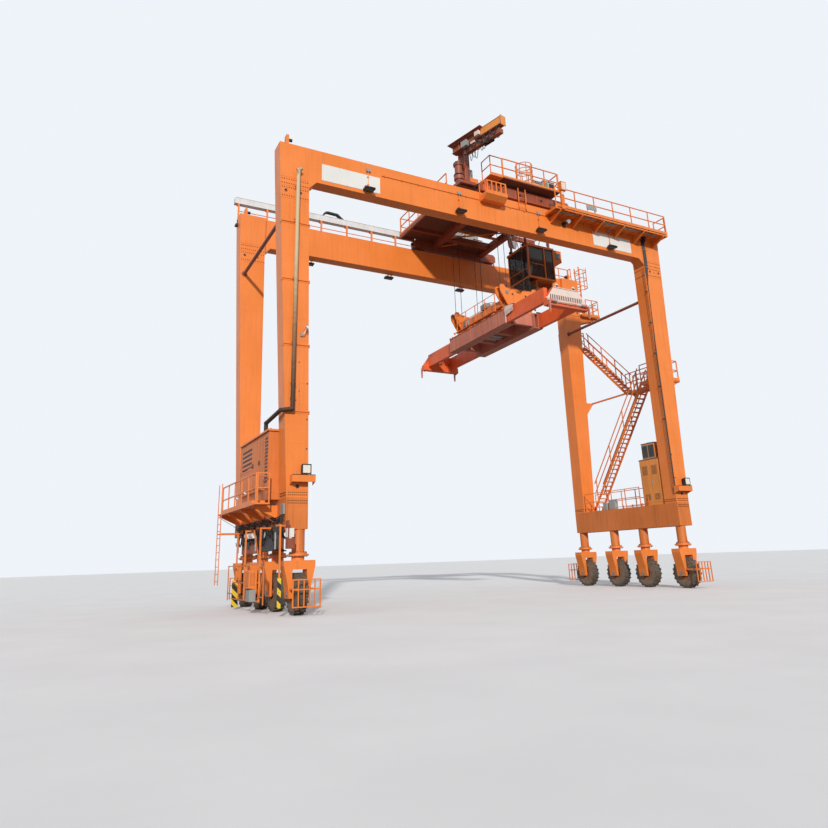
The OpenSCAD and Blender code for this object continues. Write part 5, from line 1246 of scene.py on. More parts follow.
class CRANE_OT_left_ground_fittings(Operator):
    """Striped plates, cabinet covers, hydraulic boxes, tanks and hoses under the left sill"""
    bl_idname = "crane.left_ground_fittings"
    bl_label = "Left Side Ground Fittings"

    def execute(self, context):
        plates = boxes((-11.0975, -4.3105, 0.297, -10.9625, -4.297, 1.303),
                       (-11.2025, 1.9895, 0.097, -10.9275, 2.003, 1.173))
        piece("hazard_plates", plates, "hazard")
        lower = boxes((-11.444, -1.854, 0.447, -11.204, -1.296, 0.884),
                      (-11.452, -1.80, 0.52, -11.444, -1.60, 0.80))
        piece("service_lower_box", lower, "grey", bevel=0.004)
        door = boxes((-11.513, -1.84, 1.0, -11.505, -1.31, 1.54),
                     (-11.53, -1.37, 1.20, -11.513, -1.34, 1.34),
                     (-11.44, -1.912, 1.03, -11.26, -1.905, 1.50))
        piece("service_cabinet_door", door, "orange_dirty", bevel=0.003)
        bars = [bar_between((-11.17, -2.16, 1.75), (-11.17, -1.2, 3.1), 0.045),
                bar_between((-11.17, -2.16, 0.5), (-11.17, -2.75, 1.7), 0.045),
                bar_between((-11.17, -2.75, 1.7), (-11.17, -2.75, 0.35), 0.045),
                box((-11.19, -2.77, 1.68), (-11.15, -2.14, 1.72)),
                box((-11.19, -2.77, 0.60), (-11.15, -2.14, 0.64)),
                box((-11.19, 0.05, 0.42), (-11.15, 2.0, 0.46)),
                box((-11.19, 0.05, 1.08), (-11.15, 2.0, 1.12)),
                box((-11.19, 1.0, 0.42), (-11.15, 1.04, 1.78)),
                box((-11.19, 0.05, 1.74), (-11.15, 2.0, 1.78)),
                bar_between((-11.17, 2.03, 1.76), (-11.17, 2.9, 1.76), 0.04),
                box((-11.19, 2.86, 0.35), (-11.15, 2.90, 1.78)),
                box((-11.19, 2.03, 0.62), (-11.15, 2.88, 0.66))]
        piece("service_frame_bars", bars, "orange_dirty")
        # Orange boxes given the darkened carriage finish: painted shade for the shade under the sill
        brown = boxes((-10.74, 0.30, 2.24, -10.53, 2.45, 3.04), (-10.74, -4.30, 2.30, -10.48, -3.98, 2.66),
                      (-10.74, -4.30, 2.66, -10.70, -3.98, 3.30))
        piece("sill_brown_boxes", brown, "carriage", bevel=0.006)
        slate = boxes((-10.755, 1.15, 2.42, -10.74, 2.15, 2.86), (-10.74, -2.45, 2.28, -10.53, -0.75, 3.04))
        piece("sill_dark_cabinets", slate, "dark", bevel=0.006)
        light = [disc((-10.82, 1.05, 2.97), 0.12, 0.52, "Y", 24),
                 disc((-10.82, 0.35, 2.97), 0.12, 0.52, "Y", 24),
                 box((-10.90, 0.05, 2.84), (-10.74, 1.35, 2.86)),
                 box((-10.76, -4.26, 2.70), (-10.50, -4.02, 3.02)),
                 box((-10.76, -1.30, 2.80), (-10.74, -0.90, 3.02))]
        piece("sill_pale_tanks", light, "white", bevel=0.006)
        hoses = []
        rnd = random.Random(23)
        for i in range(16):
            y = -3.2 + i * 0.38
            drop, reach = 0.14 + rnd.random() * 0.42, 0.35 + rnd.random() * 0.6
            start, end = (-10.79 - rnd.random() * 0.03, y,
                          3.12), (-10.78, y + reach, 3.02 - rnd.random() * 0.25)
            hoses.append(tube(sagging(start, end, drop, 12), 0.016 + 0.005 * (i % 3), 7))
        for i in range(7):
            y = -3.30 + 0.10 * i
            hoses.append(tube(rounded([(-10.80, y, 3.16), (-10.82, y - 0.05, 2.7), (-10.70, y - 0.12, 2.30),
                                       (-10.52, y - 0.15, 2.24)], 0.2), 0.017, 7))
        piece("sill_drop_hoses", hoses, "cable")
        run = [tube(sagging((-10.80, -3.5 + 1.15 * k, 3.52 - 0.05 * j),
                            (-10.80, -2.35 + 1.15 * k, 3.52 - 0.05 * j), 0.05 + 0.02 * j, 8), 0.022, 7)
               for k in range(6) for j in range(4)]
        piece("sill_face_hoses", run, "cable")
        stubs = [disc((-10.84, y, 2.62), 0.045, 0.62, "Z", 16) for y in (-3.05, -0.25, 2.75)]
        piece("sill_filter_bodies", stubs, "steel", bevel=0.004)
        return {"FINISHED"}


class CRANE_OT_wheel_fittings(Operator):
    """Rim nuts and hub rings of the wheels, and bolts, covers and ribs of forks and columns"""
    bl_idname = "crane.wheel_fittings"
    bl_label = "Wheel and Fork Fittings"

    def execute(self, context):
        for side, sx in (("left", -1), ("right", 1)):
            for n, y in AXLES.items():
                cx = sx * WHEEL_X
                wheel, fork = "wheel_%s_%d" % (side, n), "fork_%s_%d" % (side, n)
                nuts, cap = [], []
                for out in (-1, 1):
                    x = cx + out * 0.058
                    nut = disc((x, y + 0.13, AXLE_Z), 0.018, 0.05, "X", 6)
                    nuts.append(ring_of(nut, 10, (x, y, AXLE_Z), "X"))
                    cap.append(disc((cx + out * 0.188, y, AXLE_Z), 0.098, 0.01, "X", 20))
                    nuts.append(disc((cx + out * 0.10, y + 0.27, AXLE_Z), 0.008, 0.10, "X", 8))
                piece("rim_nuts_%s_%d" % (side, n), nuts, "steel", wheel, slot="wire_rope")
                piece("hub_rings_%s_%d" % (side, n), cap, "orange_dirty", wheel, slot="orange_paint",
                      bevel=0.002)
                low = disc((cx + 0.335, y, 2.04), 0.02, 0.05, "Z", 6)
                covers = [ring_of(low, 16, (cx, y, 0)), hub_cover(cx, y, 1), hub_cover(cx, y, -1)]
                piece("fork_bolts_%s_%d" % (side, n), covers, "steel", fork, slot="wire_rope")
                up = disc((cx + 0.30, y, 2.18), 0.018, 0.04, "Z", 6)
                piece("column_bolts_%s_%d" % (side, n), ring_of(up, 16, (cx, y, 0)), "dark")
                ribs = [plate([(y + s * 0.34, 2.17), (y + s * 0.34, 2.19), (y + s * 0.245, 2.50),
                               (y + s * 0.23, 2.17)],
                              "X", cx - 0.012, cx + 0.012) for s in (-1, 1)]
                piece("column_ribs_%s_%d" % (side, n), ribs, "orange_dirty")
        return {"FINISHED"}


def hub_cover(cx, y, out):
    """Axle end cover on a fork's cheek."""
    x = cx + out * 0.405
    parts = [disc((x, y, AXLE_Z), 0.11, 0.03, "X", 28),
             disc((x + out * 0.015, y, AXLE_Z), 0.055, 0.03, "X", 20),
             ring_of(disc((x + out * 0.012, y + 0.085, AXLE_Z), 0.012, 0.02, "X", 6), 6, (x, y, AXLE_Z), "X")]
    return joined(parts)
# ---------------------------------------------------------------- right side: stairs, house, trough
def stair_treads(x0, y0, z0, y1, z1, count):
    """Nosings and grating bars on the treads of one flight, which goes up from y0, z0 to y1, z1."""
    nosing, bars = [], []
    run, rise = (y1 - y0) / count, (z1 - z0) / count
    back = -1 if y1 < y0 else 1
    y, z = y0 + run, z0 + rise
    nosing.append(row(box((x0 + 0.045, y - back * 0.11 - 0.008, z - 0.045),
                          (x0 + 0.595, y - back * 0.11 + 0.008, z - 0.004)),
                      count - 1, (0, run, rise)))
    grid = row(box((x0 + 0.05, y - 0.105, z - 0.012), (x0 + 0.056, y + 0.105, z - 0.004)), 12, (0.0485, 0, 0))
    bars.append(row(grid, count - 1, (0, run, rise)))
    ends = row(box((x0 + 0.038, y - 0.09, z - 0.062), (x0 + 0.05, y + 0.09, z - 0.010)), count - 1,
               (0, run, rise))
    nosing += [ends, copy_to(ends, (0.552, 0, 0))]
    bolts = row(disc((x0 - 0.002, y, z - 0.05), 0.014, 0.012, "X", 6), count - 1, (0, run, rise))
    nosing += [bolts, copy_to(bolts, (0.644, 0, 0))]
    return nosing, bars


class CRANE_OT_stair_fittings(Operator):
    """Tread nosings, gratings, kick plates, ribs and lamps of the stairs and landings"""
    bl_idname = "crane.stair_fittings"
    bl_label = "Stair Fittings"

    def execute(self, context):
        low_nosing, low_bars = stair_treads(10.80, 3.45, 4.05, -1.75, 11.0, 30)
        high_nosing, high_bars = stair_treads(11.60, 0.16, 11.0, 3.836, 15.0, 17)
        piece("stair_nosings", low_nosing + high_nosing, "orange_dirty")
        piece("stair_gratings", low_bars + high_bars, "grating")
        kick = boxes((12.222, -3.3, 11.0, 12.228, 0.12, 11.10), (11.50, -3.296, 11.0, 12.22, -3.290, 11.10),
                     (12.222, 3.95, 15.0, 12.228, 4.88, 15.10), (10.90, 4.885, 15.0, 12.2, 4.891, 15.10),
                     (10.808, -3.04, 11.0, 10.814, -1.80, 11.10), (12.878, 2.92, 17.0, 12.884, 3.93, 17.10),
                     (11.30, 2.914, 17.0, 12.87, 2.920, 17.10))
        piece("landing_kick_plates", kick, "orange", bevel=0.002)
        grid = []
        for x0, x1, y0, y1, z in ((11.53, 12.20, -3.25, 0.13, 11.0), (10.84, 11.49, -3.0, -1.79, 11.0),
                                  (10.95, 12.20, 3.95, 4.86, 15.0), (11.25, 12.86, 2.95, 3.92, 17.0)):
            n = int((y1 - y0) / 0.035)
            grid.append(row(box((x0, y0, z + 0.001), (x1, y0 + 0.006, z + 0.008)), n, (0, (y1 - y0) / n, 0)))
            grid.append(row(box((x0, y0, z + 0.001), (x0 + 0.006, y1, z + 0.007)), int((x1 - x0) / 0.1),
                            (0.1, 0, 0)))
        piece("landing_gratings", grid, "grating")
        ribs = []
        for x0, x1, y0, y1, z in ((11.52, 12.22, -3.26, 0.12, 10.92), (10.95, 12.20, 3.98, 4.86, 14.92),
                                  (11.35, 12.85, 2.94, 3.92, 16.92)):
            ribs.append(row(box((x0, y0, z - 0.07), (x1, y0 + 0.012, z)), 4, (0, (y1 - y0) / 3.05, 0)))
        ribs.append(box((12.20, -3.28, 10.86), (12.235, 0.14, 10.92)))
        piece("landing_ribs", ribs, "orange_dirty", bevel=0.002)
        lamps, glow = [], []
        for x, y, z in ((12.16, -1.2, 11.9), (12.16, 4.3, 15.9), (12.80, 3.4, 17.9)):
            lamps.append(box((x - 0.05, y - 0.30, z), (x + 0.03, y + 0.30, z + 0.035)))
            lamps.append(box((x - 0.01, y - 0.02, z - 0.04), (x + 0.01, y + 0.02, z)))
            glow.append(disc((x - 0.01, y, z - 0.012), 0.018, 0.54, "Y", 12))
        piece("landing_lamp_trays", lamps, "steel", bevel=0.003)
        piece("landing_lamp_tubes", glow, "white_lamp", slot="lamp_black")
        return {"FINISHED"}


class CRANE_OT_ladder_fittings(Operator):
    """Rung ends, bolts, foot plates and cage clips of the ladders, and the chain of the rest landing"""
    bl_idname = "crane.ladder_fittings"
    bl_label = "Ladder Fittings"

    def execute(self, context):
        clips = []
        for z in (19.12, 19.72, 20.32):
            for a in (-60, -20, 20, 60):
                c, s = math.cos(math.radians(a)), math.sin(math.radians(a))
                clips.append(disc((12.0 + 0.371 * c, 3.32 + 0.371 * s, z), 0.016, 0.02, "Z", 6))
            for y in (3.12, 3.52):
                clips.append(disc((11.69, y, z), 0.018, 0.03, "X", 6))
        for y in (3.12, 3.52):
            clips.append(box((11.60, y - 0.05, 17.0), (11.68, y + 0.05, 17.012)))
            clips.append(row(disc((11.64, y + (0.032 if y > 3.3 else -0.032), 17.3), 0.02, 0.012, "Y", 10),
                             11, (0, 0, 0.3)))
        for y in (3.956, 4.356):
            clips.append(row(disc((11.46, y + (0.032 if y > 4.2 else -0.032), 15.3), 0.02, 0.012, "Y", 10),
                             9, (0, 0, 0.3)))
        piece("ladder_clips", clips, "orange_dirty")
        chain = [tube(sagging((11.66, 3.93, 18.0), (11.70, 2.95, 18.0), 0.12, 14), 0.008, 6)]
        piece("rest_landing_chain", chain, "steel")
        return {"FINISHED"}


class CRANE_OT_house_fittings(Operator):
    """Doors, louvres, cooling unit and conduits of the electrical house, and boxes and rails on the sill"""
    bl_idname = "crane.house_fittings"
    bl_label = "Electrical House Fittings"

    def execute(self, context):
        door, trim, dark, metal = [], [], [], []
        for y0, y1 in ((-2.95, -2.34), (-2.30, -1.70)):
            door.append(box((9.935, y0, 4.30), (9.95, y1, 6.45)))
            trim.append(box((9.925, y1 - 0.09, 5.2), (9.94, y1 - 0.05, 5.42)))
            for z in (4.6, 5.4, 6.2):
                trim.append(disc((9.936, y0 + 0.02, z), 0.014, 0.10, "Z", 10))
            # Dark bars across the doors are painted shade in the louvre slots
            for z, count in ((5.75, 9), (4.42, 6)):
                dark.append(row(box((9.930, y0 + 0.12, z), (9.942, y1 - 0.12, z + 0.022)), count,
                                (0, 0, 0.055)))
        for y in (-3.004, -1.646):
            s = -1 if y < -2 else 1
            door.append(box((10.05, y, 4.35), (10.70, y + s * 0.012, 6.40)))
            # Dark bars on the side doors are painted shade in the louvre slots
            dark.append(row(box((10.15, y, 5.70), (10.60, y + s * 0.02, 5.72)), 10, (0, 0, 0.05)))
        for y in (-2.95, -2.34):
            trim.append(box((10.795, y, 4.25), (10.812, y + 0.58, 6.45)))
        piece("house_doors", door, "house", bevel=0.004)
        piece("house_trims", trim, "steel", bevel=0.002)
        piece("house_louvres", dark, "dark")
        metal.append(box((9.93, -3.03, 6.55), (10.82, -1.62, 6.60)))
        metal.append(box((9.99, -2.82, 7.40), (10.71, -1.88, 7.46)))
        for y0 in (-2.78, -2.33):
            metal.append(box((9.985, y0, 6.66), (10.0, y0 + 0.40, 7.34)))
            metal.append(box((10.70, y0, 6.66), (10.715, y0 + 0.40, 7.34)))
        piece("cooler_casing", metal, "slate", bevel=0.004)
        fins = []
        for y0 in (-2.75, -2.30):
            fins.append(row(box((9.975, y0, 6.72), (9.988, y0 + 0.34, 6.732)), 16, (0, 0, 0.037)))
            fins.append(row(box((10.712, y0, 6.72), (10.724, y0 + 0.34, 6.732)), 16, (0, 0, 0.037)))
        fins.append(row(box((10.12, -2.812, 6.75), (10.58, -2.798, 6.762)), 14, (0, 0, 0.04)))
        piece("cooler_fins", fins, "dark")
        fan = disc((10.34, -2.34, 7.47), 0.28, 0.03, "Z", 32)
        spokes = ring_of(box((10.34, -2.345, 7.478), (10.61, -2.335, 7.49)), 12, (10.34, -2.34, 0), "Z")
        piece("cooler_fan_guard", [fan, spokes], "dark")
        pipes = [tube(rounded([(10.86, -2.9, 6.3), (10.86, -2.9, 4.35), (10.80, -3.02, 4.2)], 0.08), 0.022),
                 tube(rounded([(10.86, -2.8, 6.1), (10.86, -2.8, 4.2)], 0.08), 0.016),
                 tube(rounded([(9.90, -2.0, 4.6), (9.90, -2.0, 4.22), (9.90, -0.4, 4.20)], 0.08), 0.020),
                 tube(rounded([(9.90, -1.9, 4.6), (9.90, -1.9, 4.26), (9.90, 1.4, 4.24)], 0.08), 0.014)]
        pipes.append(row(box((9.865, -1.55, 4.16), (9.93, -1.50, 4.30)), 5, (0, 0.7, 0)))
        piece("house_conduits", pipes, "orange_dirty")
        cases = boxes((9.87, 0.5, 4.15, 10.12, 0.95, 4.70), (9.87, 1.15, 4.15, 10.05, 1.45, 4.55),
                      (10.73, -0.6, 3.45, 10.86, 0.0, 3.95), (10.73, 0.4, 3.55, 10.84, 0.75, 3.95))
        piece("sill_junction_boxes", cases, "grey", bevel=0.01)
        rails = []
        for x in (9.90, 10.70):
            rails.append(row(box((x - 0.02, -1.45, 4.15), (x + 0.02, -1.41, 5.20)), 5, (0, 1.08, 0)))
            for z in (4.68, 5.18):
                rails.append(box((x - 0.018, -1.45, z - 0.018), (x + 0.018, 2.92, z + 0.018)))
        piece("sill_guard_rails", rails, "orange")
        return {"FINISHED"}


class CRANE_OT_trough_fittings(Operator):
    """Flanges, joints and handrail of the cable trough, and the links of its chain"""
    bl_idname = "crane.trough_fittings"
    bl_label = "Cable Trough Fittings"

    def execute(self, context):
        y0, y1 = 3.966, 4.266
        metal = []
        for y, s in ((y0, -1), (y1, 1)):
            metal.append(box((-11.50, y, 20.826), (-0.14, y + s * 0.02, 20.838)))
            metal.append(row(box((-11.50, y, 20.50), (-11.46, y + s * 0.010, 20.83)), 20, (0.594, 0, 0)))
        metal.append(box((-11.53, y0, 20.49), (-11.52, y1, 20.84)))
        piece("trough_flanges", metal, "trough", bevel=0.002)
        rail = boxes((-11.30, 4.05, 20.06, -0.35, 4.085, 20.095), (-11.30, 3.93, 19.76, -0.35, 3.96, 19.79))
        rail.append(row(box((-11.34, 3.93, 19.50), (-11.30, 3.97, 20.30)), 8, (1.5714, 0, 0)))
        piece("trough_handrail", rail, "orange")
        cones = []
        for i in range(8):
            x = -11.32 + 1.5714 * i
            cones.append(cone((x, 4.116, 20.44), 0.05, 0.13, 0.09, "Z", 16))
            cones.append(hex_bolts((x - 0.02, 3.93, 19.15), 2, (0.04, 0, 0), "Y", 0.014))
        piece("trough_post_heads", cones, "orange", bevel=0.002)
        # The loop's radius, the chain's thickness and the loop's centre
        r, t = 0.35, 0.08
        cx, cz = -6.5 + r, CHAIN_FLOOR_Z + r
        path = [(-0.5 - 0.11 * i, CHAIN_FLOOR_Z + t / 2) for i in range(52)]
        path += [(cx + (r - t / 2) * math.cos(math.radians(a)), cz + (r - t / 2) * math.sin(math.radians(a)))
                 for a in range(270, 89, -20)]
        path += [(-6.5 + 2.5 * r, cz + r - 0.05), (-6.5 + 2.8 * r, cz + r - 0.12),
                 (-6.5 + 3.2 * r, cz + r - 0.25),
                 (-6.5 + 3.6 * r, cz + r - 0.37), (-6.5 + 4.0 * r, cz + r - 0.47), (-6.5 + 4.4 * r, 20.64)]
        links = []
        for (x, z), (u, w) in zip(path, path[1:]):
            if math.hypot(u - x, w - z) > 0.2:
                continue
            turn = math.atan2(w - z, u - x)
            for y in (4.003, 4.229):
                o = box((-0.047, y - 0.004, -0.036), (0.047, y + 0.004, 0.036))
                apply_place(o)
                o.matrix_world = Matrix.Translation(((x + u) / 2, 0,
                                                     (z + w) / 2)) @ Matrix.Rotation(-turn, 4, "Y")
                links.append(apply_place(o))
        piece("energy_chain_links", links, "chain")
        return {"FINISHED"}


class CRANE_OT_walkway_fittings(Operator):
    """Gratings, kick plate, lamp mast, panel and cable of the walkway, and the rails' clips and buffers"""
    bl_idname = "crane.walkway_fittings"
    bl_label = "Walkway Fittings"

    def execute(self, context):
        bars = [row(box((3.16, -4.79, 19.200), (11.18, -4.784, 19.206)), 24, (0, 0.036, 0)),
                row(box((3.16, -4.79, 19.200), (3.166, -3.95, 19.205)), 41, (0.2, 0, 0))]
        piece("walkway_grating", bars, "grating")
        trim = [box((3.10, -4.852, 19.24), (11.25, -4.846, 19.34)),
                row(box((3.4, -4.80, 19.02), (3.44, -3.94, 19.06)), 14, (0.57, 0, 0)),
                box((-1.05, -4.562, 19.21), (0.25, -4.556, 19.30))]
        piece("walkway_kick_plate", trim, "orange", bevel=0.002)
        mast = [box((3.44, -4.96, 19.30), (3.67, -4.85, 19.36)),
                box((3.50, -4.97, 20.30), (3.61, -4.93, 20.42)),
                row(box((3.455, -4.955, 19.5), (3.655, -4.945, 19.506)), 5, (0, 0, 0.11))]
        piece("lamp_mast_bands", mast, "orange_dirty", bevel=0.002)
        cap = boxes((3.40, -5.074, 20.585, 3.76, -4.84, 20.605), (3.44, -5.072, 20.14, 3.70, -5.062, 20.54),
                    (3.48, -4.98, 19.86, 3.63, -4.95, 20.06))
        piece("lamp_mast_head", cap, "cover", bevel=0.006)
        lens = [disc((3.515, -5.074, 20.44), 0.045, 0.02, "Y", 20),
                disc((3.515, -5.074, 20.28), 0.045, 0.02, "Y", 20),
                disc((3.64, -5.074, 20.36), 0.035, 0.02, "Y", 20)]
        piece("lamp_mast_lenses", lens, "lens", slot="lamp_black")
        panel = boxes((5.23, -4.875, 19.46, 5.93, -4.835, 19.70), (5.30, -4.845, 19.40, 5.34, -4.80, 19.80),
                      (5.82, -4.845, 19.40, 5.86, -4.80, 19.80))
        piece("walkway_rail_panel", panel, "grey", bevel=0.006)
        under = [box((x, -4.74, 19.034), (x + 1.25, -4.52, 19.048)) for x in (3.25, 4.75, 6.25, 7.75, 9.25)]
        piece("walkway_underside_grating", under, "grating")
        cable = [tube(rounded([(3.2, -4.87, 19.14), (11.1, -4.87, 19.14)], 0.05), 0.012)]
        for i in range(9):
            cable.append(box((3.4 + i * 0.9, -4.885, 19.12), (3.44 + i * 0.9, -4.846, 19.16)))
        piece("walkway_cable", cable, "cable")
        clips = []
        for y in (-RAIL_Y, RAIL_Y):
            for s in (-1, 1):
                clips.append(row(box((-10.8, y + s * 0.072 - 0.028, 19.45),
                                     (-10.73, y + s * 0.072 + 0.028, 19.488)), 36, (0.615, 0, 0)))
                clips.append(row(disc((-10.765, y + s * 0.080, 19.492), 0.016, 0.02, "Z", 6), 36,
                                 (0.615, 0, 0)))
        piece("rail_clips", clips, "rust")
        stops = []
        for x in (-10.95, 10.95):
            s = 1 if x < 0 else -1
            for y in (-RAIL_Y, RAIL_Y):
                stops.append(disc((x + s * 0.09, y, 19.83), 0.075, 0.18, "X", 24))
                stops.append(disc((x + s * 0.01, y, 19.83), 0.10, 0.03, "X", 24))
        piece("rail_buffers", stops, "dark", bevel=0.004)
        return {"FINISHED"}
# ---------------------------------------------------------------- trolley
# Left and right end face of the carriages, each with the side that it looks to
CARRIAGE_ENDS = ((-0.91, -1), (4.95, 1))
# Axis of the hoist drum
DRUM_X = -0.70
DRUM_Z = 20.75


class CRANE_OT_carriage_fittings(Operator):
    """Ribs, axle caps, bracing, floor plates, cables, rope anchors, buffers and sweeps of the carriages"""
    bl_idname = "crane.carriage_fittings"
    bl_label = "Carriage Fittings"

    def execute(self, context):
        ribs, bolts, caps, holes = [], [], [], []
        ribs.append(row(box((-0.78, 3.812, 19.70), (-0.762, 3.820, 20.22)), 9, (0.70, 0, 0)))
        ribs.append(box((-0.905, 3.812, 20.215), (4.945, 3.820, 20.235)))
        ribs.append(box((-0.905, 3.812, 19.685), (4.945, 3.820, 19.70)))
        for x in (MID_X - 2.51, MID_X + 2.51):
            caps.append(disc((x, 3.83, 19.87), 0.13, 0.05, "Y", 28))
            caps.append(disc((x, 3.86, 19.87), 0.085, 0.03, "Y", 28))
            caps.append(box((x - 0.22, 3.813, 19.72), (x + 0.22, 3.828, 20.04)))
            for a in range(6):
                c, s = math.cos(a * math.pi / 3), math.sin(a * math.pi / 3)
                bolts.append(disc((x + 0.105 * c, 3.86, 19.87 + 0.105 * s), 0.014, 0.02, "Y", 6))
        # The dark discs are painted shade inside the hand holes
        for x in (0.31, 1.63, 3.03):
            holes.append(disc((x, 3.815, 19.96), 0.075, 0.02, "Y", 24))
        for key, parts, paint in (("ribs", ribs, "trolley"), ("axle_caps", caps, "trolley"),
                                   ("axle_bolts", bolts, "steel"), ("hand_holes", holes, "dark")):
            piece("carriage_" + key, mirrored(parts, "Y"), paint, "trolley")
        lattice = []
        for a, b in (((0.72, -2.05, 20.0), (3.58, 0.0, 20.0)), ((3.58, 0.0, 20.0), (0.72, 2.05, 20.0)),
                     ((0.72, -3.35, 20.0), (1.6, -2.5, 20.0)), ((0.72, 3.35, 20.0), (1.6, 2.5, 20.0))):
            lattice.append(bar_between(a, b, 0.09, 0.07))
        for y in (-1.1, 1.1):
            lattice.append(box((0.70, y - 0.05, 19.96), (3.60, y + 0.05, 20.10)))
        piece("carriage_bracing", lattice, "orange_dirty", "trolley", bevel=0.004)
        floor = [box((0.70, -2.02, 20.505), (3.60, 2.02, 20.515))]
        floor += [box((0.70, s * 2.50, 20.105), (3.60, s * 3.45, 20.115)) for s in (-1, 1)]
        piece("carriage_floor_plates", floor, "deck", "trolley")
        cables = []
        for i, y in enumerate((-1.9, -1.78, -1.66)):
            cables.append(tube(sagging((0.74, y, 19.93), (3.58, y + 0.25, 19.93), 0.10 + 0.04 * i, 16),
                               0.013))
        for i, x in enumerate((0.95, 1.1)):
            cables.append(tube(sagging((x, -2.08, 19.95), (x + 0.1, 2.08, 19.95), 0.13 + 0.05 * i, 20),
                               0.013))
        piece("carriage_cables", cables, "cable", "trolley")
        anchors = []
        for x in (MID_X - SHEAVE_X, MID_X + SHEAVE_X):
            for y in (-2.26, 2.26):
                for s in (-1, 1):
                    anchors.append(box((x - 0.34, y + s * 0.20 - 0.012, 20.24),
                                       (x + 0.34, y + s * 0.20 + 0.012, 20.30)))
                    anchors.append(hex_bolts((x - 0.26, y + s * 0.26, 20.245), 4, (0.17, 0, 0), "Z", 0.014,
                                             0.01))
        piece("rope_anchor_plates", anchors, "orange", "trolley", bevel=0.003)
        buffers, sweeps = [], []
        for x, s in CARRIAGE_ENDS:
            for y in (-RAIL_Y, RAIL_Y):
                buffers.append(box((x - 0.02, y - 0.13, 19.84), (x + 0.02, y + 0.13, 20.10)))
                buffers.append(disc((x + s * 0.05, y, 19.97), 0.08, 0.10, "X", 24))
                sweeps.append(box((x + s * 0.005 - 0.012, y - 0.045, 19.56),
                                  (x + s * 0.005 + 0.012, y + 0.045, 19.72)))
        piece("carriage_buffers", buffers, "dark", "trolley", bevel=0.006)
        piece("rail_sweeps", sweeps, "rust", "trolley")
        return {"FINISHED"}


class CRANE_OT_drum_fittings(Operator):
    """Rope turns, bearing housings, gearbox ribs, brake and motor fins of the hoist"""
    bl_idname = "crane.drum_fittings"
    bl_label = "Drum Fittings"

    def execute(self, context):
        turns = []
        for i in range(52):
            y = -1.22 + i * 0.047
            turns.append(disc((DRUM_X, y, DRUM_Z), 0.412, 0.030, "Y", 36))
        piece("drum_rope_turns", turns, "rope", "trolley", smooth=25)
        gear, plates, bolts, fins, motor = [], [], [], [], []
        gear.append(box((-1.14, 1.40, 20.70), (-0.26, 1.94, 20.74)))
        for x in (-1.135, -0.285):
            gear.append(row(box((x, 1.50, 20.30), (x + 0.02, 1.52, 20.70)), 4, (0, 0.12, 0)))
        gear.append(box((-0.95, 1.50, 21.18), (-0.60, 1.84, 21.21)))
        gear.append(disc((-0.46, 1.67, 21.22), 0.05, 0.10, "Z", 16))
        gear.append(disc((DRUM_X, 1.935, DRUM_Z), 0.17, 0.04, "Y", 28))
        gear.append(disc((DRUM_X, 1.405, DRUM_Z), 0.21, 0.04, "Y", 28))
        for x in (-1.12, -0.28):
            bolts.append(row(disc((x, 1.46, DRUM_Z), 0.016, 0.03, "Z", 6), 5, (0, 0.105, 0)))
        for y in (-1.49, 1.39):
            plates.append(cone((DRUM_X, y, DRUM_Z), 0.15, 0.11, 0.04, "Y", 28))
        piece("gearbox_details", gear + plates, "trolley", "trolley", bevel=0.004)
        piece("gearbox_bolts", bolts, "steel", "trolley")
        for x in (-0.985, -0.435):
            fins.append(row(box((x, 1.96, 20.34), (x + 0.02, 2.56, 20.36)), 11, (0, 0, 0.044)))
        fins.append(row(box((-0.93, 1.96, 20.84), (-0.91, 2.56, 20.86)), 11, (0.045, 0, 0)))
        motor.append(disc((-0.70, 2.625, 20.60), 0.24, 0.05, "Y", 32))
        motor.append(box((-0.60, 2.05, 20.84), (-0.36, 2.30, 20.98)))
        motor.append(disc((-0.70, 1.97, 20.60), 0.27, 0.04, "Y", 32))
        piece("motor_fins", fins, "grey", "trolley")
        piece("motor_covers", motor, "grey", "trolley", bevel=0.005)
        guard = ring_of(box((-0.70, 2.645, 20.595), (-0.50, 2.652, 20.605)), 10, (-0.70, 2.65, 20.60), "Y")
        piece("motor_fan_guard", guard, "dark", "trolley")
        cabinet = boxes((-1.78, -1.65, 20.30, -1.45, -0.95, 20.95), (-1.45, -1.60, 20.38, -1.44, -1.0, 20.90))
        piece("deck_cabinets", cabinet, "beige", "trolley", bevel=0.008)
        return {"FINISHED"}


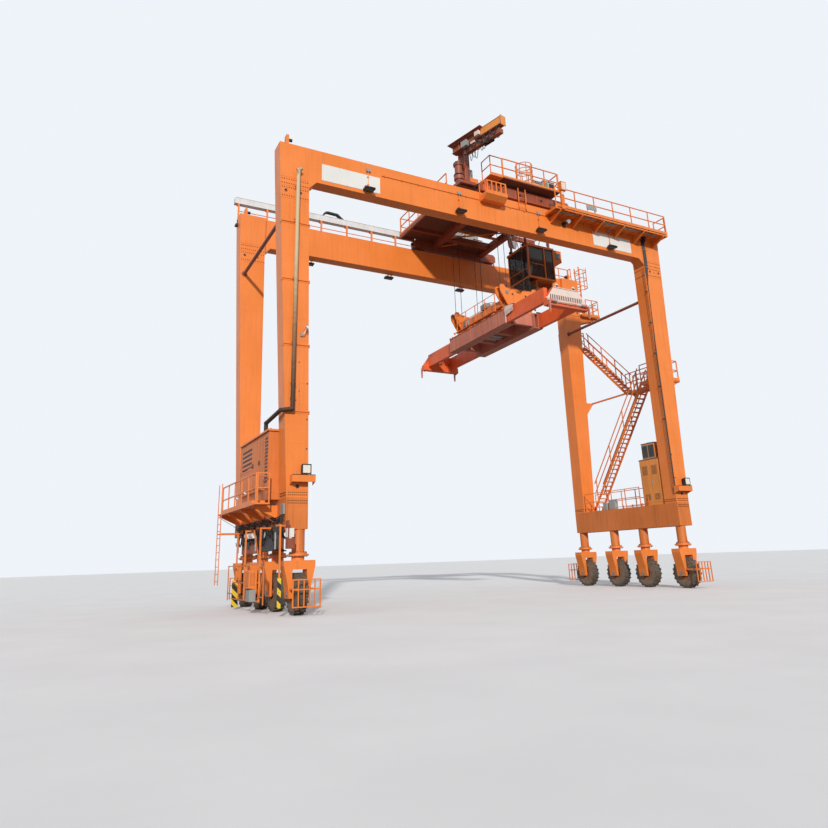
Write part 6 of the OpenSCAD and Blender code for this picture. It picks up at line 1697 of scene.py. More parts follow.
class CRANE_OT_deck_fittings(Operator):
    """Gratings, cabinets, round basket, rails, lamp post, boxes and cables on the trolley's deck"""
    bl_idname = "crane.deck_fittings"
    bl_label = "Deck Fittings"

    def execute(self, context):
        bars = []
        for x0, x1, y0, y1, z in ((0.28, 3.92, -4.28, -3.52, RAISED_DECK_Z),
                                  (-1.83, 0.30, -3.36, -3.24, DECK_Z),
                                  (0.36, 3.94, 2.52, 3.36, DECK_Z), (0.36, 3.94, -3.36, -2.52, DECK_Z)):
            bars.append(row(box((x0, y0, z), (x1, y0 + 0.006, z + 0.007)), max(2, int((y1 - y0) / 0.036)),
                            (0, 0.036, 0)))
            bars.append(row(box((x0, y0, z), (x0 + 0.006, y1, z + 0.006)), int((x1 - x0) / 0.11),
                            (0.11, 0, 0)))
        piece("deck_gratings", bars, "grating", "trolley")
        kick = boxes((-0.53, -4.322, RAISED_DECK_Z, 3.96, -4.316, 20.56),
                     (-0.53, -4.316, 20.40, 0.25, -3.50, 20.458),
                     (3.954, -4.31, RAISED_DECK_Z, 3.960, -3.42, 20.56),
                     (-1.85, -1.95, DECK_Z, -1.844, 3.35, 20.38))
        piece("deck_kick_plates", kick, "orange", "trolley", bevel=0.002)
        grey = boxes((2.95, -4.20, RAISED_DECK_Z, 3.72, -3.90, 20.98),
                     (1.15, 2.75, DECK_Z, 2.25, 3.25, 21.45), (2.45, 2.80, DECK_Z, 3.35, 3.25, 21.10))
        piece("deck_grey_cabinets", grey, "beige", "trolley", bevel=0.01)
        lids = boxes((2.93, -4.215, 20.965, 3.74, -3.885, 20.995),
                     (3.725, -4.17, 20.52, 3.735, -3.93, 20.92), (1.20, 2.74, 20.34, 1.68, 2.752, 21.40),
                     (1.72, 2.74, 20.34, 2.20, 2.752, 21.40), (2.50, 2.79, 20.34, 3.30, 2.802, 21.05))
        piece("deck_cabinet_lids", lids, "grey", "trolley", bevel=0.003)
        # The row of dark bars is painted shade in the vent slots
        dark = [row(box((3.0, -4.207, 20.55), (3.25, -4.199, 20.57)), 8, (0, 0, 0.045)),
                box((3.34, -4.206, 20.52), (3.68, -4.199, 20.90))]
        piece("deck_cabinet_vents", dark, "dark", "trolley")
        cream = [disc((2.75, -4.0, 20.93), 0.085, 0.62, "X", 24),
                 box((2.46, -4.02, RAISED_DECK_Z), (2.50, -3.98, 20.90)),
                 box((2.98, -4.02, 20.90), (3.02, -3.98, 20.99)),
                 disc((2.43, -4.0, 20.93), 0.10, 0.03, "X", 24)]
        piece("deck_air_cylinder", cream, "cover", "trolley", bevel=0.004)
        ring = []
        hoop_x, hoop_y, hoop_r = 2.20, -3.62, 0.45
        for z in (21.35, 21.66, 21.98):
            ring.append(tube(circle(hoop_x, hoop_y, z, hoop_r), 0.020, 8, True))
        for a in range(22, 360, 45):
            c, s = math.cos(math.radians(a)), math.sin(math.radians(a))
            ring.append(box((hoop_x + hoop_r * c - 0.016, hoop_y + hoop_r * s - 0.016, RAISED_DECK_Z),
                            (hoop_x + hoop_r * c + 0.016, hoop_y + hoop_r * s + 0.016, 21.99)))
        piece("round_basket_rail", ring, "orange", "trolley")
        inner = [disc((hoop_x, hoop_y, 20.64), 0.27, 0.36, "Z", 28),
                 disc((hoop_x, hoop_y, 20.86), 0.20, 0.10, "Z", 28),
                 disc((hoop_x, hoop_y, 20.98), 0.09, 0.20, "Z", 20)]
        piece("basket_winch", inner, "grey", "trolley", bevel=0.006)
        side = [box((x - 0.019, -4.31, RAISED_DECK_Z), (x + 0.019, -4.272, 21.56)) for x in (-0.50, 0.24)]
        side += [box((-0.52, -4.31, z), (0.28, -4.272, z + 0.038)) for z in (20.98, 21.522)]
        side += [box((-0.52, -4.31, z), (-0.482, -3.52, z + 0.038)) for z in (20.98, 21.522)]
        side += boxes((-0.52, -3.55, RAISED_DECK_Z, -0.482, -3.51, 21.56),
                      (-0.40, -3.72, DECK_Z, -0.30, -3.50, 20.40))
        piece("deck_side_rail", side, "orange", "trolley")
        posts = boxes((-1.62, 0.9, DECK_Z, -1.55, 0.97, 21.9), (-1.66, 0.82, 21.85, -1.51, 1.05, 22.05))
        piece("deck_lamp_post", posts, "orange", "trolley", bevel=0.004)
        small = boxes((-1.10, -3.32, DECK_Z, -0.62, -3.02, 20.62),
                      (-0.44, -3.30, DECK_Z, -0.16, -3.08, 20.55))
        piece("deck_orange_boxes", small, "orange", "trolley", bevel=0.01)
        piece("deck_lamp_shade", disc((-1.585, 0.80, 21.95), 0.09, 0.06, "Y", 20), "dark", "trolley")
        loops = []
        for i, (a, b, d) in enumerate((((-1.40, -2.60, 20.5), (-0.36, -2.35, 20.9), 0.16),
                                       ((-1.35, -2.50, 20.6), (0.10, -2.20, 20.5), 0.12),
                                       ((-1.45, -2.30, 20.45), (-0.95, -1.50, 20.45), 0.10),
                                       ((0.75, -3.05, 20.62), (2.1, -3.1, 20.55), 0.10))):
            loops.append(tube(sagging(a, b, d, 16), 0.018 if i % 2 else 0.024))
        piece("deck_cables", loops, "cable", "trolley")
        hanger = [tube([(-0.30, 3.36, 20.92), (-0.30, 3.90, 20.92)], 0.025),
                  ball((-0.30, 3.90, 20.92), 0.03, 12)]
        hanger.append(box((-0.42, 3.30, DECK_Z), (-0.18, 3.42, 20.95)))
        piece("chain_towing_arm", hanger, "orange", "trolley")
        return {"FINISHED"}


class CRANE_OT_festoon(Operator):
    """Festoon loops between the trolley and the cab"""
    bl_idname = "crane.festoon"
    bl_label = "Festoon"

    def execute(self, context):
        tones = {"white": [], "blue": [], "warm": []}
        for i, key in enumerate(("white", "blue", "warm", "white", "blue", "white", "blue", "warm")):
            y = -0.28 + 0.08 * i
            loop = sagging((3.46 + 0.03 * i, y, 19.96), (4.02 - 0.02 * i, y, 19.94), 1.12 - 0.05 * i, 20)
            tones[key].append(tube(loop, 0.020))
        piece("festoon_white", tones["white"], "cover", "trolley")
        piece("festoon_blue", tones["blue"], "cable_blue", "trolley")
        piece("festoon_orange", tones["warm"], "orange", "trolley")
        clamps = boxes((3.44, -0.32, 19.94, 3.70, 0.32, 19.99), (3.85, -0.32, 19.93, 4.05, 0.32, 19.98))
        piece("festoon_clamps", clamps, "steel", "trolley", bevel=0.004)
        return {"FINISHED"}
# ---------------------------------------------------------------- cab
class CRANE_OT_cab_fittings(Operator):
    """Gaskets, rails, wiper, console, seat cushions and cooling unit of the driver's cab"""
    bl_idname = "crane.cab_fittings"
    bl_label = "Cab Fittings"

    def execute(self, context):
        # The cab's front and back, its side, its floor and its roof, and the post between its windows
        x0, x1, y1, z0, z1 = 4.10, 6.0, 0.95, 16.90, 18.96
        mid = x0 + 1.9 * 0.6
        gasket = []
        for a, b in ((x0 + 0.09, mid), (mid + 0.09, x1 - 0.06)):
            for z in (z0 + 0.09, z1 - 0.135):
                gasket.append(box((a, y1 - 0.052, z), (b, y1 - 0.03, z + 0.025)))
            for x in (a, b - 0.022):
                gasket.append(box((x, y1 - 0.052, z0 + 0.09), (x + 0.022, y1 - 0.03, z1 - 0.11)))
        sides = mirrored(gasket, "Y")
        front = [box((x0 + 0.016, -0.86, z), (x0 + 0.03, 0.86, z + 0.025))
                 for z in (z0 + 0.09, z0 + 0.95, z1 - 0.135)]
        front += [box((x0 + 0.016, y - 0.011, z0 + 0.09), (x0 + 0.03, y + 0.011, z1 - 0.11))
                  for y in (-0.85, -0.28, 0.28, 0.85)]
        piece("cab_gaskets", sides + front, "dark", "trolley")
        trim = boxes((x0 - 0.03, -1.0, z1 - 0.02, x1 + 0.01, 1.0, z1 + 0.012),
                     (x0 - 0.045, -0.99, z1 - 0.14, x0 - 0.01, 0.99, z1 - 0.10),
                     (mid + 0.02, -0.985, z0 + 0.02, mid + 0.07, -0.945, z1 - 0.12),
                     (x0 + 0.02, -0.972, z0 - 0.02, x1, -0.945, z0 + 0.03),
                     (x1 - 0.01, -0.93, z0 + 0.05, x1 + 0.012, -0.05, z1 - 0.80))
        piece("cab_trims", trim, "orange", "trolley", bevel=0.004)
        rails = []
        for y in (-0.99, 0.99):
            rails.append(tube(rounded([(x0 + 0.15, y * 0.96, z0 + 0.85), (x0 + 0.15, y * 1.03, z0 + 0.85),
                                       (mid - 0.1, y * 1.03, z0 + 0.85), (mid - 0.1, y * 0.96, z0 + 0.85)],
                                      0.05), 0.016))
        rails.append(tube(rounded([(x0 - 0.02, -0.75, z0 + 0.55), (x0 - 0.075, -0.75, z0 + 0.55),
                                   (x0 - 0.075, 0.75, z0 + 0.55), (x0 - 0.02, 0.75, z0 + 0.55)], 0.05),
                          0.016))
        piece("cab_handrails", rails, "orange", "trolley")
        wiper = [disc((x0 - 0.01, 0.1, z0 + 0.30), 0.03, 0.05, "X", 16),
                 bar_between((x0 - 0.028, 0.1, z0 + 0.30), (x0 - 0.028, 0.42, z0 + 0.95), 0.014),
                 bar_between((x0 - 0.02, 0.36, z0 + 0.72), (x0 - 0.02, 0.46, z0 + 1.15), 0.012, 0.02)]
        piece("cab_wiper", wiper, "dark", "trolley")
        seat = boxes((5.02, -0.25, 17.45, 5.50, 0.25, 17.55), (5.44, -0.22, 17.56, 5.55, 0.22, 18.22),
                     (5.50, -0.14, 18.2, 5.60, 0.14, 18.40))
        piece("cab_seat_cushions", seat, "seat", "trolley", bevel=0.035)
        console = [box((4.86, s * 0.34 - 0.09, 17.30), (5.36, s * 0.34 + 0.09, 17.72)) for s in (-1, 1)]
        console.append(box((4.30, -0.30, 16.99), (4.42, 0.30, 17.45)))
        piece("cab_console", console, "grey", "trolley", bevel=0.012)
        levers = []
        for s in (-1, 1):
            levers.append(disc((4.94, s * 0.34, 17.80), 0.012, 0.18, "Z", 10))
            levers.append(ball((4.94, s * 0.34, 17.90), 0.030, 12))
            levers.append(row(disc((5.06, s * 0.34 - 0.045, 17.728), 0.014, 0.02, "Z", 10), 4, (0.07, 0, 0)))
        levers.append(box((4.52, -0.78, 17.85), (4.56, -0.48, 18.10)))
        piece("cab_levers", levers, "dark", "trolley")
        unit = boxes((5.995, -0.965, 18.86, 6.58, -0.035, 18.91),
                     (5.995, -0.965, 18.19, 6.58, -0.035, 18.22),
                     (6.545, -0.958, 18.22, 6.572, -0.912, 18.86),
                     (6.545, -0.088, 18.22, 6.572, -0.042, 18.86))
        piece("cooling_unit_casing", unit, "orange", "trolley", bevel=0.006)
        # The dark plate behind the fins and the dark bars are painted shade inside the grille
        grille = [box((6.12, -0.958, 18.34), (6.46, -0.948, 18.74)),
                  row(box((6.562, -0.85, 18.28), (6.570, -0.15, 18.30)), 12, (0, 0, 0.045))]
        piece("cooling_unit_grille", grille, "dark", "trolley")
        fins = row(box((6.13, -0.964, 18.36), (6.45, -0.958, 18.368)), 14, (0, 0, 0.027))
        piece("cooling_unit_fins", fins, "steel", "trolley")
        hose = [tube(rounded([(6.2, -0.5, 18.92), (6.2, -0.5, 19.15), (5.9, -0.55, 19.3),
                              (5.9, -0.62, 19.95)], 0.15), 0.03),
                tube(rounded([(5.4, -0.4, 18.96), (5.4, -0.45, 19.4), (5.5, -0.6, 19.9)], 0.15), 0.02),
                tube(rounded([(4.6, 0.5, 18.96), (4.6, 0.5, 19.5), (4.6, 0.62, 19.95)], 0.15), 0.02)]
        piece("cab_hoses", hose, "cable", "trolley")
        steps = [box((5.2, 0.99, 16.86), (5.9, 1.30, 16.90))]
        steps += [disc((x, 1.27, 17.4), 0.016, 1.0, "Z", 8) for x in (5.24, 5.86)]
        steps += [tube([(5.24, 1.27, z), (5.86, 1.27, z)], 0.016, 8) for z in (17.4, 17.9)]
        piece("cab_side_step", steps, "orange", "trolley")
        lamps = [box((4.02, y - 0.10, 18.98), (4.18, y + 0.10, 19.10)) for y in (-0.62, 0.62)]
        piece("cab_floodlights", lamps, "dark", "trolley", bevel=0.01)
        braces = [bar_between((4.21, -0.70, 19.0), (5.86, -0.70, 19.92), 0.05),
                  bar_between((4.21, 0.70, 19.0), (5.86, 0.70, 19.92), 0.05),
                  bar_between((5.89, -0.66, 19.0), (5.89, 0.66, 19.92), 0.05)]
        piece("cab_hanger_braces", braces, "trolley", "trolley")
        return {"FINISHED"}


# ---------------------------------------------------------------- service jib
# The jib's stored place: the axis of its post, and its turn
JIB = Matrix.Translation((-1.64, -3.05, 0)) @ Matrix.Rotation(math.radians(14), 4, "Z")


def on_jib(parts):
    """Turns parts modelled in the jib's own frame to its stored place."""
    out = []
    for o in parts:
        apply_place(o)
        o.matrix_world = JIB
        out.append(apply_place(o))
    return out


class CRANE_OT_jib_fittings(Operator):
    """Clamp bands, boxes, hoist, stiffeners, sheet ribs and cables of the service jib, with painted highlight strips
    on its flange edges and lit plates in a brighter orange as painted light
    """
    bl_idname = "crane.jib_fittings"
    bl_label = "Service Jib Fittings"

    def execute(self, context):
        dark = [disc((0, 0, 21.40), 0.272, 0.05, "Z", 36), box((0.20, -0.10, 21.37), (0.32, 0.10, 21.43)),
                disc((0, 0, 20.74), 0.272, 0.04, "Z", 36)]
        piece("jib_clamp_bands", on_jib(dark), "dark", "jib", bevel=0.004)
        ribs = []
        for y in (-2.6, -2.0, -1.4, -0.8, -0.2):
            ribs.append(box((-0.10, y - 0.006, 22.18), (-0.04, y + 0.006, 22.57)))
            ribs.append(box((0.16, y - 0.006, 22.18), (0.22, y + 0.006, 22.57)))
        ribs += boxes((0.265, -0.235, 20.50, 0.275, -0.19, 22.10),
                      (0.265, 0.19, 20.50, 0.275, 0.235, 22.10), (0.27, -0.24, 20.44, 0.62, 0.24, 20.46))
        piece("jib_stiffeners", on_jib(ribs), "trolley", "jib", bevel=0.003)
        web = boxes((-0.125, -3.145, 22.09, 0.245, -3.135, 22.636),
                    (-0.105, -3.13, 22.20, -0.099, -1.78, 22.56))
        piece("jib_sunlit_plates", on_jib(web), "house", "jib", bevel=0.002)
        # Pale strips along the flange edges are painted highlight
        edge = boxes((-0.114, -3.1, 22.592, -0.098, 0.3, 22.603), (0.218, -3.1, 22.592, 0.233, 0.3, 22.603))
        piece("jib_flange_edges", on_jib(edge), "cover", "jib")
        roof = []
        for x in (-0.30, -0.12, 0.06, 0.24, 0.42):
            roof.append(box((x, -1.9, 22.62), (x + 0.02, 0.4, 22.637)))
        roof.append(tube([(0.56, -1.92 + 0.05 * i, 22.61) for i in (0, 46)], 0.02, 8))
        roof.append(box((0.545, -1.92, 22.50), (0.562, 0.42, 22.61)))
        piece("jib_roof_ribs", on_jib(roof), "grey", "jib")
        cream = boxes((-0.26, -1.76, 22.22, -0.10, -1.46, 22.46), (-0.14, -1.35, 22.02, -0.06, -1.05, 22.14))
        piece("jib_cream_boxes", on_jib(cream), "cover", "jib", bevel=0.006)
        grey = boxes((-0.32, -0.95, 21.99, -0.12, -0.55, 22.32),
                     (0.621, -0.206, 20.615, 0.846, 0.186, 21.276), (0.846, -0.17, 20.66, 0.855, 0.15, 21.23))
        piece("jib_grey_boxes", on_jib(grey), "grey", "jib", bevel=0.006)
        hoist = boxes((-0.08, -2.40, 21.64, -0.062, -1.76, 21.78),
                      (0.182, -2.40, 21.64, 0.20, -1.76, 21.78),
                      (-0.062, -2.30, 21.64, 0.182, -2.24, 21.70),
                      (-0.062, -1.92, 21.64, 0.182, -1.86, 21.70))
        for y in (-2.34, -1.82):
            for x in (-0.07, 0.19):
                hoist.append(disc((x, y, 21.76), 0.05, 0.03, "X", 20))
        piece("jib_trolley_plates", on_jib(hoist), "dark", "jib", bevel=0.004)
        rods = [tube([(x, -2.55, 22.16), (x, -3.12, 22.17)], 0.014, 8) for x in (-0.07, 0.19)]
        rods.append(tube([(-0.09, -3.125, 22.17), (0.21, -3.125, 22.17)], 0.012, 8))
        piece("jib_end_rods", on_jib(rods), "dark", "jib")
        cables = []
        for i in range(5):
            a, b = -2.85 + 0.45 * i, -2.40 + 0.45 * i
            for x, drop in ((-0.11, 0.42), (-0.095, 0.30), (0.235, 0.40)):
                cables.append(tube(sagging((x, a, 22.14), (x, b, 22.14), drop, 14), 0.016))
        for x, a, b, drop in ((-0.06, -0.42, -0.74, 0.72), (0.02, -0.80, -1.06, 0.84),
                              (0.08, -0.92, -1.24, 0.70),
                              (0.15, -1.02, -1.34, 0.78), (0.05, -1.52, -1.80, 0.60),
                              (0.12, -1.58, -1.92, 0.52)):
            cables.append(tube(sagging((x, a, 22.02), (x, b, 22.02), drop, 18), 0.016))
        cables.append(tube(sagging((0.3, -0.20, 22.1), (0.75, 0.0, 21.2), 0.12, 12), 0.018))
        cables.append(tube(sagging((0.2, -0.6, 22.1), (0.5, -0.25, 21.4), 0.25, 12), 0.018))
        piece("jib_cables", on_jib(cables), "cable", "jib")
        return {"FINISHED"}
# ---------------------------------------------------------------- headblock and spreader
class CRANE_OT_headblock_fittings(Operator):
    """Ears, crown holes, pin caps, sheave guards, cable basket, rails and hoses of the headblock"""
    bl_idname = "crane.headblock_fittings"
    bl_label = "Headblock Fittings"

    def execute(self, context):
        caps, holes, rims, ears = [], [], [], []
        for x in (MID_X - SHEAVE_X, MID_X + SHEAVE_X):
            caps.append(disc((x, 2.51, SHEAVE_Z), 0.105, 0.05, "Y", 28))
            caps.append(disc((x, 2.535, SHEAVE_Z), 0.055, 0.04, "Y", 6))
        # The dark discs are painted shade inside the crown holes
        for x in (MID_X - 0.42, MID_X + 0.42):
            holes.append(disc((x, 2.505, 14.83), 0.055, 0.014, "Y", 24))
            rims.append(disc((x, 2.503, 14.83), 0.075, 0.010, "Y", 24))
        for x in (MID_X - 0.98, MID_X + 0.98):
            holes.append(disc((x, 2.505, 14.14), 0.05, 0.014, "Y", 20))
            rims.append(disc((x, 2.503, 14.14), 0.068, 0.010, "Y", 20))
        ears.append(box((MID_X - 1.17, 2.49, 13.88), (MID_X + 1.17, 2.515, 13.94)))
        ears.append(box((MID_X - 0.30, 2.44, 13.94), (MID_X - 0.28, 2.52, 14.30)))
        ears.append(box((MID_X + 0.28, 2.44, 13.94), (MID_X + 0.30, 2.52, 14.30)))
        for x in (MID_X - SHEAVE_X, MID_X + SHEAVE_X):
            ears.append(box((x - 0.34, 2.10, 15.18), (x + 0.34, 2.42, 15.20)))
        for key, parts, paint in (("pin_caps", caps, "steel"), ("crown_holes", holes, "dark"),
                                   ("crown_rims", rims, "orange"), ("crown_ribs", ears, "orange")):
            edge = 0 if key == "crown_holes" else 0.002
            piece("headblock_" + key, mirrored(parts, "Y"), paint, "hoist", bevel=edge)
        basket = []
        for z, r in ((14.36, 0.40), (14.62, 0.44), (14.88, 0.48), (15.12, 0.52)):
            basket.append(tube(circle(MID_X, 0, z, r), 0.014, 6, True))
        for a in range(0, 360, 24):
            c, s = math.cos(math.radians(a)), math.sin(math.radians(a))
            basket.append(tube([(MID_X + 0.40 * c, 0.40 * s, 14.34), (MID_X + 0.52 * c, 0.52 * s, 15.13)],
                               0.009, 6))
        basket.append(disc((MID_X, 0, 14.34), 0.40, 0.02, "Z", 28))
        coil = []
        for i in range(6):
            coil.append(tube(circle(MID_X, 0, 14.40 + 0.055 * i, 0.34 + 0.012 * (i % 3)), 0.026, 8, True))
        piece("headblock_basket", basket, "dark", "hoist")
        piece("headblock_basket_cable", coil, "cable", "hoist")
        rails = []
        for s in (-1, 1):
            x = MID_X + s * 1.15
            for y in (-1.9, -0.95, 0, 0.95, 1.9):
                rails.append(box((x - 0.018, y - 0.018, 13.98), (x + 0.018, y + 0.018, 14.98)))
            for z in (14.46, 14.96):
                rails.append(tube([(x, -1.92, z), (x, 1.92, z)], 0.018, 8))
            rails.append(box((x - 0.13, -1.95, 13.96), (x + 0.03, 1.95, 13.99)))
        piece("headblock_handrails", rails, "orange", "hoist")
        hoses = []
        for i in range(4):
            for s in (-1, 1):
                start = (MID_X + s * (0.5 - 0.32 * i), s * 2.0, 14.12)
                end = (MID_X + s * (0.3 - 0.2 * i), s * 0.5, 14.10)
                hoses.append(tube(sagging(start, end, 0.16 + 0.03 * i, 14), 0.020))
        piece("headblock_hoses", hoses, "cable", "hoist")
        cases = boxes((MID_X - 0.92, -0.72, 14.62, MID_X - 0.58, -0.20, 14.92),
                      (MID_X + 0.55, 0.25, 14.62, MID_X + 0.90, 0.75, 14.98),
                      (MID_X - 0.90, 1.15, 14.28, MID_X - 0.56, 1.65, 14.60))
        piece("headblock_boxes", cases, "grey", "hoist", bevel=0.01)
        guards = []
        for x in (MID_X - SHEAVE_X, MID_X + SHEAVE_X):
            for y in (-2.39, -2.13, 2.13, 2.39):
                guards.append(box((x - 0.30, y - 0.006, 15.10), (x + 0.30, y + 0.006, 15.19)))
        piece("sheave_guards", guards, "orange", "hoist")
        return {"FINISHED"}


class CRANE_OT_spreader_fittings(Operator):
    """Ribs, lightening holes, rub strips, drive and hoses of the spreader's main frame"""
    bl_idname = "crane.spreader_fittings"
    bl_label = "Spreader Fittings"

    def execute(self, context):
        ribs, holes, dark, steel = [], [], [], []
        for x, out in ((MID_X + 1.18, 1), (MID_X - 1.18, -1)):
            for z in (13.05, 13.81):
                ribs.append(box((x, -2.74, z), (x + out * 0.03, 2.74, z + 0.03)))
            for y in (-2.2, -1.3, -0.4, 0.5, 1.4, 2.3):
                ribs.append(box((x, y - 0.01, 13.08), (x + out * 0.028, y + 0.01, 13.81)))
            # The dark discs are painted shade in the lightening holes
            for y in (-1.75, -0.85, 0.05, 0.95, 1.85):
                holes.append(disc((x + out * 0.002, y, 13.44), 0.15, 0.012, "X", 28))
                steel.append(disc((x + out * 0.006, y, 13.44), 0.17, 0.006, "X", 28))
        piece("spreader_ribs", ribs, "pink", "hoist", bevel=0.002)
        piece("spreader_hole_rims", steel, "pink", "hoist")
        piece("spreader_holes", holes, "dark", "hoist")
        for y in (-2.75, 2.75):
            s = -1 if y < 0 else 1
            for x in (MID_X - 1.0, MID_X + 1.0):
                dark.append(box((x - 0.17, y, 13.86), (x + 0.17, y + s * 0.02, 13.93)))
        dark.append(box((MID_X - 0.30, -2.50, 13.88), (MID_X + 0.30, -2.06, 13.97)))
        piece("spreader_rub_strips", dark, "dark", "hoist", bevel=0.004)
        drive = [box((MID_X - 0.32, -0.36, 13.22), (MID_X + 0.32, 0.36, 13.52)),
                 disc((MID_X, 0.0, 13.60), 0.16, 0.2, "Z", 28),
                 box((MID_X - 0.60, -0.72, 13.25), (MID_X - 0.36, -0.40, 13.50))]
        piece("spreader_drive", drive, "grey", "hoist", bevel=0.01)
        bed = boxes((MID_X - 0.66, -0.70, 13.18, MID_X - 0.56, 0.72, 13.24),
                    (MID_X + 0.56, -0.70, 13.18, MID_X + 0.66, 0.72, 13.24),
                    (MID_X - 0.66, -0.05, 13.19, MID_X + 0.66, 0.05, 13.23))
        piece("spreader_drive_bed", bed, "pink", "hoist")
        loops = []
        for x, y, end_x, end_y in ((-0.6, -1.0, -0.2, -2.4), (0.6, -1.0, 0.3, -2.4), (-0.5, 1.0, -0.2, 2.3),
                                   (0.5, 1.0, 0.2, 2.3)):
            loops.append(tube(sagging((MID_X + x, y, 13.86), (MID_X + end_x, end_y, 13.80), 0.22, 14), 0.018))
        piece("spreader_hoses", loops, "cable", "hoist")
        return {"FINISHED"}


def end_fittings(s):
    """Covers, slots, twistlock housings and motors of the end at +Y (s = 1) or -Y (s = -1)."""
    y1, y2 = s * 5.8425, s * 6.1425
    lock_y = s * 5.9925
    low, high = y2, y2 + s * 0.012
    face = y2 - s * 0.06
    body = "far_end" if s > 0 else "near_end"
    tag = "far" if s > 0 else "near"
    # Dark plates in the cover's slots are painted shade inside the slots
    slots = []
    for i in range(18):
        x = MID_X - 1.0 + i * 0.108
        slots.append(plate([(x, 13.20), (x + 0.05, 13.20), (x + 0.095, 13.42), (x + 0.045, 13.42)], "Y",
                           face + s * 0.004, face + s * 0.007))
    piece(tag + "_end_slots", slots, "dark", body)
    skin = [plate([(MID_X - 1.195, 13.19), (MID_X + 1.195, 13.19), (MID_X + 0.742, 13.798),
                   (MID_X - 0.742, 13.798)], "Y",
                  face, face + s * 0.004),
            box((MID_X - 1.2, y2, 13.02), (MID_X + 1.2, y2 + s * 0.004, 13.12)),
            box((MID_X - 0.74, y1 + s * 0.01, 13.80), (MID_X + 0.74, face, 13.804))]
    piece(tag + "_end_cover_sheet", skin, "cover", body)
    ribs = boxes((MID_X - 1.20, low, 12.87, MID_X + 1.20, high, 12.90),
                 (MID_X - 1.20, low, 13.12, MID_X + 1.20, high, 13.15))
    for x in (MID_X - 1.19, MID_X - 0.62, MID_X - 0.05, MID_X + 0.53, MID_X + 1.16):
        ribs.append(box((x, low, 12.88), (x + 0.02, high, 13.15)))
    ribs.append(box((MID_X - 0.74, min(y1, y2) + 0.02, 13.785), (MID_X + 0.74, max(y1, y2) - 0.08, 13.815)))
    piece(tag + "_end_ribs", ribs, "cover", body, bevel=0.002)
    ears = []
    for x in (MID_X - 0.50, MID_X + 0.50):
        ears.append(box((x - 0.09, y2 - s * 0.10, 13.78), (x + 0.09, y2 - s * 0.07, 13.93)))
        ears.append(disc((x, y2 - s * 0.085, 13.93), 0.09, 0.03, "Y", 24))
    piece(tag + "_end_ears", ears, "cover", body, bevel=0.002)
    locks = []
    for x in (MID_X - 1.1295, MID_X + 1.1295):
        locks.append(box((x - 0.085, lock_y - 0.085, 12.835), (x + 0.075, lock_y + 0.085, 12.86)))
        locks.append(disc((x, lock_y, 13.20), 0.05, 0.14, "Z", 20))
    piece(tag + "_twistlock_housings", locks, "steel", body, bevel=0.004)
    motors = []
    for x in (MID_X - 0.86, MID_X + 0.86):
        motors.append(disc((x, s * 6.235, 13.03), 0.058, 0.22, "X", 24))
        motors.append(box((x - 0.07, s * 6.15, 12.96), (x + 0.07, s * 6.2, 13.10)))
    piece(tag + "_flipper_motors", motors, "grey", body, bevel=0.005)
    beams = []
    reach = 1.03 if s < 0 else 0.80
    for x in (MID_X - reach, MID_X + reach):
        beams.append(row(box((x - 0.09, s * 5.78 - 0.01, 13.10), (x + 0.09, s * 5.78 + 0.01, 13.78)), 2,
                         (0, -s * 0.9, 0)))
    piece(tag + "_beam_plates", beams, "trolley", body)
    fixings = []
    for x in (MID_X - 1.16, MID_X + 1.12):
        for z in (12.75, 12.60):
            fixings.append(disc((x + 0.02, s * 6.2325, z), 0.018, 0.07, "X", 6))
    piece(tag + "_flipper_bolts", fixings, "steel", "far_flip" if s > 0 else "near_flip")


class CRANE_OT_end_fittings(Operator):
    """Fittings of both telescopic ends, the torn cover and the hydraulic loops"""
    bl_idname = "crane.end_fittings"
    bl_label = "Telescopic End Fittings"

    def execute(self, context):
        end_fittings(-1)
        end_fittings(1)
        random.seed(11)
        clear_selection()
        bpy.ops.mesh.primitive_grid_add(x_subdivisions=14, y_subdivisions=10, size=1, location=(0, 0, 0))
        o = bpy.context.object
        for v in o.data.vertices:
            x, y = v.co.x, v.co.y
            v.co = (MID_X - 1.235 - 0.02 * math.cos(7 * y) + random.uniform(-0.012, 0.012),
                    -3.16 + 0.72 * x + random.uniform(-0.01, 0.01),
                    13.66 + (0.42 + 0.22 * x) * y + random.uniform(-0.012, 0.012))
        modify(o, "SOLIDIFY", thickness=0.004)
        lip = box((MID_X - 1.23, -3.50, 13.866), (MID_X - 0.95, -2.78, 13.874))
        collar = box((MID_X - 1.21, -2.83, 13.04), (MID_X - 1.18, -2.76, 13.84))
        piece("beam_torn_cover", [o, lip, collar], "cover", "hoist", smooth=60)
        pipes = []
        for x in (MID_X - 0.42, MID_X - 0.34, MID_X + 0.20):
            for s in (-1, 1):
                pipes.append(tube(rounded([(x, s * 5.85, 13.55), (x, s * 5.78, 13.58),
                                           (x + 0.1, s * 5.78, 13.28),
                                           (x + 0.38, s * 5.78, 13.28), (x + 0.38, s * 5.85, 13.40)], 0.1),
                                  0.014))
        piece("near_end_hoses", pipes[0::2], "cable", "near_end")
        piece("far_end_hoses", pipes[1::2], "cable", "far_end")
        return {"FINISHED"}


# ---------------------------------------------------------------- stage and layout of the script
# The photograph's size and its camera: focal length and horizon in pixels, place, and turns in radians
PHOTO_SIZE = 828
FOCAL_LENGTH = 672.541
PICTURE_CENTRE_Y = 347
SENSOR_WIDTH = 36.0
CAMERA_PLACE = (-18.465, -28.8396, 1.7429)
YAW = 0.4924
PITCH = 0.3073
ROLL = -0.034
SUNLIGHT_ALONG = (0.37, 0.85, -0.38)


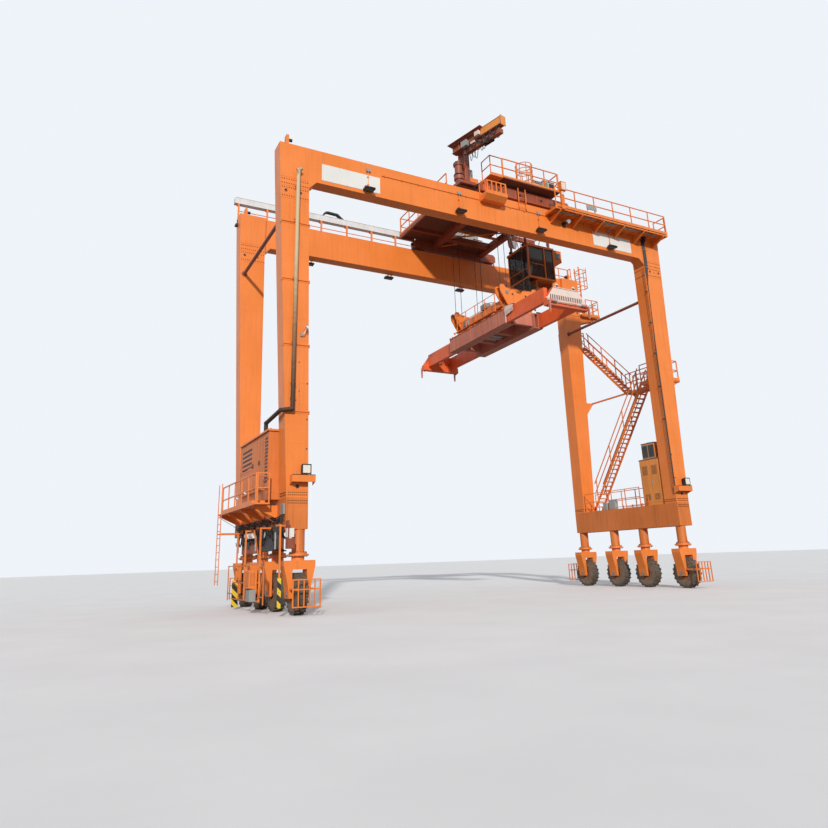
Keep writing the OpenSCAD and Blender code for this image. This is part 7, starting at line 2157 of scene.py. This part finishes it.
class CRANE_OT_build_stage(Operator):
    """Pale floor, world, sun and the photograph's camera"""
    bl_idname = "crane.build_stage"
    bl_label = "Stage and Camera"

    def execute(self, context):
        clear_selection()
        bpy.ops.mesh.primitive_plane_add(size=900, location=(0, 0, -0.004))
        floor = context.object
        floor.name = "stage_floor"
        m, t, bsdf, where = blank_material("stage_pale_floor")
        pale = ramp(t, noise(t, where, 0.4, 3.0), [(0.3, (0.86, 0.87, 0.89)), (0.7, (0.91, 0.92, 0.94))],
                    (-300, 0))
        # Pale to the camera only: its light would otherwise wash out the crane's underside
        path = add(t, "ShaderNodeLightPath", (-500, 250))
        tone = mix(t, path.outputs["Is Camera Ray"], (0.30, 0.29, 0.28), pale, (-100, 0))
        surface(t, bsdf, tone, Roughness=0.9)
        floor.data.materials.append(m)
        apply_place(floor)
        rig.stage(floor)
        world = bpy.data.worlds.new("studio")
        context.scene.world = world
        world.use_nodes = True
        w = world.node_tree
        w.nodes.clear()
        out = add(w, "ShaderNodeOutputWorld", (400, 0))
        back = add(w, "ShaderNodeBackground", (100, 0), in_Color=(0.84, 0.86, 0.90, 1), in_Strength=0.47)
        seen = add(w, "ShaderNodeBackground", (100, -150), in_Color=(0.86, 0.90, 0.95, 1), in_Strength=1.0)
        path = add(w, "ShaderNodeLightPath", (-200, 200))
        pick = add(w, "ShaderNodeMixShader", (250, 0))
        ray = maths(w, "MAXIMUM", path.outputs["Is Camera Ray"], path.outputs["Is Glossy Ray"], (0, 200))
        ray = maths(w, "MAXIMUM", ray, path.outputs["Is Transmission Ray"], (50, 300))
        w.links.new(ray, pick.inputs[0])
        w.links.new(back.outputs[0], pick.inputs[1])
        w.links.new(seen.outputs[0], pick.inputs[2])
        w.links.new(pick.outputs[0], out.inputs[0])
        clear_selection()
        bpy.ops.object.light_add(type="SUN")
        sun = context.object
        sun.name = "studio_sun"
        sun.rotation_euler = Vector(SUNLIGHT_ALONG).to_track_quat("-Z", "Y").to_euler()
        sun.data.energy = 2.85
        sun.data.angle = math.radians(2.5)
        sun.data.color = (1.0, 0.96, 0.90)
        cam = bpy.data.cameras.new("photo_camera")
        cam.sensor_width = SENSOR_WIDTH
        cam.lens = FOCAL_LENGTH / PHOTO_SIZE * SENSOR_WIDTH
        cam.shift_y = (PICTURE_CENTRE_Y - PHOTO_SIZE / 2) / PHOTO_SIZE
        cam.clip_end = 2000
        o = bpy.data.objects.new("photo_camera", cam)
        context.collection.objects.link(o)
        ahead = Vector((math.sin(YAW) * math.cos(PITCH), math.cos(YAW) * math.cos(PITCH), math.sin(PITCH)))
        level = Vector((math.cos(YAW), -math.sin(YAW), 0))
        over = level.cross(ahead)
        right = level * math.cos(ROLL) + over * math.sin(ROLL)
        up = over * math.cos(ROLL) - level * math.sin(ROLL)
        place = Matrix((right, up, -ahead)).transposed().to_4x4()
        place.translation = CAMERA_PLACE
        o.matrix_world = place
        context.scene.camera = o
        context.scene.view_settings.view_transform = "Standard"
        return {"FINISHED"}


class CRANE_PT_sidebar(Panel):
    """Lists the crane's pieces and settings"""
    bl_label = "Gantry Crane"
    bl_idname = "CRANE_PT_sidebar"
    bl_space_type = "VIEW_3D"
    bl_region_type = "UI"
    bl_category = "Crane"

    def draw(self, context):
        column = self.layout.column(align=True)
        for group in (context.scene.crane_paint, context.scene.crane_fittings):
            for key in group.__annotations__:
                column.prop(group, key)
        for operator in OPERATORS:
            column.operator(operator.bl_idname)


OPERATORS = [c for c in list(globals().values())
             if isinstance(c, type) and issubclass(c, Operator) and c is not Operator]
CLASSES = [CranePaintSettings, CraneFittingSettings] + OPERATORS + [CRANE_PT_sidebar]


def register():
    """Makes the classes and the settings known to Blender."""
    for c in CLASSES:
        bpy.utils.register_class(c)
    bpy.types.Scene.crane_paint = PointerProperty(type=CranePaintSettings)
    bpy.types.Scene.crane_fittings = PointerProperty(type=CraneFittingSettings)


def unregister():
    """Takes back what register does."""
    del bpy.types.Scene.crane_fittings
    del bpy.types.Scene.crane_paint
    for c in reversed(CLASSES):
        bpy.utils.unregister_class(c)


def main():
    """Runs every operator in order and writes the sizes."""
    register()
    build_materials()
    for operator in OPERATORS:
        step = getattr(bpy.ops.crane, operator.bl_idname.split(".")[1])
        if "FINISHED" not in step():
            raise RuntimeError(operator.bl_label + " did not finish")
    clear_selection()
    with open("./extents.json", "w") as f:
        json.dump({"cad": CAD_BOX, "visual": [list(p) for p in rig.bounds()]}, f)


if __name__ == "__main__":
    main()
